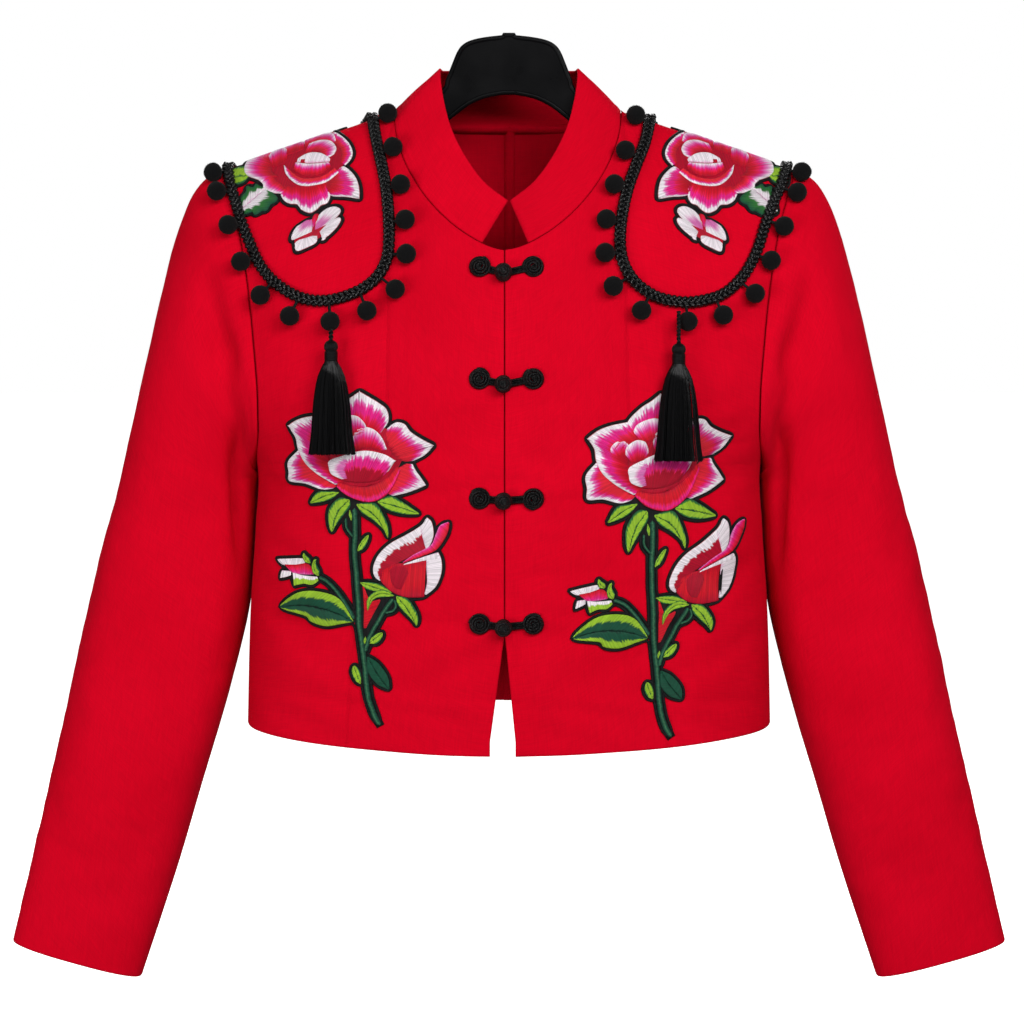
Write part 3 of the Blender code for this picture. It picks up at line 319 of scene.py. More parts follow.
class JacketTrimSettings(bpy.types.PropertyGroup):
    """Sizes and colour of the black trimmings"""

    braid_width: FloatProperty(
        name="Braid width", description="Width of the plaited braid", default=0.0092, unit="LENGTH"
    )
    braid_pitch: FloatProperty(
        name="Plait pitch", description="Length of one turn of a strand", default=0.0126, unit="LENGTH"
    )
    pompom_radius: FloatProperty(
        name="Pompom radius", description="Radius of a felt pompom", default=0.0069, unit="LENGTH"
    )
    fuzz_density: FloatProperty(
        name="Fuzz density", description="Fibres on a square metre of felt", default=1.0e6, min=0
    )
    cord: FloatProperty(
        name="Frog cord", description="Thickness of the cord that the frogs are wound from", default=0.0021,
        unit="LENGTH",
    )
    black: FloatVectorProperty(
        name="Black", description="Colour of the cords", default=(0.0028, 0.0028, 0.0031), size=3,
        subtype="COLOR",
    )
    tassel_threads: IntProperty(
        name="Tassel threads", description="Threads in the skirt of one tassel", default=430, min=12
    )


class JacketEmbroiderySettings(bpy.types.PropertyGroup):
    """Sizes of the embroidery"""

    stitch_pitch: FloatProperty(
        name="Stitch pitch", description="Spacing of the satin stitches", default=0.00062, unit="LENGTH"
    )
    border: FloatProperty(
        name="Border", description="Width of the corded edge of a patch", default=0.0022, unit="LENGTH"
    )


class JacketStageSettings(bpy.types.PropertyGroup):
    """The studio"""

    floor_drop: FloatProperty(
        name="Floor drop", description="How far the floor is below the hanger", default=1.05, unit="LENGTH"
    )
    key_power: FloatProperty(
        name="Key light", description="Power of the soft key light", default=50.0, unit="POWER"
    )


def cloth_settings():
    return bpy.context.scene.jacket_cloth


def trim_settings():
    return bpy.context.scene.jacket_trim


def embroidery_settings():
    return bpy.context.scene.jacket_embroidery


# ---- the form of the body ----
def read_table(table, keys):
    """Read a table at an array of keys, on a smooth curve through its rows; the first column is the key."""
    rows = np.asarray(table, dtype=float)
    knots = rows[:, 0]
    keys = np.clip(np.asarray(keys, dtype=float), knots[0], knots[-1])
    row = np.clip(np.searchsorted(knots, keys, side="right") - 1, 0, len(knots) - 2)
    slopes = np.gradient(rows, knots, axis=0)
    step = (knots[row + 1] - knots[row])[..., None]
    t = (keys - knots[row])[..., None] / step
    start = (2 * t ** 3 - 3 * t ** 2 + 1) * rows[row] + (t ** 3 - 2 * t ** 2 + t) * step * slopes[row]
    end = (3 * t ** 2 - 2 * t ** 3) * rows[row + 1] + (t ** 3 - t ** 2) * step * slopes[row + 1]
    return (start + end)[..., 1:]


def unit(vectors):
    """Vectors of length one, along the last axis of an array."""
    return vectors / np.maximum(np.linalg.norm(vectors, axis=-1, keepdims=True), 1e-12)


def walked_along(points):
    """Distance of each point of a line from its first one."""
    return np.concatenate(((0.0,), np.cumsum(np.linalg.norm(np.diff(points, axis=0), axis=-1))))


def spots_along(points, walked, wanted):
    """Points of a line at the wanted distances, between points whose own distances are walked."""
    return np.stack([np.interp(wanted, walked, points[:, axis]) for axis in range(points.shape[1])], axis=-1)


def smooth_step(value):
    """0 to 1 with soft ends."""
    value = np.clip(value, 0.0, 1.0)
    return value * value * (3 - 2 * value)


def shoulder_drop(x):
    """Drop of the shoulder line, which flattens towards the neck."""
    return NECK_DROP + SHOULDER_SLOPE * (np.hypot(x, NECK_ROUND) - math.hypot(NECK_HALF, NECK_ROUND))


def cloth_depth(x, drop, face):
    """How far the cloth stands from the shoulder plane, in front or behind."""
    section = read_table(SECTIONS, drop)
    across = np.maximum(0.0, 1 - (np.abs(x) / section[..., 0]) ** SECTION_POWER) ** (1 / SECTION_POWER)
    over = np.clip((drop - shoulder_drop(x)) / SHOULDER_ROUND, 0.0, 1.0)
    return section[..., 1 + face] * across * np.sqrt(1 - (1 - over) ** 2)


def form_point(x, drop, face):
    x, drop = np.broadcast_arrays(x, drop)
    depth = cloth_depth(x, drop, face)
    return np.stack((x, -depth if face == FRONT else depth, -drop), axis=-1)


def form_normal(x, drop, face, reach=0.001):
    across = form_point(x + reach, drop, face) - form_point(x - reach, drop, face)
    down = form_point(x, drop + reach, face) - form_point(x, drop - reach, face)
    normal = unit(np.cross(down, across))
    return normal if face == FRONT else -normal


def neck_drop(x, face):
    share = np.clip(np.abs(x) / NECK_HALF, 0.0, 1.0)
    if face == FRONT:
        return NECK_DROP + FRONT_NECK_DIP * (1 - share ** 1.5) ** 0.55
    return NECK_DROP + BACK_NECK_DIP * (1 - share ** 4)


def hem_drop(x, face):
    if face == FRONT:
        return HEM_DROP + HEM_FRONT_DIP * (1 - np.clip(np.abs(x) / HEM_HALF, 0.0, 1.0) ** 1.5)
    return HEM_DROP + 0.0 * x


def edge_half(drop, face):
    """Half width of a panel: at the armhole, or at the side seam below it."""
    half = read_table(SECTIONS, drop)[..., 0]
    armhole = read_table(ARMHOLE, drop)[..., face]
    return np.where(drop < UNDERARM_DROP, armhole, half)


# ---- creases ----
def fold_height(folds, u, v):
    """Height of a table of soft folds at places on the cloth; a fold dies away towards its ends."""
    height = np.zeros(np.broadcast(u, v).shape)
    for start_u, start_v, end_u, end_v, half, lift in folds:
        along_u = (end_u - start_u) * MM
        along_v = (end_v - start_v) * MM
        share = ((u - start_u * MM) * along_u + (v - start_v * MM) * along_v) / (along_u ** 2 + along_v ** 2)
        held = np.clip(share, 0.0, 1.0)
        off = np.hypot(u - start_u * MM - held * along_u, v - start_v * MM - held * along_v)
        fade = smooth_step(held * FOLD_FADE) * smooth_step((1 - held) * FOLD_FADE)
        height += lift * MM * fade * np.exp(-((off / (half * MM)) ** 2))
    return height


def wave_height(u, v):
    height = 0.0
    for across, down, phase, lift in BODY_WAVES:
        turn = 2 * math.pi * (u / (across * MM) + 0.6 * np.sin(2 * math.pi * v / (down * MM) + phase)) + phase
        height = height + lift * MM * np.sin(turn) * np.sin(2 * math.pi * v / (1.7 * down * MM) + phase)
    return height


def crease_height(x, drop, face):
    """How far folds lift the cloth of the body; nothing at the seams, so that panels still meet."""
    fade = smooth_step((edge_half(drop, face) - np.abs(x)) / FADE_SIDE)
    fade = fade * smooth_step((drop - shoulder_drop(x) - FADE_SHOULDER_START) / FADE_SHOULDER)
    neck = np.where(np.abs(x) < NECK_HALF, drop - neck_drop(x, face), 1.0)
    fade = fade * smooth_step(neck / FADE_NECK)
    if face == BACK:
        fade = fade * (1 - CENTRE_SEAM_CALM * np.exp(-((x / CENTRE_SEAM_REACH) ** 2)))
    height = fold_height(BODY_CREASES[face], x, drop) + wave_height(x, drop)
    return height * fade * cloth_settings().crease_strength


def overlap_lift(x, drop, side):
    """The left front lies a little over the right one at the closing."""
    if side != LEFT:
        return 0.0
    opening = closing_shift(drop, LEFT)
    return cloth_settings().overlap_lift * np.exp(-(((x - opening) / OVERLAP_REACH) ** 2))


def cloth_point(x, drop):
    """Points of the creased cloth of a front, and the directions out of it."""
    x, drop = np.broadcast_arrays(np.asarray(x, dtype=float), np.asarray(drop, dtype=float))
    normal = form_normal(x, drop, FRONT)
    height = crease_height(x, drop, FRONT)
    return form_point(x, drop, FRONT) + normal * height[..., None], normal


class ShoulderWalk:
    """Drops reached by walking a distance along the cloth from the shoulder line."""

    START_X = 0.070
    END_X = 0.2084
    COLUMNS = 100
    REACH = 0.180
    ROWS = 361
    STEPS = 420  # steps of the walk, which start short and grow
    FIRST_STEP = 0.00002
    GROWTH = 1.15
    LAST_STEP = 0.0006

    def __init__(self, face):
        self.face = face
        across = np.linspace(self.START_X, self.END_X, self.COLUMNS)
        strides = np.minimum(self.FIRST_STEP * self.GROWTH ** np.arange(self.STEPS), self.LAST_STEP)
        steps = np.concatenate(([0.0], np.cumsum(strides)))
        drops = shoulder_drop(across)[:, None] + steps[None, :]
        points = form_point(across[:, None], drops, face)
        strides = np.linalg.norm(np.diff(points, axis=1), axis=-1)
        walked = np.concatenate((np.zeros((self.COLUMNS, 1)), np.cumsum(strides, axis=1)), axis=1)
        lengths = np.linspace(0.0, self.REACH, self.ROWS)
        self.below = np.array([np.interp(lengths, line, steps) for line in walked])

    def drop(self, x, length):
        """Drop of the cloth at a half width and a distance from the shoulder line."""
        column = (np.clip(x, self.START_X, self.END_X) - self.START_X) / (self.END_X - self.START_X)
        column = column * (self.COLUMNS - 1)
        row = np.clip(length, 0.0, self.REACH) / self.REACH * (self.ROWS - 1)
        c = np.minimum(column.astype(int), self.COLUMNS - 2)
        r = np.minimum(row.astype(int), self.ROWS - 2)
        s = column - c
        t = row - r
        near = self.below[c, r] * (1 - t) + self.below[c, r + 1] * t
        far = self.below[c + 1, r] * (1 - t) + self.below[c + 1, r + 1] * t
        return shoulder_drop(x) + near * (1 - s) + far * s


WALKS = {FRONT: ShoulderWalk(FRONT), BACK: ShoulderWalk(BACK)}


RIDGE_CLEAR = 0.0013  # least drop below the shoulder line at which the form's slope is read
RIDGE_BLEND = 0.020  # how far from the shoulder line the cloth faces partly upward


def drape(x, down):
    """Points of the cloth at distances down from the shoulder line, and the directions out of it."""
    x, down = np.broadcast_arrays(*(np.asarray(value, dtype=float) for value in (x, down)))
    spots = np.zeros(x.shape + (3,))
    normals = np.zeros(x.shape + (3,))
    for face, chosen in ((FRONT, down >= 0), (BACK, down < 0)):
        if not chosen.any():
            continue
        part_x = x[chosen]
        length = np.abs(down[chosen])
        drop = WALKS[face].drop(np.abs(part_x), length)
        ridge = shoulder_drop(part_x)
        normal = form_normal(part_x, np.maximum(drop, ridge + RIDGE_CLEAR), face)
        blend = np.minimum(1.0, length / RIDGE_BLEND)[:, None]
        normal = unit(normal * blend + np.array((0.0, 0.0, 1.0)) * (1 - blend))
        point = form_point(part_x, drop, face)
        spots[chosen] = point + normal * crease_height(part_x, drop, face)[:, None]
        normals[chosen] = normal
    return spots, normals


# ---- meshes ----
def new_object(name, mesh):
    made = bpy.data.objects.new(name, mesh)
    bpy.context.scene.collection.objects.link(made)
    return made


def mesh_object(name, points, faces, material, uvs=None):
    """An object of its own from arrays of points and faces, with a UV for each point where given."""
    mesh = bpy.data.meshes.new(name)
    mesh.from_pydata([tuple(point) for point in np.asarray(points).tolist()], [], faces)
    mesh.validate()
    mesh.shade_smooth()
    if uvs is not None:
        layer = mesh.uv_layers.new(name="UVMap")
        corners = np.zeros(len(mesh.loops), dtype=np.int32)
        mesh.loops.foreach_get("vertex_index", corners)
        layer.data.foreach_set("uv", np.asarray(uvs, dtype=np.float32)[corners].ravel())
    mesh.materials.append(material)
    return new_object(name, mesh)


def grid_faces(rows, columns, closed, start=0, flip=False):
    """Quads of one grid of points, row by row."""
    r, c = np.meshgrid(np.arange(rows - 1), np.arange(columns if closed else columns - 1), indexing="ij")
    a = start + r * columns + c
    b = start + r * columns + (c + 1) % columns
    quads = np.stack((a, b, b + columns, a + columns), axis=-1).reshape(-1, 4)
    return quads[:, ::-1] if flip else quads


def rim_faces(rows, columns, closed, size):
    """Quads that join the borders of an outer grid and of an inner one that follows it."""
    quads = []
    spans = columns if closed else columns - 1
    for r in (0, rows - 1):
        for c in range(spans):
            a = r * columns + c
            b = r * columns + (c + 1) % columns
            quads.append((a, a + size, b + size, b) if r == 0 else (a, b, b + size, a + size))
    if not closed:
        for r in range(rows - 1):
            for c in (0, columns - 1):
                a = r * columns + c
                b = a + columns
                quads.append((a, b, b + size, a + size) if c == 0 else (a, a + size, b + size, b))
    return np.array(quads)


def grid_normals(grid, closed, outward):
    """Unit normals of a grid; outward tells the side at its middle."""
    down = np.empty_like(grid)
    down[1:-1] = grid[2:] - grid[:-2]
    down[0] = grid[1] - grid[0]
    down[-1] = grid[-1] - grid[-2]
    if closed:
        across = np.roll(grid, -1, axis=1) - np.roll(grid, 1, axis=1)
    else:
        across = np.empty_like(grid)
        across[:, 1:-1] = grid[:, 2:] - grid[:, :-2]
        across[:, 0] = grid[:, 1] - grid[:, 0]
        across[:, -1] = grid[:, -1] - grid[:, -2]
    normals = unit(np.cross(down, across))
    middle = normals[grid.shape[0] // 2, grid.shape[1] // 2]
    return -normals if np.dot(middle, outward) < 0 else normals


def grid_uvs(grid):
    """Metres across and down a grid, measured on the cloth."""
    across = np.linalg.norm(np.diff(grid, axis=1), axis=-1)
    across = np.concatenate((np.zeros((grid.shape[0], 1)), np.cumsum(across, axis=1)), axis=1)
    down = np.linalg.norm(np.diff(grid, axis=0), axis=-1)
    down = np.concatenate((np.zeros((1, grid.shape[1])), np.cumsum(down, axis=0)), axis=0)
    down = np.repeat(down.mean(axis=1, keepdims=True), grid.shape[1], axis=1) * 0.5 + down * 0.5
    return np.stack((across, down), axis=-1)


def border_mask(rows, columns, closed):
    mask = np.zeros((rows, columns), dtype=bool)
    mask[0] = mask[-1] = True
    if not closed:
        mask[:, 0] = mask[:, -1] = True
    return mask


def cloth_shell(outer, normals, wall, closed):
    """A thin closed shell of cloth on a grid of outer points, with its cut edges rounded over."""
    rows, columns = outer.shape[:2]
    inner = outer - normals * wall
    edge = border_mask(rows, columns, closed)[..., None]
    rounding = normals * (wall * EDGE_ROUND)
    top = np.where(edge, outer - rounding, outer)
    under = np.where(edge, inner + rounding, inner)
    size = rows * columns
    middle_r, middle_c = rows // 2, columns // 2
    a = outer[middle_r, middle_c]
    b = outer[middle_r, middle_c + 1]
    d = outer[middle_r + 1, middle_c]
    probe = np.cross(b - a, d - a)
    flip = bool(np.dot(probe, normals[middle_r, middle_c]) < 0)
    rim = rim_faces(rows, columns, closed, size)
    faces = [
        grid_faces(rows, columns, closed, 0, flip),
        grid_faces(rows, columns, closed, size, not flip),
        rim[:, ::-1] if flip else rim,
    ]
    uvs = grid_uvs(outer).reshape(-1, 2)
    points = np.concatenate((top.reshape(-1, 3), under.reshape(-1, 3)))
    return points, np.concatenate(faces), np.concatenate((uvs, uvs))


def join_parts(name, parts, material):
    """One object from several sets of points, faces and UVs; points and UVs may be grids."""
    joined = []
    points = []
    uvs = []
    start = 0
    for spots, faces, spot_uvs in parts:
        rows = faces.tolist() if isinstance(faces, np.ndarray) else faces
        joined += [tuple(corner + start for corner in face) for face in rows]
        points.append(spots.reshape(-1, 3))
        uvs.append(spot_uvs.reshape(-1, 2))
        start += len(points[-1])
    return mesh_object(name, np.concatenate(points), joined, material, np.concatenate(uvs))


def with_edges(values, reach):
    """Rising values with one more next to each end, where the cloth starts to round over."""
    values = list(values)
    return np.array([values[0], values[0] + reach] + values[1:-1] + [values[-1] - reach, values[-1]])


def finish_piece(made, slot, *nodes):
    """Hang a piece under the root's empty and hide the frame's parts that it takes the place of."""
    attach(made, "root")
    if nodes:
        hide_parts(*nodes)
    return made


# ---- shader groups ----
def shader_group(name, inputs, outputs):
    """An empty shader group with float or vector or colour sockets; returns it with its two end nodes."""
    group = bpy.data.node_groups.new(name, "ShaderNodeTree")
    for label, kind, default in inputs:
        socket = group.interface.new_socket(name=label, in_out="INPUT", socket_type=kind)
        if default is not None:
            socket.default_value = default
    for label, kind in outputs:
        group.interface.new_socket(name=label, in_out="OUTPUT", socket_type=kind)
    return group, group.nodes.new("NodeGroupInput"), group.nodes.new("NodeGroupOutput")


class Wires:
    """Short ways to add nodes to a tree; values that aren't sockets are set as defaults."""

    def __init__(self, tree):
        self.tree = tree

    def set(self, socket, value):
        if isinstance(value, bpy.types.NodeSocket):
            self.tree.links.new(value, socket)
        elif value is not None:
            socket.default_value = value

    def node(self, kind, inputs=(), **settings):
        node = self.tree.nodes.new(kind)
        for key, value in settings.items():
            setattr(node, key, value)
        for key, value in dict(inputs).items():
            self.set(node.inputs[key], value)
        return node

    def math(self, operation, *values):
        return self.node("ShaderNodeMath", enumerate(values), operation=operation).outputs[0]

    def vector(self, operation, *values):
        node = self.node("ShaderNodeVectorMath", operation=operation)
        for socket, value in zip(node.inputs, values):
            self.set(socket, value)
        return node.outputs["Value" if operation in ("DOT_PRODUCT", "LENGTH") else "Vector"]

    def mix(self, share, first, second, blend="MIX"):
        node = self.tree.nodes.new("ShaderNodeMix")
        node.data_type = "RGBA"
        node.blend_type = blend
        self.set(node.inputs[0], share)
        self.set(node.inputs[6], first)
        self.set(node.inputs[7], second)
        return node.outputs[2]

    def noise(self, vector, scale, detail=2.0, roughness=0.5):
        inputs = {"Vector": vector, "Scale": scale, "Detail": detail, "Roughness": roughness}
        return self.node("ShaderNodeTexNoise", inputs).outputs["Fac"]

    def ramp(self, value, stops):
        node = self.tree.nodes.new("ShaderNodeValToRGB")
        self.set(node.inputs[0], value)
        elements = node.color_ramp.elements
        while len(elements) < len(stops):
            elements.new(1.0)
        for element, (place, colour) in zip(elements, stops):
            element.position = place
            element.color = (*colour, 1.0)
        return node.outputs[0]

    def range(self, value, low, high, to_low=0.0, to_high=1.0):
        inputs = {0: value, 1: low, 2: high, 3: to_low, 4: to_high}
        return self.node("ShaderNodeMapRange", inputs).outputs[0]

    def uv(self):
        return self.node("ShaderNodeUVMap", uv_map="UVMap").outputs[0]

    def place(self):
        return self.node("ShaderNodeTexCoord").outputs["Object"]

    def group(self, group, **inputs):
        node = self.tree.nodes.new("ShaderNodeGroup")
        node.node_tree = group
        for key, value in inputs.items():
            self.set(node.inputs[key.replace("_", " ")], value)
        return node.outputs


def weave_group():
    """Plain weave on a UV in metres: the height of its threads, and a slow unevenness of the yarn."""
    group, start, end = shader_group(
        "plain_weave",
        (("UV", "NodeSocketVector", None), ("Pitch", "NodeSocketFloat", 0.0005)),
        (("Height", "NodeSocketFloat"), ("Slub", "NodeSocketFloat")),
    )
    wires = Wires(group)
    parts = wires.node("ShaderNodeSeparateXYZ", {0: start.outputs["UV"]})
    across = wires.math("DIVIDE", parts.outputs[0], start.outputs["Pitch"])
    down = wires.math("DIVIDE", parts.outputs[1], start.outputs["Pitch"])
    warp = wires.math("SINE", wires.math("MULTIPLY", across, math.pi))
    weft = wires.math("SINE", wires.math("MULTIPLY", down, math.pi))
    height = wires.math("ABSOLUTE", wires.math("MULTIPLY", warp, weft))
    long_warp = wires.vector("MULTIPLY", start.outputs["UV"], (900.0, 60.0, 1.0))
    long_weft = wires.vector("MULTIPLY", start.outputs["UV"], (60.0, 900.0, 1.0))
    slub = wires.math("ADD", wires.noise(long_warp, 1.0), wires.noise(long_weft, 1.0))
    wires.set(end.inputs["Height"], height)
    wires.set(end.inputs["Slub"], wires.math("MULTIPLY", slub, 0.5))
    return group


def mottle_group():
    """Slow lighter and darker patches in Object space, from 0 to 1."""
    group, start, end = shader_group(
        "mottle",
        (
            ("Scale", "NodeSocketFloat", 20.0),
            ("Low", "NodeSocketFloat", 0.3),
            ("High", "NodeSocketFloat", 0.7),
        ),
        (("Mask", "NodeSocketFloat"),),
    )
    wires = Wires(group)
    noise = wires.noise(wires.place(), start.outputs["Scale"], 3.0)
    wires.set(end.inputs["Mask"], wires.range(noise, start.outputs["Low"], start.outputs["High"]))
    return group


def strand_group():
    """Fine threads twisted round a cord, from its stored length and turned direction."""
    group, start, end = shader_group(
        "strands",
        (
            ("Along", "NodeSocketFloat", 0.0),
            ("Turned", "NodeSocketVector", None),
            ("Count", "NodeSocketFloat", 8.0),
            ("Twist", "NodeSocketFloat", 0.004),
        ),
        (("Height", "NodeSocketFloat"), ("Tone", "NodeSocketFloat")),
    )
    wires = Wires(group)
    parts = wires.node("ShaderNodeSeparateXYZ", {0: start.outputs["Turned"]})
    angle = wires.math("ARCTAN2", parts.outputs[1], parts.outputs[0])
    twist = wires.math("DIVIDE", start.outputs["Along"], start.outputs["Twist"])
    turn = wires.math("MULTIPLY", wires.math("ADD", angle, wires.math("MULTIPLY", twist, 2 * math.pi)),
                      start.outputs["Count"])
    height = wires.math("ADD", wires.math("MULTIPLY", wires.math("SINE", turn), 0.5), 0.5)
    tone = wires.noise(wires.node("ShaderNodeCombineXYZ", {0: turn, 1: twist}).outputs[0], 0.35)
    wires.set(end.inputs["Height"], height)
    wires.set(end.inputs["Tone"], tone)
    return group


@functools.cache
def shared(build):
    """A shader group or a geometry tree that is built once."""
    return build()


# ---- materials ----
def new_material(name, build, **values):
    """A material by name, built once: build(wires, shader, **values) wires up its Principled BSDF."""
    made = bpy.data.materials.get(name)
    if made and made.use_nodes and made.get("finish"):
        return made
    made = bpy.data.materials.new(name)
    made["finish"] = name
    made.use_nodes = True
    build(Wires(made.node_tree), made.node_tree.nodes["Principled BSDF"], **values)
    return made


def set_finish(shader, specular, sheen=0.0, sheen_roughness=0.5):
    """Gloss and sheen that are the same all over a material."""
    shader.inputs["Specular IOR Level"].default_value = specular
    shader.inputs["Sheen Weight"].default_value = sheen
    shader.inputs["Sheen Roughness"].default_value = sheen_roughness


def wire_bump(wires, shader, height, distance, strength=1.0):
    bump = wires.node("ShaderNodeBump", {"Height": height, "Distance": distance, "Strength": strength})
    wires.set(shader.inputs["Normal"], bump.outputs["Normal"])


def red_cloth():
    """Matt red cloth with a plain weave and a little nap."""

    def build(wires, shader):
        settings = cloth_settings()
        base = tuple(settings.red)
        weave = wires.group(shared(weave_group), UV=wires.uv(), Pitch=settings.thread_pitch)
        mottle = wires.group(shared(mottle_group), Scale=14.0, Low=0.25, High=0.75)[0]
        deep = tuple(value * 0.93 for value in base)
        pale = (min(1.0, base[0] * 1.04), base[1] + 0.0004, base[2] + 0.002)
        tone = wires.mix(mottle, (*deep, 1.0), (*pale, 1.0))
        slub = wires.range(weave["Slub"], 0.35, 0.65, 0.90, 1.06)
        # Painted shade: the cloth is darker where the weave's threads dip, in the hollows between them; the
        # slub is the yarn's own unevenness.
        grain = wires.range(weave["Height"], 0.0, 1.0, 0.86, 1.05)
        shade = wires.math("MULTIPLY", slub, grain)
        shader.inputs["Sheen Tint"].default_value = (1.0, 0.02, 0.06, 1.0)
        set_finish(shader, 0.025, 0.06)
        wires.set(shader.inputs["Base Color"], wires.mix(1.0, tone, shade, "MULTIPLY"))
        wires.set(shader.inputs["Roughness"], wires.range(weave["Slub"], 0.3, 0.7, 0.78, 0.9))
        wire_bump(wires, shader, weave["Height"], 0.00012, 0.8)

    return new_material("red_cloth", build)


def moulded_plastic():
    """Satin black plastic with a fine moulded grain."""

    def build(wires, shader):
        grain = wires.noise(wires.place(), 1500.0, 2.0)
        smear = wires.group(shared(mottle_group), Scale=38.0, Low=0.3, High=0.7)[0]
        tone = wires.mix(smear, (0.0024, 0.0024, 0.0027, 1.0), (0.0040, 0.0040, 0.0044, 1.0))
        wires.set(shader.inputs["Base Color"], tone)
        wires.set(shader.inputs["Roughness"], wires.range(smear, 0.0, 1.0, 0.26, 0.33))
        set_finish(shader, 0.05)
        wire_bump(wires, shader, grain, 0.00003, 0.6)

    return new_material("moulded_plastic", build)


def cord_material(name, count, twist, sheen, roughness, bump, specular=0.14):
    """Black cord whose threads run round it, with painted shade in the grooves between them."""

    def build(wires, shader):
        base = tuple(trim_settings().black)
        along = wires.node("ShaderNodeAttribute", attribute_name="along").outputs["Fac"]
        turned = wires.node("ShaderNodeAttribute", attribute_name="turned").outputs["Vector"]
        group = shared(strand_group)
        strands = wires.group(group, Along=along, Turned=turned, Count=count, Twist=twist)
        # Painted shade: the cord is darker in the grooves between its twisted threads, where the strands'
        # height is low.
        groove_shade = tuple(value * 0.35 for value in base)
        pale = tuple(value * 2.2 for value in base)
        tone = wires.mix(strands["Height"], (*groove_shade, 1.0), (*base, 1.0))
        light = wires.range(strands["Tone"], 0.45, 0.75)
        wires.set(shader.inputs["Base Color"], wires.mix(light, tone, (*pale, 1.0)))
        rough = wires.range(strands["Tone"], 0.3, 0.7, roughness, roughness - 0.14)
        wires.set(shader.inputs["Roughness"], rough)
        set_finish(shader, specular, sheen, 0.4)
        wire_bump(wires, shader, strands["Height"], bump)

    return new_material(name, build)


def black_felt():
    """Matt black felt of the pompoms."""

    def build(wires, shader):
        fine = wires.noise(wires.place(), 2600.0, 3.0, 0.7)
        slow = wires.noise(wires.place(), 420.0, 2.0)
        light = wires.range(fine, 0.35, 0.7)
        tone = wires.mix(light, (0.0016, 0.0016, 0.0018, 1.0), (0.0056, 0.0056, 0.0060, 1.0))
        wires.set(shader.inputs["Base Color"], tone)
        wires.set(shader.inputs["Roughness"], wires.range(slow, 0.3, 0.7, 0.86, 0.97))
        set_finish(shader, 0.05, 0.03, 0.6)
        wire_bump(wires, shader, fine, 0.00022, 0.9)

    return new_material("black_felt", build)


# ---- the pieces of cloth ----
# narrow strips turned in behind the seams
ALLOWANCE_REACH = 0.0040
ALLOWANCE_GAP = 0.0003
ALLOWANCE_START = 0.0015  # how far a strip runs on past the top of its seam
ALLOWANCE_WALL = 0.0006


def closing_shift(drop, side):
    """Sideways place of a front's edge, from the middle."""
    opening = np.clip((drop - OPENING_DROP) / (HEM_DROP - OPENING_DROP), 0.0, 1.0)
    if side == RIGHT:
        return CLOSING_X - CLOSING_GAP / 2 - OPENING_RIGHT * opening
    return CLOSING_X + CLOSING_GAP / 2 + OPENING_LEFT * opening


def section_x(share, drop, face):
    """Half width at a share of the way from the centre to the side seam or the armhole."""
    half = read_table(SECTIONS, drop)[..., 0]
    edge = np.minimum(1.0, edge_half(drop, face) / half)
    turn = np.where(drop < UNDERARM_DROP, np.arcsin(edge ** (SECTION_POWER / 2)), math.pi / 2)
    return half * np.sin(turn * share ** COLUMN_CROWDING) ** (2 / SECTION_POWER)


def neck_columns(face):
    """Columns of the pattern along the neck of a panel."""
    return len(NECK_STEPS[face]) - 1


def pattern_grid(side, face, column, share_down):
    """Points of a panel at columns of its pattern and shares of the way down; with the raw x and drop."""
    neck = neck_columns(face)
    columns = neck + SHOULDER_STEPS[face]
    column, share_down = np.meshgrid(column, share_down)
    step = np.clip((column - neck) / SHOULDER_STEPS[face], 0.0, 1.0)
    neck_x = np.interp(column, np.arange(neck + 1), NECK_STEPS[face])
    top_x = np.where(column <= neck, neck_x, NECK_HALF + (SHOULDER_HALF - NECK_HALF) * step)
    top_drop = np.where(column <= neck, neck_drop(top_x, face), shoulder_drop(top_x))
    share = column / columns
    bottom = hem_drop(section_x(share, np.full_like(share, HEM_DROP), face), face)
    drop = top_drop + (bottom - top_drop) * share_down
    x = section_x(share, drop, face) + (top_x - section_x(share, top_drop, face)) * (1 - share_down) ** 5
    centre = closing_shift(drop, side) if face == FRONT else side * SEAM_GAP / 2
    placed = side * x + centre * (1 - share) ** 2
    depth = np.maximum(cloth_depth(placed, drop, face), SEAM_GAP / 2)
    points = np.stack((placed, -depth if face == FRONT else depth, -drop), axis=-1)
    return points, placed, drop


def even_shares(face, spans_above, spans_below):
    """Shares down a panel at even distances along the cloth, with a row at the underarm."""
    probe = neck_columns(face) + 0.55 * SHOULDER_STEPS[face]
    shares = []
    for low, high, spans in ((0.0, ARMHOLE_SHARE, spans_above), (ARMHOLE_SHARE, 1.0, spans_below)):
        fine = low + (high - low) * np.linspace(0.0, 1.0, 3000) ** 2
        points, _, _ = pattern_grid(LEFT, face, np.array((probe,)), fine)
        walked = walked_along(points[:, 0])
        shares.append(np.interp(np.linspace(0.0, walked[-1], spans + 1), walked, fine))
    return np.concatenate((shares[0], shares[1][1:]))


def panel_columns(face):
    columns = neck_columns(face) + SHOULDER_STEPS[face]
    values = np.linspace(0.0, columns, columns * COLUMN_SPLIT + 1)
    return with_edges(values, EDGE_REACH / COLUMN_WIDTH)


def panel_rows(face):
    shares = even_shares(face, ARMHOLE_SPANS, SKIRT_SPANS)
    reach = EDGE_REACH / (HEM_DROP - SHOULDER_DROP)
    values = with_edges(shares, reach)
    values[1] = shares[1] * TOP_ROW_SHARE
    return values


def seam_corners(face, shares):
    """Column of a panel's grid where its shoulder starts, and row at the underarm."""
    return neck_columns(face) * COLUMN_SPLIT + 1, int(np.searchsorted(shares, ARMHOLE_SHARE - 1e-9))


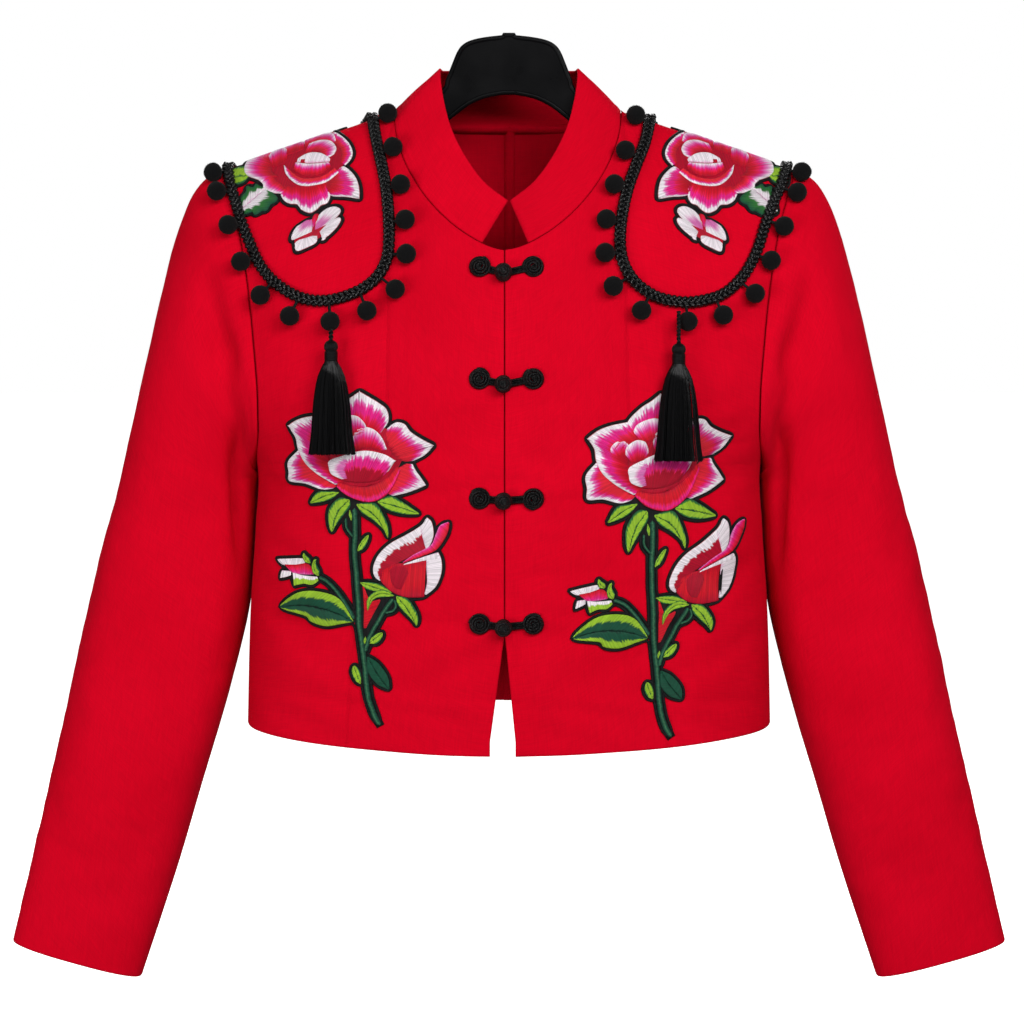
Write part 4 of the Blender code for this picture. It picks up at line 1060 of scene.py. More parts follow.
def seam_normals(normals, face, shares):
    """Wall directions of a panel, turned into the plane of each seam at its edges."""
    normals = normals.copy()
    neck, below = seam_corners(face, shares)
    normals[:, 0, 0] = 0.0
    normals[0, neck:, 1] = 0.0
    normals[below:, -1, 1] = 0.0
    return unit(normals)


def panel_grid(side, face):
    """Creased outer points of a front or a back, and its wall directions."""
    shares = panel_rows(face)
    raw, x, drop = pattern_grid(side, face, panel_columns(face), shares)
    toward = np.array((0.4 * side, -1.0 if face == FRONT else 1.0, 0.0))
    normals = grid_normals(raw, False, toward)
    height = crease_height(x, drop, face)
    if face == FRONT:
        height = height + overlap_lift(x, drop, side)
    creased = raw + normals * height[..., None]
    walls = seam_normals(grid_normals(creased, False, toward), face, shares)
    return creased, walls


def seam_allowances(outer, walls, wall, side, face):
    """Strips turned in behind a panel's seams, which reach a little way behind the next piece."""
    neck, below = seam_corners(face, panel_rows(face))
    rows = slice(2, below + 1)
    seams = [(outer[rows, -1], outer[rows, -4], walls[rows, -1])]  # armhole
    if face == FRONT:
        seams.append((outer[below:, -1], outer[below:, -4], walls[below:, -1]))  # side
        seams.append((outer[0, neck:], outer[5, neck:], walls[0, neck:]))  # shoulder
    else:
        seams.append((outer[0, : neck + 1], outer[5, : neck + 1], walls[0, : neck + 1]))  # back neck
        if side == LEFT:
            seams.append((outer[:, 0], outer[:, 3], walls[:, 0]))  # centre back
    parts = []
    for edge, within, normal in seams:
        out = unit(edge - within)
        edge = np.concatenate((edge[:1] + unit(edge[0] - edge[1]) * ALLOWANCE_START, edge[1:]))
        parts.append(allowance_strip(edge, out, normal, wall))
    return parts


def allowance_strip(edge, out, normal, wall):
    """A strip along a seam's edge, behind the cloth and a little way to each side."""
    behind = edge - normal * (wall + ALLOWANCE_GAP)
    strip = np.stack((behind - out * ALLOWANCE_REACH, behind, behind + out * ALLOWANCE_REACH))
    return cloth_shell(strip, np.stack((normal,) * 3), ALLOWANCE_WALL, False)


def make_panel(side, face):
    outer, walls = panel_grid(side, face)
    name = f"{FACE_NAMES[face]}_{SIDE_NAMES[side]}"
    wall = cloth_settings().wall
    parts = [cloth_shell(outer, walls, wall, False)] + seam_allowances(outer, walls, wall, side, face)
    made = join_parts(f"cloth_{name}", parts, red_cloth())
    finish_piece(made, "red_cloth", name)
    return made


def armhole_half(side, face):
    """Points of the armhole's edge from the shoulder to the underarm, at even distances."""
    columns = neck_columns(face) + SHOULDER_STEPS[face]
    fine = ARMHOLE_SHARE * np.linspace(0.0, 1.0, 2400) ** 2
    edge, _, _ = pattern_grid(side, face, np.array((float(columns),)), fine)
    edge = edge[:, 0]
    walked = walked_along(edge)
    return spots_along(edge, walked, np.linspace(0.0, walked[-1], SLEEVE_COLUMNS + 1))


def signed_power(value, power):
    return np.sign(value) * np.abs(value) ** power


def sleeve_rings(side, keys, turns):
    """Rings of the sleeve at places in its table, from their outer edges round the front."""
    table = [(row, *ring) for row, ring in enumerate(SLEEVE_RINGS)]
    rings = read_table(table, keys)
    outer_x, outer_drop, inner_x, inner_drop, half_depth, back, power = (rings[:, None, k] for k in range(7))
    across = signed_power(np.cos(turns)[None, :], 2 / power)
    depth = signed_power(np.sin(turns)[None, :], 2 / power)
    x = side * ((outer_x + inner_x) / 2 + (outer_x - inner_x) / 2 * across)
    drop = (outer_drop + inner_drop) / 2 + (outer_drop - inner_drop) / 2 * across
    return np.stack((x, back - half_depth * depth, -drop), axis=-1)


def sleeve_loop(side):
    """Points round the armhole, from its top round the front, and their turns round the sleeve."""
    front = armhole_half(side, FRONT)
    back = armhole_half(side, BACK)
    top = (front[0] + back[0]) / 2
    underarm = (front[-1] + back[-1]) / 2
    loop = np.concatenate((top[None], front[1:-1], underarm[None], back[-2:0:-1]))
    loop = loop + np.array((side * SLEEVE_GAP, 0.0, 0.0))
    count = SLEEVE_COLUMNS
    turns = np.concatenate((np.pi * np.arange(count) / count, np.pi * (1 + np.arange(count) / count)))
    return loop, turns


def sleeve_cap(side, loop, turns):
    """Rings of the rounded cap, from the armhole to the first ring of the table."""
    ring, below = sleeve_rings(side, np.array((0.0, 1.0)), turns)
    droop = ((1 - np.cos(turns)) / 2) ** 3
    fall = droop + CAP_FALL * np.maximum(0.0, np.cos(turns))
    out = unit(np.stack((side * (1 - CAP_DROOP * droop), -CAP_SPREAD * np.sin(turns), -fall), axis=-1))
    start_handle = loop + out * (CAP_PUFF + CAP_PUFF_TOP * np.cos(turns))[:, None]
    reach = np.linalg.norm(ring - loop, axis=-1) * (CAP_REACH + CAP_REACH_TOP * np.cos(turns))
    end_handle = ring + unit(ring - below) * reach[:, None]
    t = np.linspace(0.0, 1.0, CAP_SPANS + 1)[:-1] ** CAP_CROWDING
    t = np.concatenate(((0.0, CAP_EDGE_SHARE), t[1:]))[:, None, None]
    cap = loop * (1 - t) ** 3 + start_handle * 3 * t * (1 - t) ** 2
    return cap + end_handle * 3 * t ** 2 * (1 - t) + ring * t ** 3


def sleeve_folds(side, grid, turns):
    """How far folds and the press against the body lift the cloth of a sleeve."""
    length = np.linalg.norm(np.diff(grid, axis=0), axis=-1).mean(axis=1)
    along = np.concatenate(((0.0,), np.cumsum(length)))[:, None]
    radius = (np.linalg.norm(np.diff(grid, axis=1), axis=-1).sum(axis=1) / (2 * np.pi))[:, None]
    around = np.where(turns <= np.pi, turns, turns - 2 * np.pi)[None, :]
    spot = around * SLEEVE_RADIUS
    height = fold_height(SLEEVE_CREASES, spot + 0 * along, along + 0 * spot)
    height = height + SLEEVE_WAVE * wave_height(spot + SLEEVE_WAVE_SHIFT * side, along + 0 * spot)
    hem = smooth_step((along - along.max() + SLEEVE_HEM_FADE) / SLEEVE_HEM_FADE)
    fade = smooth_step((along - SLEEVE_FADE_START) / SLEEVE_FADE) * (1 - SLEEVE_HEM_CALM * hem)
    fade = fade * smooth_step((np.pi - np.abs(around)) * radius / SLEEVE_SEAM_FADE)
    height = height * fade * cloth_settings().crease_strength
    level = ((-grid[..., 2] - PRESS_DROP) / PRESS_LENGTH) ** 2
    near = np.exp(-level - ((np.pi - np.abs(around)) / PRESS_TURN) ** 2)
    return height + PRESS_HEIGHT * near


def sleeve_grid(side):
    """Creased outer points of a sleeve, ring by ring from the armhole."""
    loop, turns = sleeve_loop(side)
    keys = np.linspace(0.0, len(SLEEVE_RINGS) - 1.0, 4000)
    walked = walked_along(sleeve_rings(side, keys, np.array((0.5 * np.pi,)))[:, 0])
    even = np.linspace(0.0, walked[-1], SLEEVE_SPANS + 1)
    even = np.concatenate((even[:-1], (even[-1] - EDGE_REACH, even[-1])))
    rings = sleeve_rings(side, np.interp(even, walked, keys), turns)
    grid = np.concatenate((sleeve_cap(side, loop, turns), rings))
    outward = np.array((-side * 1.0, 0.0, 0.0))
    normals = grid_normals(grid, True, outward)
    creased = grid + normals * sleeve_folds(side, grid, turns)[..., None]
    walls = grid_normals(creased, True, outward)
    walls[0, :, 0] = side * np.minimum(0.0, walls[0, :, 0] * side)
    walls[0] = unit(walls[0])
    return creased, walls


def make_sleeve(side):
    outer, walls = sleeve_grid(side)
    name = f"sleeve_{SIDE_NAMES[side]}"
    shell = cloth_shell(outer, walls, cloth_settings().wall, True)
    made = join_parts(f"cloth_{name}", [shell], red_cloth())
    finish_piece(made, "red_cloth", name)
    return made


def neck_half(side):
    """Points of the neck seam on one side, from the front end of the collar to the centre back."""
    front_last = neck_columns(FRONT)
    steps = front_last - 1 + neck_columns(BACK)
    keys = np.linspace(0.0, steps, steps * COLLAR_SPLIT + 1)
    points = np.zeros((len(keys), 3))
    walls = np.zeros((len(keys), 3))
    for face, chosen, column in (
        (FRONT, keys <= front_last - 1, keys + 1),
        (BACK, keys > front_last - 1, steps - keys),
    ):
        spots, _, _ = pattern_grid(side, face, column[chosen], np.array((0.0, NECK_PROBE)))
        points[chosen] = spots[0]
        across = np.gradient(spots[0], axis=0)
        normal = unit(np.cross(spots[1] - spots[0], across))
        toward = np.array((0.3 * side, -1.0 if face == FRONT else 1.0, 0.3))
        normal = np.where((normal @ toward)[:, None] < 0, -normal, normal)
        walls[chosen] = normal
    blend = np.exp(-(((keys - (front_last - 1)) / COLLAR_CORNER_REACH) ** 2))[:, None]
    corner = unit(np.array((0.35 * side, 0.0, 1.0)))
    walls = unit(walls * (1 - blend) + corner * blend)
    return keys, points, walls


def collar_grid():
    """Outer points of the collar from the seam to its top edge, from the right end round to the left."""
    halves = []
    for side in (RIGHT, LEFT):
        keys, points, walls = neck_half(side)
        table = [(row, *values) for row, values in enumerate(COLLAR_TOP)]
        top = read_table(table, keys)
        tops = np.stack((side * top[:, 0], top[:, 1], -top[:, 2]), axis=-1)
        halves.append((points, walls, tops))
    (right, right_walls, right_tops), (left, left_walls, left_tops) = halves
    middle = (right[-1] + left[-1]) / 2
    base = np.concatenate((right[:-1], middle[None], left[-2::-1]))
    walls = np.concatenate((right_walls, left_walls[-2::-1]))
    tops = np.concatenate((right_tops, left_tops[-2::-1]))
    rise = unit(tops - base)
    bottoms = base + rise * COLLAR_GAP
    share = with_edges(np.linspace(0.0, 1.0, COLLAR_SPANS + 1), COLLAR_EDGE_SHARE)[:, None, None]
    grid = bottoms * (1 - share) + tops * share
    normals = grid_normals(grid, False, np.array((0.0, 1.0, 0.0)))
    roll = np.sin(np.pi * np.clip(share / COLLAR_ROLL_SHARE, 0, 1))
    bow = COLLAR_BOW * np.sin(np.pi * share) + COLLAR_ROLL * roll
    around = walked_along(base)
    around = (around - around[-1] / 2)[None, :]
    up = share[..., 0] * COLLAR_HEIGHT
    folds = fold_height(COLLAR_CREASES, around + 0 * up, up + 0 * around)
    grid = grid + normals * (bow + folds[..., None])
    walls_all = grid_normals(grid, False, np.array((0.0, 1.0, 0.0)))
    seam = np.clip(share / COLLAR_SEAM_SHARE, 0, 1)
    walls_all = unit(walls[None] * (1 - seam) + walls_all * seam)
    walls_all[:, (0, -1), 0] = 0.0
    return grid, unit(walls_all)


def make_collar():
    outer, walls = collar_grid()
    settings = cloth_settings()
    parts = [cloth_shell(outer, walls, settings.collar_wall, False)]
    reach = (neck_columns(FRONT) - 1) * COLLAR_SPLIT
    wall = max(settings.collar_wall, settings.wall)
    for columns in (slice(2, reach), slice(-reach, -2)):  # the front of the neck seam, right and left
        up = unit(outer[3, columns] - outer[0, columns])
        parts.append(allowance_strip(outer[0, columns], up, walls[0, columns], wall))
    made = join_parts("cloth_collar", parts, red_cloth())
    finish_piece(made, "red_cloth", "collar")
    return made


# ---- hanger ----
HANGER_OUTLINE = (
    # half width, top drop, bottom drop
    (0.0000, 0.0000, 0.0446),
    (0.0042, 0.0000, 0.0447),
    (0.0052, 0.0017, 0.0448),
    (0.0180, 0.0032, 0.0474),
    (0.0280, 0.0055, 0.0518),
    (0.0340, 0.0089, 0.0558),
    (0.0378, 0.0140, 0.0588),
    (0.0412, 0.0220, 0.0614),
    (0.0440, 0.0290, 0.0637),
    (0.0462, 0.0340, 0.0654),
    (0.0475, 0.0390, 0.0664),
    (0.0550, 0.0470, 0.0718),
    (0.0680, 0.0580, 0.0805),
    (0.0760, 0.0650, 0.0850),
    (0.0860, 0.0672, 0.0900),
)
HANGER_ARM_CLEAR = 0.0036  # how far the arms lie under the shoulder line
HANGER_SPLIT = 7  # points of the outline for each row above
HANGER_LEAST_STEP = 0.0004
HANGER_ARMS = ((0.1150, 0.0330), (0.1500, 0.0300), (0.1800, 0.0260), (0.1870, 0.0180))
HANGER_SECTION = (
    # how far in from the outline, how far forward, as a moulded rim round a sunk face
    (0.0000, 0.0000),
    (0.0000, 0.0044),
    (0.0006, 0.0055),
    (0.0014, 0.0060),
    (0.0024, 0.0060),
    (0.0030, 0.0056),
    (0.0034, 0.0050),
)


def hanger_outline():
    """Points of the whole outline in the front plane, anticlockwise from the boss, smoothly curved."""
    stations = list(HANGER_OUTLINE)
    stations += [
        (x, float(shoulder_drop(x)) + HANGER_ARM_CLEAR, float(shoulder_drop(x)) + HANGER_ARM_CLEAR + height)
        for x, height in HANGER_ARMS
    ]
    tops = [Vector((x, -top, 0.0)) for x, top, _ in stations]
    bottoms = [Vector((x, -bottom, 0.0)) for x, _, bottom in stations]
    count = len(stations) * HANGER_SPLIT
    upper = smooth_route(tops[2:], count, False)
    lower = smooth_route([Vector((-bottoms[1].x, bottoms[1].y, 0.0))] + bottoms[1:], count, False)
    lower = [point for point in lower if point.x >= 0.0]
    right = [tops[0], tops[1], tops[1].lerp(tops[2], 0.5)] + upper + lower[::-1]
    mirrored = [Vector((-point.x, point.y, 0.0)) for point in right[::-1]]
    whole = right + mirrored[:-1]
    outline = [whole[0]]
    for point in whole[1:]:
        if (point - outline[-1]).length > HANGER_LEAST_STEP:
            outline.append(point)
    return outline


def smooth_route(points, count, closed):
    """Evenly counted points on a smooth curve through a list of points."""
    total = len(points)
    spans = total if closed else total - 1
    route = []
    for step in range(count):
        place = spans * step / (count if closed else count - 1)
        k = min(int(place), spans - 1)
        t = place - k
        picks = [k - 1, k, k + 1, k + 2]
        if closed:
            a, b, c, d = (points[i % total] for i in picks)
        else:
            a, b, c, d = (points[min(max(i, 0), total - 1)] for i in picks)
        bend = (2 * a - 5 * b + 4 * c - d) * t ** 2 + (3 * b - a - 3 * c + d) * t ** 3
        route.append(b + ((c - a) * t + bend) / 2)
    return route


ROUTE_SPLIT = 24  # fine points of a route for each point that is given


def even_route(points, count, closed=False):
    """Points at even distances on a smooth curve through a few points, as an array."""
    points = [Vector(point) for point in points]
    line = np.array(smooth_route(points, ROUTE_SPLIT * len(points), closed))
    if closed:
        line = np.concatenate((line, line[:1]))
    walked = walked_along(line)
    wanted = np.linspace(0.0, walked[-1], count + 1)[:-1] if closed else np.linspace(0.0, walked[-1], count)
    return spots_along(line, walked, wanted)


def inset_outline(outline, distance):
    """A closed outline moved in by a distance, with corners eased."""
    points = np.array([(point[0], point[1]) for point in outline])
    ahead = unit(np.roll(points, -1, axis=0) - np.roll(points, 1, axis=0))
    inward = np.stack((ahead[:, 1], -ahead[:, 0]), axis=-1)
    return points + inward * distance


def make_hanger():
    """The moulded hanger: a flat bar with a raised rim round each face."""
    outline = hanger_outline()
    flat = np.array([(point.x, point.y) for point in outline])
    area = 0.5 * np.sum(flat[:, 0] * np.roll(flat[:, 1], -1) - np.roll(flat[:, 0], -1) * flat[:, 1])
    if area > 0:
        outline = outline[::-1]
    shape = bmesh.new()
    rings = []
    for inset, forward in HANGER_SECTION:
        ring = inset_outline(outline, inset)
        rings.append([shape.verts.new((x, -forward, z)) for x, z in ring])
    back_rings = [rings[0]]
    for inset, forward in HANGER_SECTION[1:]:
        ring = inset_outline(outline, inset)
        back_rings.append([shape.verts.new((x, forward, z)) for x, z in ring])
    for stack in (rings, back_rings):
        for low, high in zip(stack, stack[1:]):
            for k in range(len(low)):
                n = (k + 1) % len(low)
                shape.faces.new((low[k], low[n], high[n], high[k]))
    for stack in (rings, back_rings):
        last = stack[-1]
        edges = [shape.edges.get((last[k], last[(k + 1) % len(last)])) for k in range(len(last))]
        bmesh.ops.triangle_fill(shape, edges=edges, use_beauty=True)
    bmesh.ops.recalc_face_normals(shape, faces=shape.faces)
    mesh = bpy.data.meshes.new("hanger_moulding")
    shape.to_mesh(mesh)
    shape.free()
    mesh.shade_smooth()
    mesh.set_sharp_from_angle(angle=math.radians(38))
    mesh.materials.append(moulded_plastic())
    made = new_object("hanger_moulding", mesh)
    finish_piece(made, "black_plastic", "hanger")
    return made


# ---- trees of nodes for what follows a path or covers a surface ----
def geometry_tree(name, inputs):
    """An empty geometry tree with named inputs and one geometry in and out."""
    tree = bpy.data.node_groups.new(name, "GeometryNodeTree")
    tree.interface.new_socket(name="Geometry", in_out="INPUT", socket_type="NodeSocketGeometry")
    for label, kind in inputs:
        tree.interface.new_socket(name=label, in_out="INPUT", socket_type=kind)
    tree.interface.new_socket(name="Geometry", in_out="OUTPUT", socket_type="NodeSocketGeometry")
    return Wires(tree), tree.nodes.new("NodeGroupInput"), tree.nodes.new("NodeGroupOutput")


def named(wires, name, kind):
    """A stored attribute of the geometry."""
    node = wires.node("GeometryNodeInputNamedAttribute", {"Name": name}, data_type=kind)
    return node.outputs["Attribute"]


def scaled(wires, vector, factor):
    """A vector times a number."""
    node = wires.node("ShaderNodeVectorMath", {0: vector, "Scale": factor}, operation="SCALE")
    return node.outputs[0]


def stored(wires, geometry, name, kind, value):
    """The geometry with a value stored on its points."""
    node = wires.node("GeometryNodeStoreNamedAttribute", data_type=kind, domain="POINT")
    wires.set(node.inputs["Geometry"], geometry)
    wires.set(node.inputs["Name"], name)
    wires.set(node.inputs["Value"], value)
    return node.outputs["Geometry"]


def round_profile(wires, sides):
    """A unit circle that keeps the direction of each of its points."""
    size = {"Resolution": sides, "Radius": 1.0}
    circle = wires.node("GeometryNodeCurvePrimitiveCircle", size, mode="RADIUS")
    place = wires.node("GeometryNodeInputPosition").outputs[0]
    return stored(wires, circle.outputs["Curve"], "turned", "FLOAT_VECTOR", place)


def finish_tree(wires, geometry, material, end):
    smooth = wires.node("GeometryNodeSetShadeSmooth", {"Geometry": geometry}).outputs[0]
    real = wires.node("GeometryNodeRealizeInstances", {"Geometry": smooth}).outputs[0]
    painted = wires.node("GeometryNodeSetMaterial", {"Geometry": real, "Material": material}).outputs[0]
    wires.set(end.inputs[0], painted)


def cord_tree():
    """Round cords along the edges of a mesh, as thick at each point as it says."""
    wires, start, end = geometry_tree(
        "cords_on_paths", (("Sides", "NodeSocketInt"), ("Material", "NodeSocketMaterial"))
    )
    curve = wires.node("GeometryNodeMeshToCurve", {"Mesh": start.outputs["Geometry"]}).outputs[0]
    length = wires.node("GeometryNodeSplineParameter").outputs["Length"]
    curve = stored(wires, curve, "along", "FLOAT", length)
    tube = wires.node(
        "GeometryNodeCurveToMesh",
        {
            "Curve": curve,
            "Profile Curve": round_profile(wires, start.outputs["Sides"]),
            "Scale": named(wires, "thickness", "FLOAT"),
            "Fill Caps": True,
        },
    )
    finish_tree(wires, tube.outputs[0], start.outputs["Material"], end)
    return wires.tree


def plait_tree():
    """A flat plait along a closed path: strands that cross from side to side, over and under."""
    wires, start, end = geometry_tree(
        "plait_on_path",
        (
            ("Points", "NodeSocketInt"),
            ("Sides", "NodeSocketInt"),
            ("Reach", "NodeSocketFloat"),
            ("Rise", "NodeSocketFloat"),
            ("Strand", "NodeSocketFloat"),
            ("Pitch", "NodeSocketFloat"),
            ("Material", "NodeSocketMaterial"),
        ),
    )
    curve = wires.node("GeometryNodeMeshToCurve", {"Mesh": start.outputs["Geometry"]}).outputs[0]
    evenly = {"Curve": curve, "Count": start.outputs["Points"]}
    curve = wires.node("GeometryNodeResampleCurve", evenly, mode="COUNT").outputs[0]
    length = wires.node("GeometryNodeSplineParameter").outputs["Length"]
    curve = stored(wires, curve, "along", "FLOAT", length)
    along = named(wires, "along", "FLOAT")
    turn = wires.math("MULTIPLY", wires.math("DIVIDE", along, start.outputs["Pitch"]), 2 * math.pi)
    join = wires.node("GeometryNodeJoinGeometry")
    for strand in range(PLAIT_STRANDS):
        phase = wires.math("ADD", turn, 2 * math.pi * strand / PLAIT_STRANDS)
        swing = wires.math("MULTIPLY", wires.math("SINE", phase), start.outputs["Reach"])
        over = wires.math("SINE", wires.math("MULTIPLY", phase, float(PLAIT_STRANDS - 1)))
        double = wires.math("SINE", wires.math("MULTIPLY", phase, 2.0))
        ridges = wires.math("MULTIPLY", double, double)
        over = wires.math("MULTIPLY", over, PLAIT_OVER_SHARE)
        ridges = wires.math("MULTIPLY", ridges, PLAIT_RIDGE_SHARE)
        lift = wires.math("MULTIPLY", wires.math("ADD", over, ridges), start.outputs["Rise"])
        aside = scaled(wires, named(wires, "out", "FLOAT_VECTOR"), swing)
        above = scaled(wires, named(wires, "up", "FLOAT_VECTOR"), lift)
        offset = wires.vector("ADD", aside, above)
        moved = wires.node("GeometryNodeSetPosition", {"Geometry": curve, "Offset": offset}).outputs[0]
        tube = wires.node(
            "GeometryNodeCurveToMesh",
            {
                "Curve": moved,
                "Profile Curve": round_profile(wires, start.outputs["Sides"]),
                "Scale": start.outputs["Strand"],
            },
        )
        wires.tree.links.new(tube.outputs[0], join.inputs[0])
    finish_tree(wires, join.outputs[0], start.outputs["Material"], end)
    return wires.tree


def fuzz_tree():
    """Short fibres that stand on a surface, with the surface itself."""
    wires, start, end = geometry_tree(
        "fuzz_on_surface",
        (
            ("Density", "NodeSocketFloat"),
            ("Length", "NodeSocketFloat"),
            ("Thickness", "NodeSocketFloat"),
            ("Seed", "NodeSocketInt"),
            ("Material", "NodeSocketMaterial"),
        ),
    )
    given = start.outputs
    spots = wires.node(
        "GeometryNodeDistributePointsOnFaces",
        {"Mesh": given["Geometry"], "Density": given["Density"], "Seed": given["Seed"]},
        distribute_method="RANDOM",
    )
    fibre = wires.node(
        "GeometryNodeMeshCone",
        {"Vertices": 3, "Radius Top": 0.0, "Radius Bottom": given["Thickness"], "Depth": given["Length"]},
        fill_type="TRIANGLE_FAN",
    )
    stray = wires.node("FunctionNodeRandomValue", data_type="FLOAT_VECTOR")
    wires.set(stray.inputs[0], (-FUZZ_LEAN,) * 3)
    wires.set(stray.inputs[1], (FUZZ_LEAN,) * 3)
    wires.set(stray.inputs["Seed"], start.outputs["Seed"])
    lean = wires.vector("ADD", spots.outputs["Normal"], stray.outputs[0])
    turn = wires.node("FunctionNodeAlignRotationToVector", {"Vector": lean}, axis="Z")
    size = wires.node("FunctionNodeRandomValue", data_type="FLOAT")
    wires.set(size.inputs[2], FUZZ_SIZES[0])
    wires.set(size.inputs[3], FUZZ_SIZES[1])
    wires.set(size.inputs["Seed"], start.outputs["Seed"])
    grown = wires.node(
        "GeometryNodeInstanceOnPoints",
        {"Points": spots.outputs["Points"], "Instance": fibre.outputs["Mesh"], "Rotation": turn.outputs[0],
         "Scale": size.outputs[1]},
    )
    join = wires.node("GeometryNodeJoinGeometry")
    wires.tree.links.new(start.outputs["Geometry"], join.inputs[0])
    wires.tree.links.new(grown.outputs[0], join.inputs[0])
    finish_tree(wires, join.outputs[0], start.outputs["Material"], end)
    return wires.tree


def grow(name, base, tree, **values):
    """Run a tree on a mesh, keep the result as a plain mesh and return its object."""
    source = new_object(name, base)
    modifier = source.modifiers.new("grow", "NODES")
    modifier.node_group = tree
    for item in tree.interface.items_tree:
        if item.in_out == "INPUT" and item.name.replace(" ", "_") in values:
            modifier[item.identifier] = values[item.name.replace(" ", "_")]
    graph = bpy.context.evaluated_depsgraph_get()
    mesh = bpy.data.meshes.new_from_object(
        source.evaluated_get(graph), preserve_all_data_layers=True, depsgraph=graph
    )
    source.modifiers.clear()
    source.data = mesh
    mesh.name = name
    if not mesh.vertices:
        raise RuntimeError(f"{name}: the tree made nothing")
    return source


def path_mesh(name, paths, extra=None):
    """A mesh of edges along paths, each (points, closed, thickness, as a number or one for each point)."""
    points = []
    edges = []
    sizes = []
    for path, closed, size in paths:
        start = len(points)
        count = len(path)
        points += [tuple(point) for point in np.asarray(path).tolist()]
        edges += [(start + k, start + k + 1) for k in range(count - 1)]
        if closed:
            edges.append((start + count - 1, start))
        sizes += list(np.broadcast_to(np.asarray(size, dtype=float), (count,)))
    mesh = bpy.data.meshes.new(name)
    mesh.from_pydata(points, edges, [])
    layer = mesh.attributes.new("thickness", "FLOAT", "POINT")
    layer.data.foreach_set("value", np.array(sizes, dtype=np.float32))
    for key, values in (extra or {}).items():
        layer = mesh.attributes.new(key, "FLOAT_VECTOR", "POINT")
        layer.data.foreach_set("vector", np.asarray(values, dtype=np.float32).ravel())
    return mesh


def grow_cords(name, paths, sides, material):
    return grow(name, path_mesh(name, paths), shared(cord_tree), Sides=sides, Material=material)


# ---- braid and pompoms ----
BRAID_ROUTE = {
    # half width and down, in millimetres, from the neck end round the front
    RIGHT: (
        (100, 1), (95, 32), (89, 65), (86, 90), (85, 114), (87, 131), (94, 141), (106, 146), (123, 146),
        (139, 141), (154, 130), (168, 114), (178, 97), (186, 76), (192, 58), (198, 36), (203, 16), (205, 1),
    ),
    LEFT: (
        (103, 1), (98, 30), (91, 54), (85, 75), (81, 95), (79, 114), (80, 129), (85, 141), (94, 148),
        (107, 151), (124, 148), (140, 140), (154, 129), (167, 111), (177, 88), (184, 64), (191, 42),
        (198, 21), (203, 1),
    ),
}
BRAID_BACK = ((201, -17), (189, -30), (170, -35), (150, -36), (130, -34), (112, -27), (103, -14))
BRAID_POINTS = 460
BRAID_LIFT = 0.0021  # middle of the plait over the cloth
BRAID_RIDGE_LIFT = 0.0008
PLAIT_STRANDS = 3
PLAIT_STRAND = 0.00155
PLAIT_RISE = 0.0014
PLAIT_OVER_SHARE = 0.80  # shares of the rise: over and under the other strands, and along the edges
PLAIT_RIDGE_SHARE = 0.30
PLAIT_SIDES = 9
POMPOM_COUNT = 14
POMPOM_LEVEL = 4
POMPOM_DIMPLE = 0.035
POMPOM_BUMPS = 7
POMPOM_BUMP_NARROWNESS = 8
FUZZ_LENGTH = 0.0009
FUZZ_THICKNESS = 0.00009
FUZZ_SEED = 7
FUZZ_LEAN = 0.75
FUZZ_SIZES = (0.45, 1.15)
STUB_PLACES = (0.15, 0.5, 0.85)  # shares of the way from the braid to a ball
STUB_RADIUS = 0.0011


def braid_path(side):
    """Points, upward and outward directions along the closed route of a braid."""
    route = [(x * MM, down * MM, 0.0) for x, down in BRAID_ROUTE[side] + BRAID_BACK]
    flat = even_route(route, BRAID_POINTS, True)
    spots, normals = drape(side * flat[:, 0], flat[:, 1])
    lift = BRAID_LIFT + BRAID_RIDGE_LIFT * np.maximum(0.0, normals[:, 2]) ** 2
    spots = spots + normals * lift[:, None]
    ahead = np.roll(spots, -1, axis=0) - np.roll(spots, 1, axis=0)
    out = unit(np.cross(ahead, normals)) * side
    return spots, normals, out


def make_braid(side):
    """The plaited braid, closed behind the shoulder."""
    settings = trim_settings()
    spots, normals, out = braid_path(side)
    total = np.linalg.norm(np.roll(spots, -1, axis=0) - spots, axis=-1).sum()
    name = f"braid_{SIDE_NAMES[side]}"
    base = path_mesh(f"plait_{SIDE_NAMES[side]}", [(spots, True, 1.0)], {"up": normals, "out": out})
    made = grow(
        f"plait_{SIDE_NAMES[side]}", base, shared(plait_tree),
        Points=BRAID_POINTS, Sides=PLAIT_SIDES,
        Reach=settings.braid_width / 2 - PLAIT_STRAND, Rise=PLAIT_RISE, Strand=PLAIT_STRAND,
        Pitch=total / round(total / settings.braid_pitch),
        Material=cord_material("plaited_thread", 4.0, 0.0045, 0.0, 0.34, 0.00030, 0.24),
    )
    return finish_piece(made, "black_cord", name)


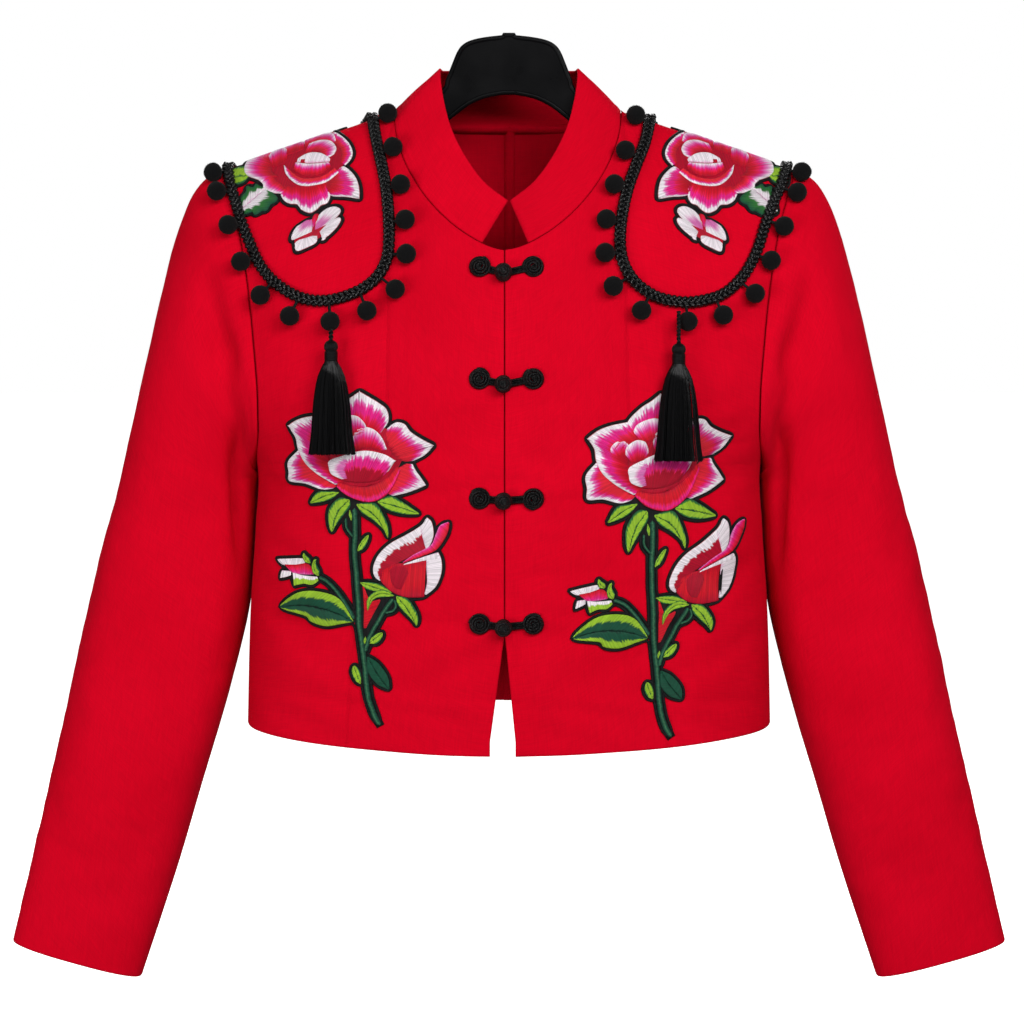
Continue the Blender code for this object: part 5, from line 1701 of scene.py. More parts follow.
def make_pompoms(side):
    """Felt balls along the braid, each held by a short stub of cord."""
    settings = trim_settings()
    shape = bmesh.new()
    names = [f"pompom_{SIDE_NAMES[side]}_{number:02d}" for number in range(1, POMPOM_COUNT + 1)]
    centres = []
    random = np.random.default_rng(41 + side)
    for name in names:
        low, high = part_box(name)
        centre = (low + high) / 2
        centres.append(centre)
        ball = bmesh.ops.create_icosphere(shape, subdivisions=POMPOM_LEVEL, radius=settings.pompom_radius)
        bumps = random.normal(size=(POMPOM_BUMPS, 3))
        bumps /= np.linalg.norm(bumps, axis=-1, keepdims=True)
        sizes = random.uniform(-1.0, 1.0, POMPOM_BUMPS)
        for vertex in ball["verts"]:
            ray = vertex.co.normalized()
            near = [math.exp(-POMPOM_BUMP_NARROWNESS * (1 - ray.dot(Vector(bump)))) for bump in bumps]
            swell = sum(size * share for size, share in zip(sizes, near))
            vertex.co = vertex.co * (1 + POMPOM_DIMPLE * swell) + centre
    base = bpy.data.meshes.new(f"pompoms_{SIDE_NAMES[side]}")
    shape.to_mesh(base)
    shape.free()
    made = grow(
        f"pompoms_{SIDE_NAMES[side]}", base, shared(fuzz_tree),
        Density=settings.fuzz_density, Length=FUZZ_LENGTH, Thickness=FUZZ_THICKNESS, Seed=FUZZ_SEED,
        Material=black_felt(),
    )
    finish_piece(made, "black_felt", *names)
    spots, _, _ = braid_path(side)
    stubs = []
    for centre in centres:
        centre = np.array(centre)
        nearest = int(np.argmin(np.linalg.norm(spots - centre, axis=-1)))
        stub = np.stack([spots[nearest] * (1 - t) + centre * t for t in STUB_PLACES])
        stubs.append((stub, False, STUB_RADIUS))
    cord = cord_material("twisted_thread", 4.0, 0.004, 0.02, 0.64, 0.0001)
    stubs = grow_cords(f"pompom_stubs_{SIDE_NAMES[side]}", stubs, 8, cord)
    finish_piece(stubs, "black_cord")
    return made


# ---- tassels ----
TASSELS = {
    # x, drop of the cord's top, of the head's top and of the skirt's foot, half width of the skirt's foot
    RIGHT: (-0.1257, 0.2180, 0.2195, 0.2995, 0.0160),
    LEFT: (0.1200, 0.1990, 0.2215, 0.3040, 0.0164),
}
TASSEL_LIFT = 0.0118
TASSEL_FOOT_LIFT = 0.0128
TASSEL_HEAD_LENGTH = 0.0140
TASSEL_FLATNESS = 0.46
TASSEL_HEAD_ROWS = (
    # distance below the top, radius
    (0.0000, 0.0016),
    (0.0006, 0.0029),
    (0.0018, 0.0042),
    (0.0036, 0.0049),
    (0.0056, 0.0047),
    (0.0070, 0.0040),
    (0.0078, 0.0038),
    (0.0148, 0.0042),
)
TASSEL_SKIRT_ROWS = (
    # share of the skirt's length, share of its foot's half width
    (0.00, 0.235),
    (0.05, 0.36),
    (0.14, 0.54),
    (0.26, 0.67),
    (0.42, 0.77),
    (0.62, 0.84),
    (0.82, 0.90),
    (1.00, 1.00),
)
TASSEL_CORD_PITCH = 0.0052  # length of one turn of the two strands of its cord
TASSEL_CORD_REACH = 0.0008
TASSEL_CORD_STRAND = 0.00095
TASSEL_CORD_SINK = 0.0012  # how far the cord runs into the head
TASSEL_CORD_LEAST = 0.0085
TASSEL_HEAD_THREADS = 46
TASSEL_HEAD_THREAD = 0.00040
TASSEL_HEAD_SINK = 0.00035
TASSEL_HEAD_FLATNESS = 0.86
TASSEL_WRAPS = 7
TASSEL_WRAP_START = 0.0080
TASSEL_WRAP_STEP = 0.00098
TASSEL_WRAP_RADIUS = 0.00425
TASSEL_WRAP_THREAD = 0.00058
TASSEL_OUTER_SHARE = 0.62  # of the skirt's threads that lie round its outside
TASSEL_THREAD = 0.00026
TASSEL_LOCK_DEPTH = 0.0014  # how far the outer threads of a lock lie behind its middle
TASSEL_LOCK = 11  # threads that lie together in one lock
TASSEL_LOCK_REACH = 0.40  # share of its room that a lock takes up, to each side
TASSEL_LOCK_SPREAD = (0.0004, 0.0005, 0.05)  # stray of a lock: sway, slip outward, turn
TASSEL_THREAD_SPREAD = (0.01, 0.00015, 0.00025, 0.006, 0.3)  # of a thread: turn, sway, slip, end, wave
TASSEL_THREAD_POINTS = 13


def tassel_frame(side):
    """Places and directions of a tassel: its head's top, its axis, across and outward, and its length."""
    x, _, head_drop, foot_drop, _ = TASSELS[side]
    head = form_point(x, head_drop, FRONT) + np.array((0.0, -TASSEL_LIFT, 0.0))
    foot = form_point(x, foot_drop, FRONT) + np.array((0.0, -TASSEL_FOOT_LIFT, 0.0))
    axis = unit(foot - head)
    outward = np.array((0.0, -1.0, 0.0))
    across = unit(np.cross(outward, axis))
    outward = unit(np.cross(axis, across))
    return head, axis, across, outward, np.linalg.norm(foot - head)


def make_tassel(side):
    """A tassel: its cord and bound head, and a skirt of loose satin threads."""
    name = SIDE_NAMES[side]
    _, cord_drop, head_drop, _, foot_half = TASSELS[side]
    head, axis, across, outward, length = tassel_frame(side)
    satin = cord_material("satin_thread", 3.0, 0.0, 0.0, 0.20, 0.00002, 0.14)
    bound = cord_material("bound_thread", 9.0, 0.03, 0.01, 0.46, 0.00012)
    cord_top = head - axis * max(head_drop - cord_drop, TASSEL_CORD_LEAST) / abs(axis[2])
    turns = np.linspace(0, 2 * np.pi, 28, endpoint=False)

    paths = []
    for strand in (0, 1):
        t = np.linspace(0.0, 1.0, 24)[:, None]
        spin = t * 2 * np.pi * np.linalg.norm(head - cord_top) / TASSEL_CORD_PITCH + np.pi * strand
        twist = across * np.cos(spin) * TASSEL_CORD_REACH + outward * np.sin(spin) * TASSEL_CORD_REACH
        line = cord_top * (1 - t) + (head + axis * TASSEL_CORD_SINK) * t + twist
        paths.append((line, False, TASSEL_CORD_STRAND))
    rows = np.array(TASSEL_HEAD_ROWS)
    fine = np.linspace(0.0, rows[-1, 0], 30)
    radius = read_table(TASSEL_HEAD_ROWS, fine)[:, 0]
    for thread in range(TASSEL_HEAD_THREADS):
        angle = 2 * np.pi * thread / TASSEL_HEAD_THREADS
        around = across * math.cos(angle) + outward * math.sin(angle) * TASSEL_HEAD_FLATNESS
        line = head + axis * fine[:, None] + around * (radius - TASSEL_HEAD_SINK)[:, None]
        paths.append((line, False, TASSEL_HEAD_THREAD))
    for wrap in range(TASSEL_WRAPS):
        ring = head + axis * (TASSEL_WRAP_START + TASSEL_WRAP_STEP * wrap)
        circle = across * np.cos(turns)[:, None] + outward * np.sin(turns)[:, None] * TASSEL_HEAD_FLATNESS
        paths.append((ring + circle * TASSEL_WRAP_RADIUS, True, TASSEL_WRAP_THREAD))
    made = grow_cords(f"tassel_head_{name}", paths, 7, bound)
    finish_piece(made, "black_cord", f"tassel_{name}_head")

    random = np.random.default_rng(97 + side)
    count = trim_settings().tassel_threads
    outer = count * TASSEL_OUTER_SHARE
    start = TASSEL_HEAD_LENGTH - 0.0002
    t = np.linspace(0.0, 1.0, TASSEL_THREAD_POINTS)
    spread = read_table(TASSEL_SKIRT_ROWS, t)[:, 0] * foot_half
    lock_angle = 2 * np.pi * TASSEL_LOCK / outer
    paths = []
    for thread in range(count):
        if thread % TASSEL_LOCK == 0:
            lock_sway, lock_slip, lock_turn = random.normal(0.0, TASSEL_LOCK_SPREAD)
            lock_wave = random.uniform(0, 2 * np.pi)
        layer = 1.0 if thread < outer else random.uniform(0.25, 0.9)
        place = (thread % TASSEL_LOCK) / (TASSEL_LOCK - 1) * 2 - 1
        angle = (thread // TASSEL_LOCK + 0.5 + TASSEL_LOCK_REACH * place) * lock_angle + lock_turn
        turn_off, sway_off, slip_off, end_off, wave_off = random.normal(0.0, TASSEL_THREAD_SPREAD)
        angle += turn_off
        sway = lock_sway + sway_off
        slip = lock_slip + slip_off
        end = 1.0 + end_off
        wave = lock_wave + wave_off
        out = spread * layer + (slip - TASSEL_LOCK_DEPTH * place ** 2) * t ** 0.5
        flat = TASSEL_FLATNESS + (TASSEL_HEAD_FLATNESS - TASSEL_FLATNESS) * (1 - t) ** 6
        side_way = out * math.cos(angle) + sway * np.sin(1.4 * t + wave) * t
        front_way = out * flat * math.sin(angle) + sway * 0.5 * np.cos(1.1 * t + wave) * t
        line = head + axis * (start + (length - start) * t * end)[:, None]
        line = line + across * side_way[:, None] + outward * front_way[:, None]
        paths.append((line, False, TASSEL_THREAD))
    made = grow_cords(f"tassel_skirt_{name}", paths, 4, satin)
    finish_piece(made, "black_thread", f"tassel_{name}_skirt")
    return made


# ---- frog fastenings ----
FROG_KNOT_X = -0.0039
FROG_KNOT_DISC_X = -0.0207
FROG_LOOP_DISC_X = 0.0174
FROG_DROPS = (
    # discs, ball
    (0.1677, 0.1729),
    (0.2464, 0.2506),
    (0.3308, 0.3322),
    (0.4203, 0.4224),
)
FROG_DISC_RADIUS = 0.0076
FROG_BALL_RADIUS = 0.0062
FROG_BALL_LIFT = 0.0068
FROG_BALL_RINGS = (
    # lean to the side and upward, angle from the outward axis
    (0.0, 0.0, 0.42), (0.0, 0.0, 0.86), (0.10, -0.12, 1.28), (-0.08, 0.10, 1.72), (0.0, 0.0, 2.2),
)
FROG_BALL_STEM = (
    # aside, out from the cloth, radius: what fills the ball from below, and then its top
    (0.0, 0.0008, 0.0018), (0.0, FROG_BALL_LIFT * 0.55, 0.0030), (0.0, FROG_BALL_LIFT, 0.0046),
)
FROG_BALL_TOP = ((0.0, FROG_BALL_LIFT + 0.0030, 0.0032), (0.0002, FROG_BALL_LIFT + 0.0056, 0.0011))
FROG_BALL_SHARE = 0.56  # radius of each kind of cord, as a share of the cord's thickness
FROG_COIL_SHARE = 0.48
FROG_RIM_SHARE = 0.52
FROG_CORD_SHARE = 0.54
FROG_MIDDLE_SHARE = 0.40
FROG_LOOP_SHARE = 0.47
FROG_LOOP_RADIUS = 0.0050
FROG_STUB = ((-0.0004, 0.70), (0.0014, 0.62), (0.0020, 0.30))  # height and share, in the middle of a disc
FROG_CORD_ENDS = {"knot": (0.0036, 0.0022), "loop": (0.0045, 0.0004)}  # short of the ball's middle, and rise
FROG_MIDDLE_SINK = 0.0005
FROG_CLEAR = 0.0003  # between the cloth and the cords
FROG_COIL_START = 0.6  # angle at which a coil starts, for each number, and what a loop's disc adds
FROG_LOOP_START = 2.4
FROG_COIL_TURNS = 3.1
FROG_DOME = 0.0017  # how much the middle of a coil stands above its rim


def frog_frame(ball_drop):
    """The cloth's place and directions under a ball: across, up, out."""
    place, normal = cloth_point(FROG_KNOT_X, ball_drop)
    across = unit(np.cross(np.array((0.0, 0.0, 1.0)), normal))
    up = unit(np.cross(normal, across))
    return place, across, up, normal


def spiral_disc(cord, turns_total, centre, start_angle, lift):
    """A cord coiled flat from the middle out, a little domed; in the frame's own axes."""
    steps = int(26 * turns_total)
    turn = np.linspace(0.0, 2 * np.pi * turns_total, steps)
    radius = cord * 0.52 + (FROG_DISC_RADIUS - cord * 0.62) * (turn / turn[-1])
    x = centre[0] + radius * np.cos(turn + start_angle)
    y = centre[1] + radius * np.sin(turn + start_angle)
    z = lift + FROG_DOME * (1 - (radius / FROG_DISC_RADIUS) ** 2)
    return np.stack((x, y, z), axis=-1)


def ball_knot(cord):
    """Cord wound round a ball: rings about the outward axis and loops over them, in the frame's own axes."""
    paths = []
    steps = np.linspace(0, 2 * np.pi, 30, endpoint=False)
    core = FROG_BALL_RADIUS - cord * 0.45
    for tilt_x, tilt_y, polar in FROG_BALL_RINGS:
        radius = core * math.sin(polar)
        height = core * math.cos(polar)
        x = radius * np.cos(steps)
        y = radius * np.sin(steps)
        z = np.full_like(steps, height) + tilt_x * x + tilt_y * y
        ring = unit(np.stack((x, y, z), axis=-1)) * core
        paths.append((ring + np.array((0.0, 0.0, FROG_BALL_LIFT)), True, cord * FROG_BALL_SHARE))
    return paths


def flat_ring(centre, radius, count, height):
    """A circle of points in the plane of a disc, in the frame's own axes."""
    turn = np.linspace(0, 2 * np.pi, count, endpoint=False)
    x = centre[0] + radius * np.cos(turn)
    return np.stack((x, centre[1] + radius * np.sin(turn), 0 * turn + height), axis=-1)


def make_frog(number, disc_drop, ball_drop):
    """A frog: a coiled disc, cords and ball knot on the right front; a disc, cords and loop on the left."""
    cord = trim_settings().cord
    place, across, up, normal = frog_frame(ball_drop)
    rise = ball_drop - disc_drop
    material = cord_material("frog_cord", 6.0, 0.0032, 0.0, 0.36, 0.00024, 0.30)

    def to_world(local):
        local = np.asarray(local)
        return place + local[:, :1] * across + local[:, 1:2] * up + local[:, 2:] * normal

    lift = cord * 0.5 + FROG_CLEAR
    flip = 1 if number % 2 else -1
    for kind, disc_x in (("knot", FROG_KNOT_DISC_X), ("loop", FROG_LOOP_DISC_X)):
        disc = np.array((disc_x - FROG_KNOT_X, rise))
        start_angle = FROG_COIL_START * number + (0 if kind == "knot" else FROG_LOOP_START)
        spiral = spiral_disc(cord, FROG_COIL_TURNS, disc, start_angle, lift)
        if kind == "loop":
            spiral[:, 1] = disc[1] + flip * (spiral[:, 1] - disc[1])
        rim = flat_ring(disc, FROG_DISC_RADIUS - cord * 0.5, 40, lift * 0.9)
        stub = np.array([(disc[0], disc[1], lift + high) for high, _ in FROG_STUB])
        paths = [
            (spiral, False, cord * FROG_COIL_SHARE),
            (rim, True, cord * FROG_RIM_SHARE),
            (stub, False, np.array([cord * share for _, share in FROG_STUB])),
        ]
        toward = -disc / np.linalg.norm(disc)
        aside = np.array((-toward[1], toward[0]))
        start = disc + toward * (FROG_DISC_RADIUS - cord * 0.7)
        stop_short, rise_to = FROG_CORD_ENDS[kind]
        stop = -toward * stop_short
        for offset in (-1, 0, 1):
            t = np.linspace(0.0, 1.0, 9)[:, None]
            line = start * (1 - t) + stop * t + aside * offset * cord * (0.88 - 0.10 * np.sin(np.pi * t))
            high = lift + rise_to * t ** 2 - FROG_MIDDLE_SINK * (offset == 0)
            size = cord * (FROG_CORD_SHARE if offset else FROG_MIDDLE_SHARE)
            paths.append((np.concatenate((line, high), axis=1), False, size))
        if kind == "knot":
            paths += ball_knot(cord)
            for filling in (FROG_BALL_STEM, FROG_BALL_TOP):
                line = np.array([(aside_x, 0.0, high) for aside_x, high, _ in filling])
                paths.append((line, False, np.array([radius for _, _, radius in filling])))
        else:
            ring = flat_ring((0.0, 0.0), FROG_LOOP_RADIUS, 30, lift)
            paths.append((ring, True, cord * FROG_LOOP_SHARE))
        paths = [(to_world(path), closed, size) for path, closed, size in paths]
        made = grow_cords(f"frog_cord_{number}_{kind}", paths, 9, material)
        finish_piece(made, "black_cord", f"frog_{number}_{kind}")


# ---- embroidery ----
STITCH_ROWS = np.array((0.0, 0.015, 0.05, 0.12, 0.22, 0.35, 0.48, 0.61, 0.73, 0.83, 0.91, 0.965, 1.0))
STITCH_SPACING = 0.0012
STITCH_SLANT = 0.7
GROUND_LIFT = 0.0003
GROUND_WALL = 0.0005
GROUND_SPACING = 0.004
LAYER_STEP = 0.00024
PETAL_CROWN = 0.0003
LEAF_CROWN = 0.0006
STITCH_ROUND = 0.0015
RIDGE_SECTION = (
    # share of the half width, share of the height
    (-1.00, 0.00), (-0.93, 0.52), (-0.68, 0.82), (-0.34, 0.96), (0.00, 1.00), (0.34, 0.96), (0.68, 0.82),
    (0.93, 0.52), (1.00, 0.00),
)
RIDGE_END_WIDTH = 0.05  # least shares of an open ridge's width and height, at its ends
RIDGE_END_HEIGHT = 0.3
BORDER_HEIGHT = 0.0014
BORDER_STEP = 0.0009
STEM_HEIGHT = 0.0013
# the left spray against the right one: sideways, turned, and lower towards its foot
SPRAY_MIDDLE = -0.1055
SPRAY_SHIFT = 0.2120
SPRAY_DRIFT = 0.020
SPRAY_TURN = 0.12
SPRAY_SINK = (0.0015, 0.0110)
SPRAY_SINK_START = 0.300
SPRAY_SINK_REACH = 0.060

WHITE = (0.84, 0.76, 0.81)
PALE = (0.80, 0.48, 0.66)
ORCHID = (0.72, 0.17, 0.46)
MAGENTA = (0.74, 0.012, 0.215)
HOT = (0.78, 0.010, 0.075)
ORANGE = (0.78, 0.016, 0.036)
RED = (0.62, 0.003, 0.016)
CRIMSON = (0.42, 0.0010, 0.020)
LIME = (0.29, 0.50, 0.028)
LEAF_GREEN = (0.030, 0.17, 0.030)
STEM_CREST_HIGHLIGHT = (0.045, 0.150, 0.070)
# painted highlight for the crest of a stem
DARK_GREEN = (0.007, 0.072, 0.038)
DEEP_GREEN = (0.003, 0.024, 0.016)
THREADS = {
    # colours of each thread from the base of a piece to its rim
    "fair": ((0.0, CRIMSON), (0.28, RED), (0.46, HOT), (0.54, MAGENTA), (0.68, MAGENTA), (0.77, ORCHID),
        (0.82, WHITE), (0.965, WHITE), (0.985, CRIMSON)),
    "warm": ((0.0, CRIMSON), (0.12, ORANGE), (0.42, ORANGE), (0.52, HOT), (0.60, MAGENTA), (0.74, ORCHID),
        (0.80, WHITE), (0.965, WHITE), (0.985, CRIMSON)),
    "blush": ((0.0, CRIMSON), (0.22, RED), (0.40, HOT), (0.55, MAGENTA), (0.70, ORCHID), (0.82, PALE),
        (0.92, WHITE), (0.97, WHITE), (0.99, CRIMSON)),
    "bowl": ((0.0, CRIMSON), (0.40, CRIMSON), (0.45, HOT), (0.50, MAGENTA), (0.70, MAGENTA), (0.78, ORCHID),
        (0.82, WHITE), (1.0, WHITE)),
    "lilac": ((0.0, MAGENTA), (0.12, ORCHID), (0.40, ORCHID), (0.55, PALE), (0.66, WHITE), (0.965, WHITE),
        (0.985, CRIMSON)),
    "lip": ((0.0, CRIMSON), (0.18, RED), (0.55, RED), (0.64, HOT), (0.80, MAGENTA), (0.93, HOT),
        (0.98, CRIMSON)),
    "snow": ((0.0, CRIMSON), (0.58, CRIMSON), (0.64, WHITE), (0.965, WHITE), (0.985, CRIMSON)),
    "white": ((0.0, PALE), (0.15, WHITE), (0.955, WHITE), (0.98, CRIMSON)),
    "rosy": ((0.0, ORCHID), (0.20, MAGENTA), (0.55, HOT), (0.85, RED), (0.98, CRIMSON)),
    "crimson": ((0.0, CRIMSON), (1.0, CRIMSON)),
    "scarlet": ((0.0, RED), (1.0, RED)),
    "red": ((0.0, CRIMSON), (0.3, RED), (0.8, RED), (1.0, CRIMSON)),
    "lily": ((0.0, WHITE), (0.35, WHITE), (0.48, LIME), (1.0, LIME)),
    "lime": ((0.0, DARK_GREEN), (0.05, LEAF_GREEN), (0.12, LIME), (0.70, LIME), (0.82, LEAF_GREEN),
        (1.0, DARK_GREEN)),
    "leaf": ((0.0, DEEP_GREEN), (0.08, DARK_GREEN), (0.50, DARK_GREEN), (0.62, LIME), (1.0, LIME)),
    "green": ((0.0, DEEP_GREEN), (0.10, DARK_GREEN), (1.0, DARK_GREEN)),
    "pale": ((0.0, PALE), (0.07, WHITE), (0.36, WHITE), (0.50, LEAF_GREEN), (1.0, DARK_GREEN)),
    # the stem is lighter across its middle: a painted highlight along the crest of its rounded ridge
    "stem": ((0.0, DEEP_GREEN), (0.30, DARK_GREEN), (0.50, STEM_CREST_HIGHLIGHT), (0.70, DARK_GREEN),
        (1.0, DEEP_GREEN)),
}
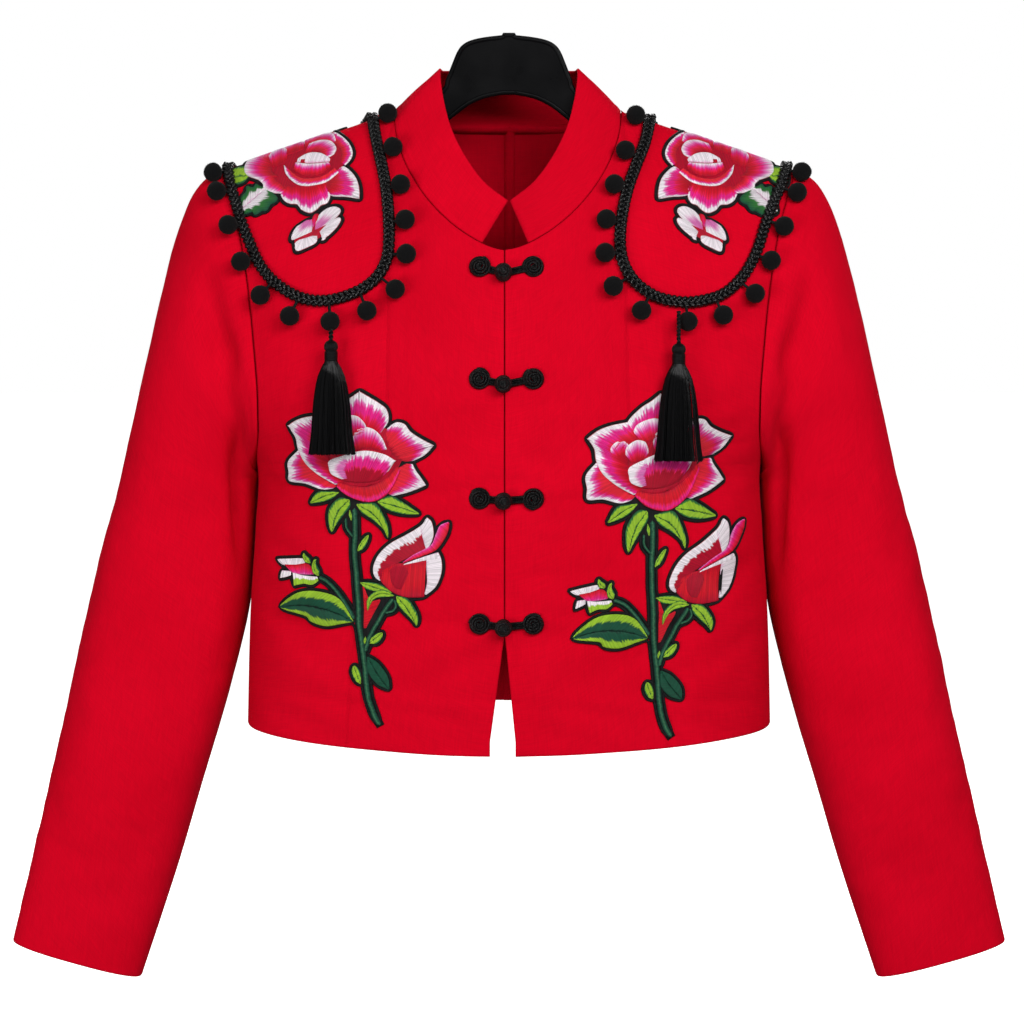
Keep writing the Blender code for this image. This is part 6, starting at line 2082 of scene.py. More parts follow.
CHEST_SPRAY = (
    # kind of piece, thread, layer, then its lines of points in millimetres: half width and drop
    ("stem", "stem", 0, ((-109.5, 338.5), (-109, 352.5), (-109.5, 369), (-108.5, 384.5), (-107.5, 402),
     (-106.5, 419.5), (-104.5, 438.5), (-102.5, 455), (-100.5, 472.5), (-97, 485), (-92, 494.5)), 4.4),
    ("stem", "stem", 0, ((-102.5, 441.5), (-99.5, 431.5), (-93.5, 420.5), (-88.5, 411.5), (-82, 402.5)),
     3.6),
    ("stem", "stem", 0, ((-110, 418), (-116, 408), (-122.5, 399), (-129, 392.5), (-136, 389)), 3.2),
    ("petal", "scarlet", 0, ((-103.9, 393.5), (-103.4, 409), (-103, 424.8)), ((-103.2, 393.5),
     (-98.4, 404.8), (-91, 403.5), (-96, 413.5), (-101.6, 424.8))),
    ("stem", "stem", 0, ((-115.5, 346), (-115, 353), (-110.5, 359)), 2.2),
    ("stem", "stem", 0, ((-88, 413), (-82.5, 411.5), (-80, 408), (-81, 403.5)), 2.2),
    ("leaf", "lime", 0, ((-107.5, 369.5), (-104, 363), (-99, 357)), ((-106.5, 365), (-102.5, 359)),
     ((-103, 367.5), (-100, 362))),
    ("leaf", "lime", 0, ((-111.5, 348), (-112, 344), (-113, 339.5)), ((-113.5, 344),), ((-111, 344),)),
    ("leaf", "lime", 0, ((-100, 435.5), (-95, 431.5), (-89.5, 427)), ((-98.5, 431.5), (-93.5, 427.5)),
     ((-94, 435.5), (-90, 431))),
    ("leaf", "lime", 0, ((-103, 438), (-102.5, 434), (-102, 430)), ((-104, 434),), ((-101, 434),)),
    ("leaf", "green", 0, ((-101, 444.5), (-94.5, 456), (-85, 468.5)), ((-101, 455), (-94, 464.5)),
     ((-93, 449.5), (-86, 459))),
    ("leaf", "lime", 0, ((-105.5, 465), (-108.5, 458.5), (-111, 451.5)), ((-109.5, 463), (-112.5, 456.5)),
     ((-105.5, 458.5), (-108, 453))),
    ("leaf", "lime", 0, ((-120, 327.5), (-130, 330.5), (-142, 336.5)), ((-127, 327), (-136, 328)),
     ((-125.5, 332.5), (-134, 335.5))),
    ("leaf", "lime", 0, ((-113, 332.5), (-121.5, 342), (-126, 357)), ((-120.5, 331.5), (-128, 339.5),
     (-128.5, 350)), ((-112.5, 337.5), (-117, 343.5), (-122.5, 351))),
    ("leaf", "lime", 0, ((-108.5, 335.5), (-94.5, 344), (-85.5, 360)), ((-104.5, 341.5), (-96, 347),
     (-89, 353)), ((-95, 334.5), (-88.5, 343), (-85, 352.5))),
    ("leaf", "lime", 0, ((-93.5, 333.5), (-80, 336.5), (-62.5, 342)), ((-84, 329), (-75.5, 333),
     (-68, 338)), ((-87.5, 338.5), (-79.5, 341.5), (-71, 342.5))),
    ("leaf", "leaf", 0, ((-110.5, 420), (-126.5, 413), (-145.5, 410), (-165.5, 413)), ((-115.5, 409.5),
     (-124, 402), (-136.5, 399), (-148, 400), (-158.5, 406)), ((-119, 422), (-131, 424.5), (-142, 422),
     (-145.5, 418), (-159, 415))),
    ("petal", "crimson", 0, ((-148, 299), (-134, 315.5), (-108.5, 324), (-82, 317)), ((-143, 281),
     (-117.5, 277.5), (-86.5, 281), (-72.5, 299))),
    ("petal", "warm", 1, ((-143.5, 302), (-136.5, 312), (-129, 319), (-121.5, 323)), ((-150, 298),
     (-158, 306.5), (-157, 315), (-156.5, 321.5), (-145.5, 322.5), (-133, 326), (-124.5, 325))),
    ("petal", "fair", 1, ((-121.5, 287), (-108, 287), (-92, 286.5)), ((-129.5, 281.5), (-128.5, 272),
     (-119.5, 263.5), (-112, 259.5), (-105.5, 255), (-105.5, 255), (-99.5, 258.5), (-92, 263), (-86, 268),
     (-85, 276.5), (-91, 285))),
    ("petal", "fair", 2, ((-121, 284), (-127, 296.5), (-125, 309.5), (-116, 320.5)), ((-128, 272.5),
     (-141.5, 273.5), (-150.5, 276), (-157.5, 280.5), (-157.5, 280.5), (-152.5, 288.5), (-151, 297.5),
     (-146.5, 306.5), (-136.5, 315), (-123, 322.5))),
    ("petal", "warm", 1, ((-87, 286.5), (-85, 294.5), (-80, 302), (-73.5, 305)), ((-86.5, 282), (-80, 277),
     (-73.5, 278), (-69, 283.5), (-60.5, 289), (-52.5, 293), (-52.5, 293), (-59, 300), (-68, 304.5))),
    ("petal", "warm", 1, ((-72.5, 306), (-81, 311.5), (-85, 319), (-88, 327)), ((-68, 306), (-66, 310.5),
     (-61.5, 316.5), (-58, 321.5), (-58, 321.5), (-70, 326.5), (-82.5, 329.5))),
    ("petal", "blush", 2, ((-118.5, 288), (-109, 288.5), (-101.5, 285.5)), ((-125, 281.5), (-122.5, 275.5),
     (-115, 272.5), (-107.5, 272.5), (-102, 277.5), (-100.5, 282))),
    ("petal", "blush", 2, ((-135.5, 297.5), (-129, 296.5)), ((-141, 293), (-141, 288.5), (-136.5, 284.5),
     (-130, 285), (-126.5, 289.5))),
    ("petal", "blush", 3, ((-125, 302.5), (-116.5, 301.5)), ((-130, 296.5), (-129.5, 290), (-123, 286),
     (-116.5, 287.5), (-114, 292.5), (-113.5, 297))),
    ("petal", "blush", 2, ((-109, 297), (-99, 296), (-90.5, 297.5)), ((-110.5, 290.5), (-109.5, 283),
     (-104.5, 280), (-96, 281.5), (-89.5, 287.5), (-85.5, 297))),
    ("petal", "bowl", 4, ((-121.5, 317.5), (-113, 320), (-102.5, 320.5), (-91.5, 318)), ((-127.5, 310),
     (-127.5, 305), (-119.5, 301.5), (-109, 298), (-99, 297), (-87.5, 299.5), (-80, 304), (-80, 304),
     (-85, 311.5))),
    ("petal", "lilac", 5, ((-113, 304.5), (-115.5, 311), (-114, 318)), ((-117.5, 302), (-126.5, 306),
     (-127.5, 310.5), (-125.5, 315), (-117.5, 318.5))),
    ("petal", "lip", 6, ((-121.5, 320), (-110, 322.5), (-99, 322.5), (-86.5, 316.5), (-79, 308)),
     ((-122.5, 323), (-114, 330), (-102.5, 334), (-93.5, 333), (-85, 327.5), (-80, 319.5), (-76.5, 310.5))),
    ("petal", "snow", 1, ((-61, 356.5), (-59, 368), (-73.5, 374.5), (-83.5, 380.5), (-90, 388.5)),
     ((-58.5, 344), (-62, 349.5), (-73, 356.5), (-84.5, 363), (-92.5, 371), (-96.5, 380), (-96, 386.5),
     (-91.5, 390.5))),
    ("petal", "white", 2, ((-62.5, 353.5), (-60, 362.5), (-58.5, 367.5)), ((-58.5, 343.5), (-54.5, 347),
     (-53, 355), (-54.5, 361.5), (-58, 367))),
    ("petal", "red", 1, ((-91.5, 389.5), (-84.5, 397), (-73.5, 401.5), (-59.5, 401.5)), ((-90.5, 382),
     (-84.5, 377), (-73.5, 376.5), (-58, 373.5))),
    ("petal", "crimson", 2, ((-84, 389.5), (-80.5, 395), (-75.5, 396)), ((-85.5, 383), (-80.5, 378.5),
     (-73, 379), (-70.5, 385))),
    ("petal", "white", 1, ((-58.5, 372), (-58.5, 381.5), (-58, 390), (-60, 399.5)), ((-50, 368.5),
     (-47.5, 374.5), (-47.5, 383.5), (-51.5, 393.5), (-59, 400))),
    ("petal", "white", 2, ((-75.5, 378), (-62.5, 373), (-50, 369)), ((-75.5, 378.5), (-59.5, 375),
     (-49.5, 373.5))),
    ("petal", "rosy", 3, ((-42, 347), (-48.5, 349.5), (-51.5, 355.5), (-55.5, 364), (-67, 370.5),
     (-75.5, 376.5)), ((-42, 347), (-42.5, 353), (-45.5, 360), (-51.5, 367.5), (-61.5, 372), (-75, 377))),
    ("leaf", "lime", 1, ((-82.5, 398.5), (-94.5, 395), (-106, 391.5)), ((-90, 393), (-98.5, 391)),
     ((-91, 398), (-100.5, 396.5))),
    ("leaf", "lime", 2, ((-81, 400.5), (-90, 399), (-97.5, 403), (-100.5, 412.5)), ((-88.5, 396),
     (-96.5, 398.5), (-101, 404.5)), ((-86, 401.5), (-94, 402.5), (-98, 406.5))),
    ("leaf", "lime", 2, ((-80, 400.5), (-72.5, 409), (-65.5, 422.5)), ((-79, 406.5), (-73.5, 413),
     (-68, 418.5)), ((-72, 402), (-66, 410), (-64, 417))),
    ("petal", "white", 0, ((-163, 382), (-156, 382.5), (-147, 381)), ((-168, 378.5), (-168, 378.5),
     (-157, 377), (-147, 376.5), (-146.5, 380.5))),
    ("petal", "rosy", 1, ((-155.5, 387), (-148, 388), (-140, 387.5)), ((-162, 381.5), (-153.5, 381),
     (-145.5, 379.5), (-140.5, 383), (-139.5, 387))),
    ("petal", "white", 1, ((-162.5, 386), (-155.5, 386)), ((-164, 392), (-160, 391), (-155.5, 389))),
    ("petal", "lily", 1, ((-155.5, 386.5), (-148, 388.5), (-137, 389)), ((-153, 396.5), (-153, 396.5),
     (-146.5, 394.5), (-140.5, 395), (-136, 391.5))),
    ("leaf", "lime", 2, ((-142, 379.5), (-145.5, 376.5), (-147, 372)), ((-146, 379), (-148, 375)),
     ((-142, 376.5), (-145.5, 373.5))),
    ("leaf", "lime", 2, ((-136, 388.5), (-139.5, 382.5), (-137, 376)), ((-140, 386.5), (-141, 381.5),
     (-139.5, 377)), ((-135, 384.5), (-137.5, 379.5))),
)
SHOULDER_SPRAY = (
    # the same, by half width and distance down from the shoulder line
    ("leaf", "lime", 0, ((188.5, 21), (195.5, 18), (203, 16)), ((192, 10), (198.5, 7), (203, 9)),
     ((191.5, 25), (197, 24.5), (201.5, 22))),
    ("leaf", "pale", 0, ((174.5, 38), (184, 43), (194, 48.5)), ((179, 35), (183, 30.5), (185, 32.5),
     (190, 29), (190.5, 34), (194, 37), (193, 42)), ((166, 51), (168, 54.5), (171, 54), (174, 58.5),
     (177.5, 56.5), (182, 58), (184.5, 54), (190, 53))),
    ("petal", "crimson", 0, ((187, 21), (164.5, 46), (137.5, 58), (120, 50)), ((184, -12), (160, -17),
     (137, -13), (117, 24))),
    ("petal", "fair", 1, ((132, -6), (142, -9), (152, -8)), ((119, -2), (126, -13), (136, -18), (147, -17),
     (154, -14))),
    ("petal", "fair", 1, ((155, -9), (165, -8), (173, -4)), ((152, -15), (160, -19), (170, -18), (180, -13),
     (184, -5))),
    ("petal", "fair", 1, ((131, 12), (124, 22), (121, 31), (122, 39)), ((128, 4), (121.5, 13), (115.5, 23),
     (112.5, 33), (114, 39.5), (118, 43))),
    ("petal", "fair", 1, ((127, 47.5), (132, 53.5), (130.5, 61)), ((123.5, 46), (119, 43), (113, 50),
     (108.5, 59), (106.5, 69), (106.5, 76), (106.5, 76), (116, 70.5), (125, 66.5), (129.5, 63))),
    ("petal", "fair", 1, ((164, 42.5), (155, 45), (143, 49), (130, 52)), ((164.5, 48.5), (162, 55),
     (157.5, 60), (152, 63), (148.5, 69), (142.5, 74), (137.5, 73), (134.5, 70.5), (130.5, 70.5),
     (128.5, 67), (127.5, 59))),
    ("petal", "blush", 2, ((175, 24), (167, 36), (159, 47.5)), ((181.5, 28), (178, 33.5), (177, 38),
     (170.5, 44.5), (163, 48.5))),
    ("petal", "blush", 3, ((166, 12), (171, 18), (171, 26), (166, 33)), ((176, -3), (184, -6), (191, 2),
     (193, 12), (190, 20), (181, 28.5))),
    ("petal", "blush", 3, ((148.5, 13.5), (139, 14), (129, 18)), ((150, 1), (142, -1), (134, 1), (127.5, 8),
     (125, 18))),
    ("petal", "blush", 3, ((163.5, 14), (156, 15), (149, 14)), ((166, 3), (161, -3), (154, -2),
     (148.5, 6))),
    ("petal", "blush", 4, ((172.5, 21), (166, 22.5), (160.5, 20)), ((175, 10), (172, 2), (166, 1),
     (161, 9))),
    ("petal", "blush", 4, ((148.5, 20), (139.5, 21), (134, 28)), ((146, 11), (137, 11), (128.5, 16),
     (124.5, 24), (126, 29.5), (131, 31))),
    ("petal", "warm", 4, ((157.5, 32), (148.5, 42), (135, 46), (125, 42)), ((163, 22.5), (160.5, 34),
     (150, 48), (133, 53), (121.5, 47))),
    ("petal", "blush", 5, ((156.5, 30.5), (147.5, 40.5), (136, 44), (127.5, 40)), ((155, 25), (143.5, 31),
     (129, 36))),
    ("petal", "white", 5, ((154, 25), (142.5, 30.5), (129, 35)), ((153.5, 23), (145, 20.5), (136, 24.5),
     (128.5, 33))),
    ("petal", "crimson", 6, ((151, 27), (147, 29)), ((150.5, 24.5), (146.5, 26))),
    ("petal", "crimson", 0, ((152, 83.3), (152, 96), (137, 97), (124, 90.1)), ((145, 79.8), (137, 79),
     (128, 77.2), (122, 81.5))),
    ("petal", "lilac", 1, ((144.5, 78.5), (139.2, 79.8)), ((151, 80.1), (154.6, 84.5), (155.2, 90.3),
     (148, 90.7), (139.6, 90))),
    ("petal", "lilac", 1, ((138.4, 89.3),), ((137.9, 83.3), (135.6, 77.8), (130.8, 74.5), (125.3, 74.2),
     (121, 77.2), (120, 80.9), (123.4, 85), (129.4, 88.4))),
    ("petal", "rosy", 2, ((139.5, 86.7),), ((141, 80.7), (139.5, 76.4), (136, 76.8), (136.8, 82.4))),
    ("petal", "white", 1, ((134.9, 91.9),), ((128, 86.2), (121, 85.2), (119.6, 88.4), (122.6, 93.2),
     (128.7, 97.4), (133.6, 98.4))),
    ("petal", "white", 1, ((150, 92.2), (140, 93)), ((152.6, 92.4), (151.6, 100), (144, 100.6), (137, 99.2),
     (136.6, 93.6))),
    ("petal", "white", 2, ((133.2, 97.5),), ((134.6, 95), (131.6, 94.2), (129.8, 96.6), (131.2, 99.4),
     (134.2, 99))),
)


def stitch_group():
    """Satin stitches on a UV of metres along and a share across: height, tone and share of the colours."""
    group, start, end = shader_group(
        "satin_stitches",
        (("UV", "NodeSocketVector", None), ("Pitch", "NodeSocketFloat", 0.0004)),
        (("Height", "NodeSocketFloat"), ("Share", "NodeSocketFloat"), ("Tone", "NodeSocketFloat")),
    )
    wires = Wires(group)
    parts = wires.node("ShaderNodeSeparateXYZ", {0: start.outputs["UV"]})
    thread = wires.math("DIVIDE", parts.outputs[0], start.outputs["Pitch"])
    height = wires.math("ABSOLUTE", wires.math("SINE", wires.math("MULTIPLY", thread, math.pi)))
    pair = wires.math("FLOOR", wires.math("MULTIPLY", thread, 0.5))
    random = wires.node("ShaderNodeTexWhiteNoise", {"W": pair}, noise_dimensions="1D").outputs["Value"]
    single = wires.math("FLOOR", thread)
    tone = wires.node("ShaderNodeTexWhiteNoise", {"W": single}, noise_dimensions="1D").outputs["Value"]
    slow = wires.noise(wires.node("ShaderNodeCombineXYZ", {0: thread}).outputs[0], 0.11)
    drift = wires.math("ADD", wires.math("SUBTRACT", random, 0.5), wires.math("SUBTRACT", slow, 0.5))
    share = wires.math("ADD", parts.outputs[1], wires.math("MULTIPLY", drift, 0.15))
    share = wires.math("MINIMUM", share, 0.95)
    edge = wires.math("GREATER_THAN", parts.outputs[1], 0.955)
    within = wires.math("MULTIPLY", share, wires.math("SUBTRACT", 1.0, edge))
    rim = wires.math("MULTIPLY", parts.outputs[1], edge)
    wires.set(end.inputs["Height"], height)
    wires.set(end.inputs["Share"], wires.math("ADD", within, rim))
    wires.set(end.inputs["Tone"], tone)
    return group


def stitched_thread(name):
    """Satin embroidery thread whose colour changes from the base of a piece to its rim."""

    def build(wires, shader):
        settings = embroidery_settings()
        stitch = wires.group(shared(stitch_group), UV=wires.uv(), Pitch=settings.stitch_pitch)
        tone = wires.ramp(stitch["Share"], THREADS[name])
        # Painted shade: each stitch is darker in the groove beside the next one, down to about half its
        # colour; the tone also changes at random thread by thread.
        grain = wires.range(stitch["Height"], 0.0, 0.8, 0.52, 1.0)
        shade = wires.math("MULTIPLY", grain, wires.range(stitch["Tone"], 0.0, 1.0, 0.72, 1.14))
        wires.set(shader.inputs["Base Color"], wires.mix(1.0, tone, shade, "MULTIPLY"))
        wires.set(shader.inputs["Roughness"], wires.range(stitch["Tone"], 0.0, 1.0, 0.48, 0.62))
        set_finish(shader, 0.16, 0.02)
        wire_bump(wires, shader, stitch["Height"], 0.00016, 0.9)

    return new_material(f"thread_{name}", build)


def border_thread():
    """Black satin thread of the ground and the corded edge of a patch."""

    def build(wires, shader):
        settings = embroidery_settings()
        stitch = wires.group(shared(stitch_group), UV=wires.uv(), Pitch=settings.stitch_pitch)
        tone = wires.mix(stitch["Tone"], (0.0028, 0.0028, 0.0030, 1.0), (0.0090, 0.0090, 0.0096, 1.0))
        wires.set(shader.inputs["Base Color"], tone)
        wires.set(shader.inputs["Roughness"], wires.range(stitch["Tone"], 0.0, 1.0, 0.52, 0.66))
        set_finish(shader, 0.12)
        wire_bump(wires, shader, stitch["Height"], 0.00016, 0.9)

    return new_material("border_thread", build)


def flat_route(points, count, closed=False):
    """Even points on a smooth curve through a few points of a pattern in millimetres, in metres."""
    if len(points) == 1:
        return np.repeat(np.array(points, dtype=float) * MM, count, axis=0)
    return even_route([(a * MM, b * MM, 0.0) for a, b in points], count, closed)[:, :2]


def stitch_halves(piece):
    """Base and rim of each field of stitches in a piece: one in a petal, two in a leaf."""
    kind, _, _, first, *rest = piece
    if kind == "leaf":
        return [(first, (first[0], *edge, first[-1])) for edge in rest]
    return [(first, rest[0])]


def stitch_field(base, rim, lift, crown, slant, place):
    """Points, quads and UVs of a field of stitches between its base and its rim, raised on the ground."""
    rough = np.array(rim) * MM
    length = np.linalg.norm(np.diff(rough, axis=0), axis=-1).sum()
    columns = max(9, int(length / STITCH_SPACING) + 1)
    low = flat_route(base, columns)
    high = flat_route(rim, columns)
    share = STITCH_ROWS[:, None]
    flat = low[None] * (1 - share)[..., None] + high[None] * share[..., None]
    depth = np.linalg.norm(high - low, axis=-1)[None, :]
    across = np.linspace(0.0, 1.0, columns)[None, :]
    widths = np.linalg.norm(np.diff(flat, axis=1), axis=-1).sum(axis=1)[:, None]
    edge = np.minimum(np.minimum(share, 1 - share) * depth, np.minimum(across, 1 - across) * widths)
    swell = np.sqrt(1 - (1 - np.clip(edge / STITCH_ROUND, 0.0, 1.0)) ** 2)
    rise = lift + crown * swell
    rise = np.where(border_mask(*edge.shape, False), GROUND_LIFT, rise)
    points, normals = place(flat[..., 0], flat[..., 1])
    points = points + normals * rise[..., None]
    uvs = np.stack((across * length + slant * share * depth, share + 0 * across), axis=-1)
    quads = grid_faces(*edge.shape, False)
    return points, normals, quads, uvs


def ridge(points, normals, width, height, closed):
    """Points, quads and UVs of a rounded ridge along a path that lies on the cloth."""
    rows = len(points)
    if closed:
        ahead = np.roll(points, -1, axis=0) - np.roll(points, 1, axis=0)
    else:
        ahead = np.gradient(points, axis=0)
    out = unit(np.cross(ahead, normals))
    along = walked_along(points)
    half = np.broadcast_to(np.asarray(width) / 2, (rows,)).copy()
    rise = np.full(rows, height)
    if not closed:
        ends = np.minimum(along, along[-1] - along) / half
        ends = np.sqrt(1 - (1 - np.clip(ends, 0.0, 1.0)) ** 2)
        half *= np.maximum(ends, RIDGE_END_WIDTH)
        rise *= np.maximum(ends, RIDGE_END_HEIGHT)
    section = np.array(RIDGE_SECTION)
    grid = (
        points[:, None]
        + out[:, None] * (half[:, None] * section[None, :, 0])[..., None]
        + normals[:, None] * (GROUND_LIFT + rise[:, None] * section[None, :, 1])[..., None]
    )
    count = len(section)
    r, c = np.meshgrid(np.arange(rows if closed else rows - 1), np.arange(count), indexing="ij")
    n = (r + 1) % rows
    d = (c + 1) % count
    quads = np.stack((r * count + c, r * count + d, n * count + d, n * count + c), axis=-1).reshape(-1, 4)
    uvs = np.stack(np.broadcast_arrays(along[:, None], (section[None, :, 0] + 1) / 2), axis=-1)
    return grid, quads, uvs


def outline_of(piece):
    """Closed outline of a piece in its pattern, at even distances."""
    kind, _, _, first, *rest = piece
    if kind == "stem":
        line = flat_route(first, 40)
        ahead = unit(np.gradient(line, axis=0))
        aside = np.stack((-ahead[:, 1], ahead[:, 0]), axis=-1) * rest[0] * MM / 2
        return np.concatenate((line + aside, (line - aside)[::-1]))
    if kind == "leaf":
        one = flat_route((first[0], *rest[0], first[-1]), 40)
        other = flat_route((first[0], *rest[1], first[-1]), 40)
        return np.concatenate((one, other[-2:0:-1]))
    rim = flat_route(rest[0], 60)
    base = flat_route(first, 24)[::-1] if len(first) > 1 else flat_route(first, 1)
    return np.concatenate((rim, base))


def grown_outline(outline, distance):
    """An outline moved outward, as a convex blob round each of its points would reach."""
    area = np.sum(outline[:, 0] * np.roll(outline[:, 1], -1) - np.roll(outline[:, 0], -1) * outline[:, 1])
    ahead = unit(np.roll(outline, -1, axis=0) - np.roll(outline, 1, axis=0))
    outward = np.stack((ahead[:, 1], -ahead[:, 0]), axis=-1) * (1 if area > 0 else -1)
    return outline + outward * distance


def inside_outline(spots, outline):
    """Whether points lie in an outline."""
    hit = np.zeros(len(spots), dtype=bool)
    for a, b in zip(outline, np.roll(outline, -1, axis=0)):
        cuts = (a[1] > spots[:, 1]) != (b[1] > spots[:, 1])
        place = a[0] + (spots[:, 1] - a[1]) / (b[1] - a[1] if b[1] != a[1] else 1e-12) * (b[0] - a[0])
        hit ^= cuts & (spots[:, 0] < place)
    return hit


def union_of(pieces, distance):
    """Triangles over the union of all pieces' outlines, each grown by a distance, and the loops round it."""
    outlines = [grown_outline(outline_of(piece), distance) for piece in pieces]
    corners = [Vector(point) for outline in outlines for point in outline.tolist()]
    loops = []
    start = 0
    for outline in outlines:
        loops.append(list(range(start, start + len(outline))))
        start += len(outline)
    every = np.concatenate(outlines)
    low, high = every.min(axis=0), every.max(axis=0)
    xs = np.arange(low[0], high[0], GROUND_SPACING)
    ys = np.arange(low[1], high[1], GROUND_SPACING)
    spots = np.stack(np.meshgrid(xs, ys), axis=-1).reshape(-1, 2)
    held = np.zeros(len(spots), dtype=bool)
    for outline in outlines:
        held |= inside_outline(spots, outline)
    corners += [Vector(spot) for spot in spots[held].tolist()]
    flat, _, triangles, *_ = delaunay_2d_cdt(corners, [], loops, 1, 0.00005)
    flat = np.array([(point.x, point.y) for point in flat])
    edges = set()
    for a, b, c in triangles:
        edges |= {(a, b), (b, c), (c, a)}
    following = {}
    for a, b in edges:
        if (b, a) not in edges:
            following.setdefault(a, []).append(b)
    rounds = []
    while following:
        start = next(iter(following))
        loop = [start]
        while following.get(loop[-1]):
            step = following[loop[-1]].pop()
            if not following[loop[-1]]:
                del following[loop[-1]]
            if step == start:
                break
            loop.append(step)
        if len(loop) > 5:
            rounds.append(flat[loop])
    return flat, triangles, rounds


def eased_loop(loop, spacing):
    """A closed loop smoothed a little and brought to even distances."""
    for _ in range(3):
        loop = loop * 0.5 + (np.roll(loop, 1, axis=0) + np.roll(loop, -1, axis=0)) * 0.25
    line = np.concatenate((loop, loop[:1]))
    walked = walked_along(line)
    wanted = np.linspace(0.0, walked[-1], max(8, int(walked[-1] / spacing)) + 1)[:-1]
    return spots_along(line, walked, wanted)


def make_spray(name, node, pieces, place):
    """A patch: its black ground with a corded edge, and the stitching that lies on it."""
    border = embroidery_settings().border
    spots, triangles, rounds = union_of(pieces, border / 2)
    points, normals = place(spots[:, 0], spots[:, 1])
    used = sorted({k for triangle in triangles for k in triangle})
    order = {k: n for n, k in enumerate(used)}
    top = points[used] + normals[used] * (GROUND_LIFT + GROUND_WALL)
    low = points[used] + normals[used] * GROUND_LIFT
    count = len(used)
    faces = []
    edges = set()
    for triangle in triangles:
        a, b, c = (order[k] for k in triangle)
        faces += [(a, b, c), (c + count, b + count, a + count)]
        edges |= {(a, b), (b, c), (c, a)}
    faces += [(b, a, a + count, b + count) for a, b in edges if (b, a) not in edges]
    a, b, c = faces[0]
    if np.dot(np.cross(top[b] - top[a], top[c] - top[a]), normals[used[a]]) < 0:
        faces = [face[::-1] for face in faces]
    parts = [(np.concatenate((top, low)), faces, np.tile(spots[used], (2, 1)))]
    for loop in rounds:
        loop = eased_loop(loop, BORDER_STEP)
        path, path_normals = place(loop[:, 0], loop[:, 1])
        parts.append(ridge(path, path_normals, border, BORDER_HEIGHT, True))
    ground = join_parts(f"ground_{name}", parts, border_thread())
    turn_outward(ground)
    finish_piece(ground, "rose_thread", node)

    fields = []
    slots = []
    threads = []
    for piece in pieces:
        kind, thread, level, first, *rest = piece
        if thread not in threads:
            threads.append(thread)
        if kind == "stem":
            line = flat_route(first, max(8, int(len(first) * 9)))
            path, path_normals = place(line[:, 0], line[:, 1])
            made = [ridge(path, path_normals, rest[0] * MM, GROUND_WALL + STEM_HEIGHT, False)]
        else:
            made = []
            lift = GROUND_LIFT + GROUND_WALL + LAYER_STEP * (level + 1)
            crown, slant = (LEAF_CROWN, STITCH_SLANT) if kind == "leaf" else (PETAL_CROWN, 0.0)
            for base, rim in stitch_halves(piece):
                grid, field_normals, quads, uvs = stitch_field(base, rim, lift, crown, slant, place)
                made.append((grid, facing(grid, field_normals, quads), uvs))
        fields += made
        slots += [threads.index(thread)] * sum(len(quads) for _, quads, _ in made)
    stitching = join_parts(f"stitching_{name}", fields, stitched_thread(threads[0]))
    for thread in threads[1:]:
        stitching.data.materials.append(stitched_thread(thread))
    stitching.data.polygons.foreach_set("material_index", slots)
    finish_piece(stitching, "rose_thread")
    return ground


def facing(grid, normals, quads):
    """Quads turned so that most of them face along the normals."""
    points = grid.reshape(-1, 3)
    spans = points[quads]
    cross = np.cross(spans[:, 2] - spans[:, 0], spans[:, 3] - spans[:, 1])
    agree = np.einsum("ij,ij->i", cross, normals.reshape(-1, 3)[quads[:, 0]]).sum()
    return quads if agree > 0 else quads[:, ::-1]


def turn_outward(made):
    """Turn the faces of closed shells outward."""
    shape = bmesh.new()
    shape.from_mesh(made.data)
    bmesh.ops.recalc_face_normals(shape, faces=shape.faces)
    shape.to_mesh(made.data)
    shape.free()


def make_chest_spray(side):
    """The spray on a front; the left one hangs a little lower and turned outward."""

    def place(x, drop):
        if side == RIGHT:
            return cloth_point(x, drop)
        fall = smooth_step((drop - SPRAY_SINK_START) / SPRAY_SINK_REACH)
        sink = SPRAY_SINK[0] + (SPRAY_SINK[1] - SPRAY_SINK[0]) * fall
        across = SPRAY_SHIFT - SPRAY_DRIFT * (drop - SPRAY_SINK_START)
        return cloth_point(x + across, drop + sink - SPRAY_TURN * (x - SPRAY_MIDDLE))

    name = SIDE_NAMES[side]
    make_spray(f"chest_{name}", f"chest_rose_{name}", CHEST_SPRAY, place)


def make_shoulder_spray(side):
    def place(half, down):
        return drape(side * half, down)

    name = SIDE_NAMES[side]
    make_spray(
        f"shoulder_{name}", f"shoulder_rose_{name}", SHOULDER_SPRAY, place,
    )


# ---- stage ----
CAMERA_PLACE = (0.00222, -2.28740, -0.11068)
CAMERA_TILT = 84.0
CAMERA_LENS = 109.27
CAMERA_SENSOR = 36.0
STAGE_RADIUS = 12.0
STAGE_SIDES = 64
STAGE_GLOW = 1.0  # the paper shines a little, so that it is as white as the surroundings
STAGE_AMBIENT = 0.20  # light of the surroundings on the jacket
LAMPS = (
    # name, place, what it faces, width and height, share of the key light's power
    ("soft_key", (1.3, -2.1, 0.9), (0.0, 0.0, -0.40), (1.2, 1.0), 0.92),
    ("soft_front", (0.0, -2.7, 0.95), (0.0, 0.0, -0.50), (1.6, 0.6), 0.62),
    ("soft_fill", (-1.6, -2.1, -0.8), (0.0, 0.0, -0.75), (1.4, 1.2), 0.90),
    ("soft_top", (0.0, 0.4, 2.0), (0.0, 0.0, -0.3), (2.4, 1.6), 0.10),
    ("soft_back", (0.0, 2.4, 0.9), (0.0, 0.0, -0.35), (2.0, 1.2), 0.8),
)


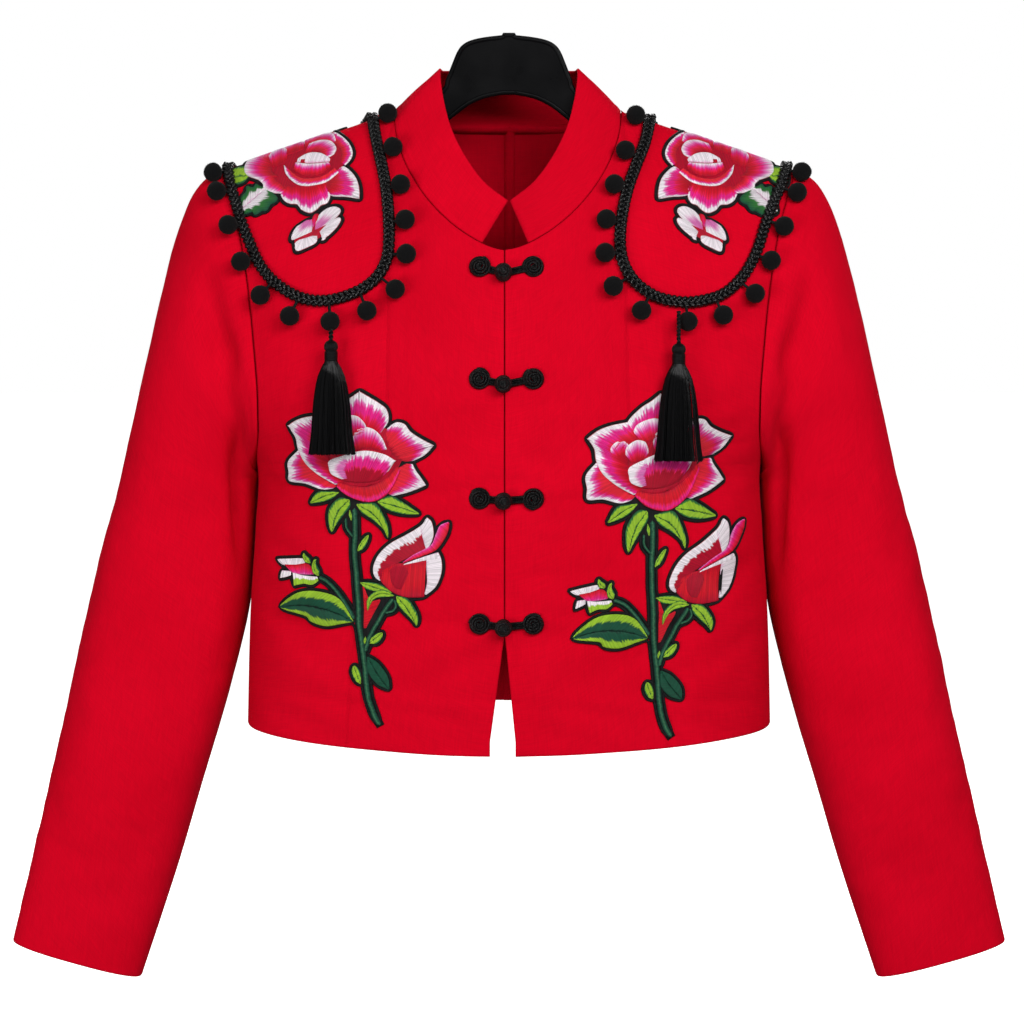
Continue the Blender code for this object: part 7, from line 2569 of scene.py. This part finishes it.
def stage_paper():
    """Pale matt paper of the studio floor."""

    def build(wires, shader):
        grain = wires.noise(wires.place(), 220.0, 2.0)
        tone = wires.mix(grain, (0.86, 0.86, 0.86, 1.0), (0.90, 0.90, 0.90, 1.0))
        wires.set(shader.inputs["Base Color"], tone)
        shader.inputs["Roughness"].default_value = 0.95
        set_finish(shader, 0.1)
        shader.inputs["Emission Color"].default_value = (1.0, 1.0, 1.0, 1.0)
        shader.inputs["Emission Strength"].default_value = STAGE_GLOW
        wire_bump(wires, shader, grain, 0.00005, 0.3)

    return new_material("stage_paper", build)


def add_light(name, place, target, size, share, key_power):
    lamp = bpy.data.lights.new(name, "AREA")
    lamp.shape = "RECTANGLE"
    lamp.size, lamp.size_y = size
    lamp.energy = key_power * share
    made = bpy.data.objects.new(name, lamp)
    made.location = place
    toward = Vector(target) - Vector(place)
    made.rotation_euler = toward.to_track_quat("-Z", "Y").to_euler()
    bpy.context.scene.collection.objects.link(made)
    return made


def make_stage():
    """Camera, pale floor, white surroundings and soft lights."""
    scene = bpy.context.scene
    camera = bpy.data.cameras.new("studio_camera")
    camera.lens = CAMERA_LENS
    camera.sensor_width = CAMERA_SENSOR
    camera.sensor_fit = "HORIZONTAL"
    holder = bpy.data.objects.new("studio_camera", camera)
    holder.location = CAMERA_PLACE
    holder.rotation_euler = (math.radians(CAMERA_TILT), 0.0, 0.0)
    scene.collection.objects.link(holder)
    scene.camera = holder

    floor = -scene.jacket_stage.floor_drop
    turns = np.linspace(0.0, 2 * np.pi, STAGE_SIDES, endpoint=False)
    points = [(STAGE_RADIUS * math.cos(turn), STAGE_RADIUS * math.sin(turn), floor) for turn in turns]
    paper = mesh_object("studio_floor", points, [tuple(range(STAGE_SIDES))], stage_paper())
    paper.visible_diffuse = False
    paper.visible_glossy = False

    world = bpy.data.worlds.new("studio_light")
    world.use_nodes = True
    wires = Wires(world.node_tree)
    seen = wires.node("ShaderNodeLightPath").outputs["Is Camera Ray"]
    strength = wires.math("ADD", wires.math("MULTIPLY", seen, 1.0 - STAGE_AMBIENT), STAGE_AMBIENT)
    background = world.node_tree.nodes["Background"]
    background.inputs["Color"].default_value = (1.0, 1.0, 1.0, 1.0)
    wires.set(background.inputs["Strength"], strength)
    scene.world = world
    for lamp in LAMPS:
        add_light(*lamp, scene.jacket_stage.key_power)
    scene.view_settings.view_transform = "Standard"
    scene.view_settings.look = "None"


# ---- operators ----
class JACKET_OT_body(bpy.types.Operator):
    """Make the two fronts and the two backs"""

    bl_idname = "jacket.body"
    bl_label = "Fronts and backs"

    def execute(self, context):
        for face in (FRONT, BACK):
            for side in (RIGHT, LEFT):
                make_panel(side, face)
        return {"FINISHED"}


class JACKET_OT_sleeves(bpy.types.Operator):
    """Make the two set-in sleeves"""

    bl_idname = "jacket.sleeves"
    bl_label = "Sleeves"

    def execute(self, context):
        for side in (RIGHT, LEFT):
            make_sleeve(side)
        return {"FINISHED"}


class JACKET_OT_collar(bpy.types.Operator):
    """Make the stand collar"""

    bl_idname = "jacket.collar"
    bl_label = "Collar"

    def execute(self, context):
        make_collar()
        return {"FINISHED"}


class JACKET_OT_hanger(bpy.types.Operator):
    """Make the moulded hanger"""

    bl_idname = "jacket.hanger"
    bl_label = "Hanger"

    def execute(self, context):
        make_hanger()
        return {"FINISHED"}


class JACKET_OT_braids(bpy.types.Operator):
    """Make the plaited braid round each shoulder"""

    bl_idname = "jacket.braids"
    bl_label = "Braids"

    def execute(self, context):
        for side in (RIGHT, LEFT):
            make_braid(side)
        return {"FINISHED"}


class JACKET_OT_pompoms(bpy.types.Operator):
    """Make the felt pompoms along the braids"""

    bl_idname = "jacket.pompoms"
    bl_label = "Pompoms"

    def execute(self, context):
        for side in (RIGHT, LEFT):
            make_pompoms(side)
        return {"FINISHED"}


class JACKET_OT_tassels(bpy.types.Operator):
    """Make the two tassels"""

    bl_idname = "jacket.tassels"
    bl_label = "Tassels"

    def execute(self, context):
        for side in (RIGHT, LEFT):
            make_tassel(side)
        return {"FINISHED"}


class JACKET_OT_frogs(bpy.types.Operator):
    """Make the four frog fastenings"""

    bl_idname = "jacket.frogs"
    bl_label = "Frogs"

    def execute(self, context):
        for number, (disc_drop, ball_drop) in enumerate(FROG_DROPS, start=1):
            make_frog(number, disc_drop, ball_drop)
        return {"FINISHED"}


class JACKET_OT_chest_roses(bpy.types.Operator):
    """Make the embroidered sprays on the chest"""

    bl_idname = "jacket.chest_roses"
    bl_label = "Chest roses"

    def execute(self, context):
        for side in (RIGHT, LEFT):
            make_chest_spray(side)
        return {"FINISHED"}


class JACKET_OT_shoulder_roses(bpy.types.Operator):
    """Make the embroidered roses over the shoulders"""

    bl_idname = "jacket.shoulder_roses"
    bl_label = "Shoulder roses"

    def execute(self, context):
        for side in (RIGHT, LEFT):
            make_shoulder_spray(side)
        return {"FINISHED"}


class JACKET_OT_stage(bpy.types.Operator):
    """Make the studio: camera, floor, white surroundings and soft lights"""

    bl_idname = "jacket.stage"
    bl_label = "Studio"

    def execute(self, context):
        make_stage()
        return {"FINISHED"}


OPERATORS = (
    JACKET_OT_stage, JACKET_OT_body, JACKET_OT_sleeves, JACKET_OT_collar, JACKET_OT_hanger, JACKET_OT_braids,
    JACKET_OT_pompoms, JACKET_OT_tassels, JACKET_OT_frogs, JACKET_OT_chest_roses, JACKET_OT_shoulder_roses,
)
SETTINGS = (
    ("jacket_cloth", JacketClothSettings),
    ("jacket_trim", JacketTrimSettings),
    ("jacket_embroidery", JacketEmbroiderySettings),
    ("jacket_stage", JacketStageSettings),
)


class JACKET_PT_panel(bpy.types.Panel):
    """The jacket's settings and the pieces that can be made"""

    bl_label = "Matador Jacket"
    bl_idname = "JACKET_PT_panel"
    bl_space_type = "VIEW_3D"
    bl_region_type = "UI"
    bl_category = "Jacket"

    def draw(self, context):
        layout = self.layout
        for operator in OPERATORS:
            layout.operator(operator.bl_idname)
        for attribute, kind in SETTINGS:
            box = layout.box()
            for name in kind.__annotations__:
                box.prop(getattr(context.scene, attribute), name)


def register():
    for kind in (*(kind for _, kind in SETTINGS), *OPERATORS, JACKET_PT_panel):
        bpy.utils.register_class(kind)
    for attribute, kind in SETTINGS:
        setattr(bpy.types.Scene, attribute, PointerProperty(type=kind))


def unregister():
    for attribute, _ in SETTINGS:
        delattr(bpy.types.Scene, attribute)
    for kind in (JACKET_PT_panel, *reversed(OPERATORS), *(kind for _, kind in SETTINGS)):
        bpy.utils.unregister_class(kind)


def main():
    register()
    for operator in OPERATORS:
        group, name = operator.bl_idname.split(".")
        getattr(getattr(bpy.ops, group), name)()


if __name__ == "__main__":
    main()
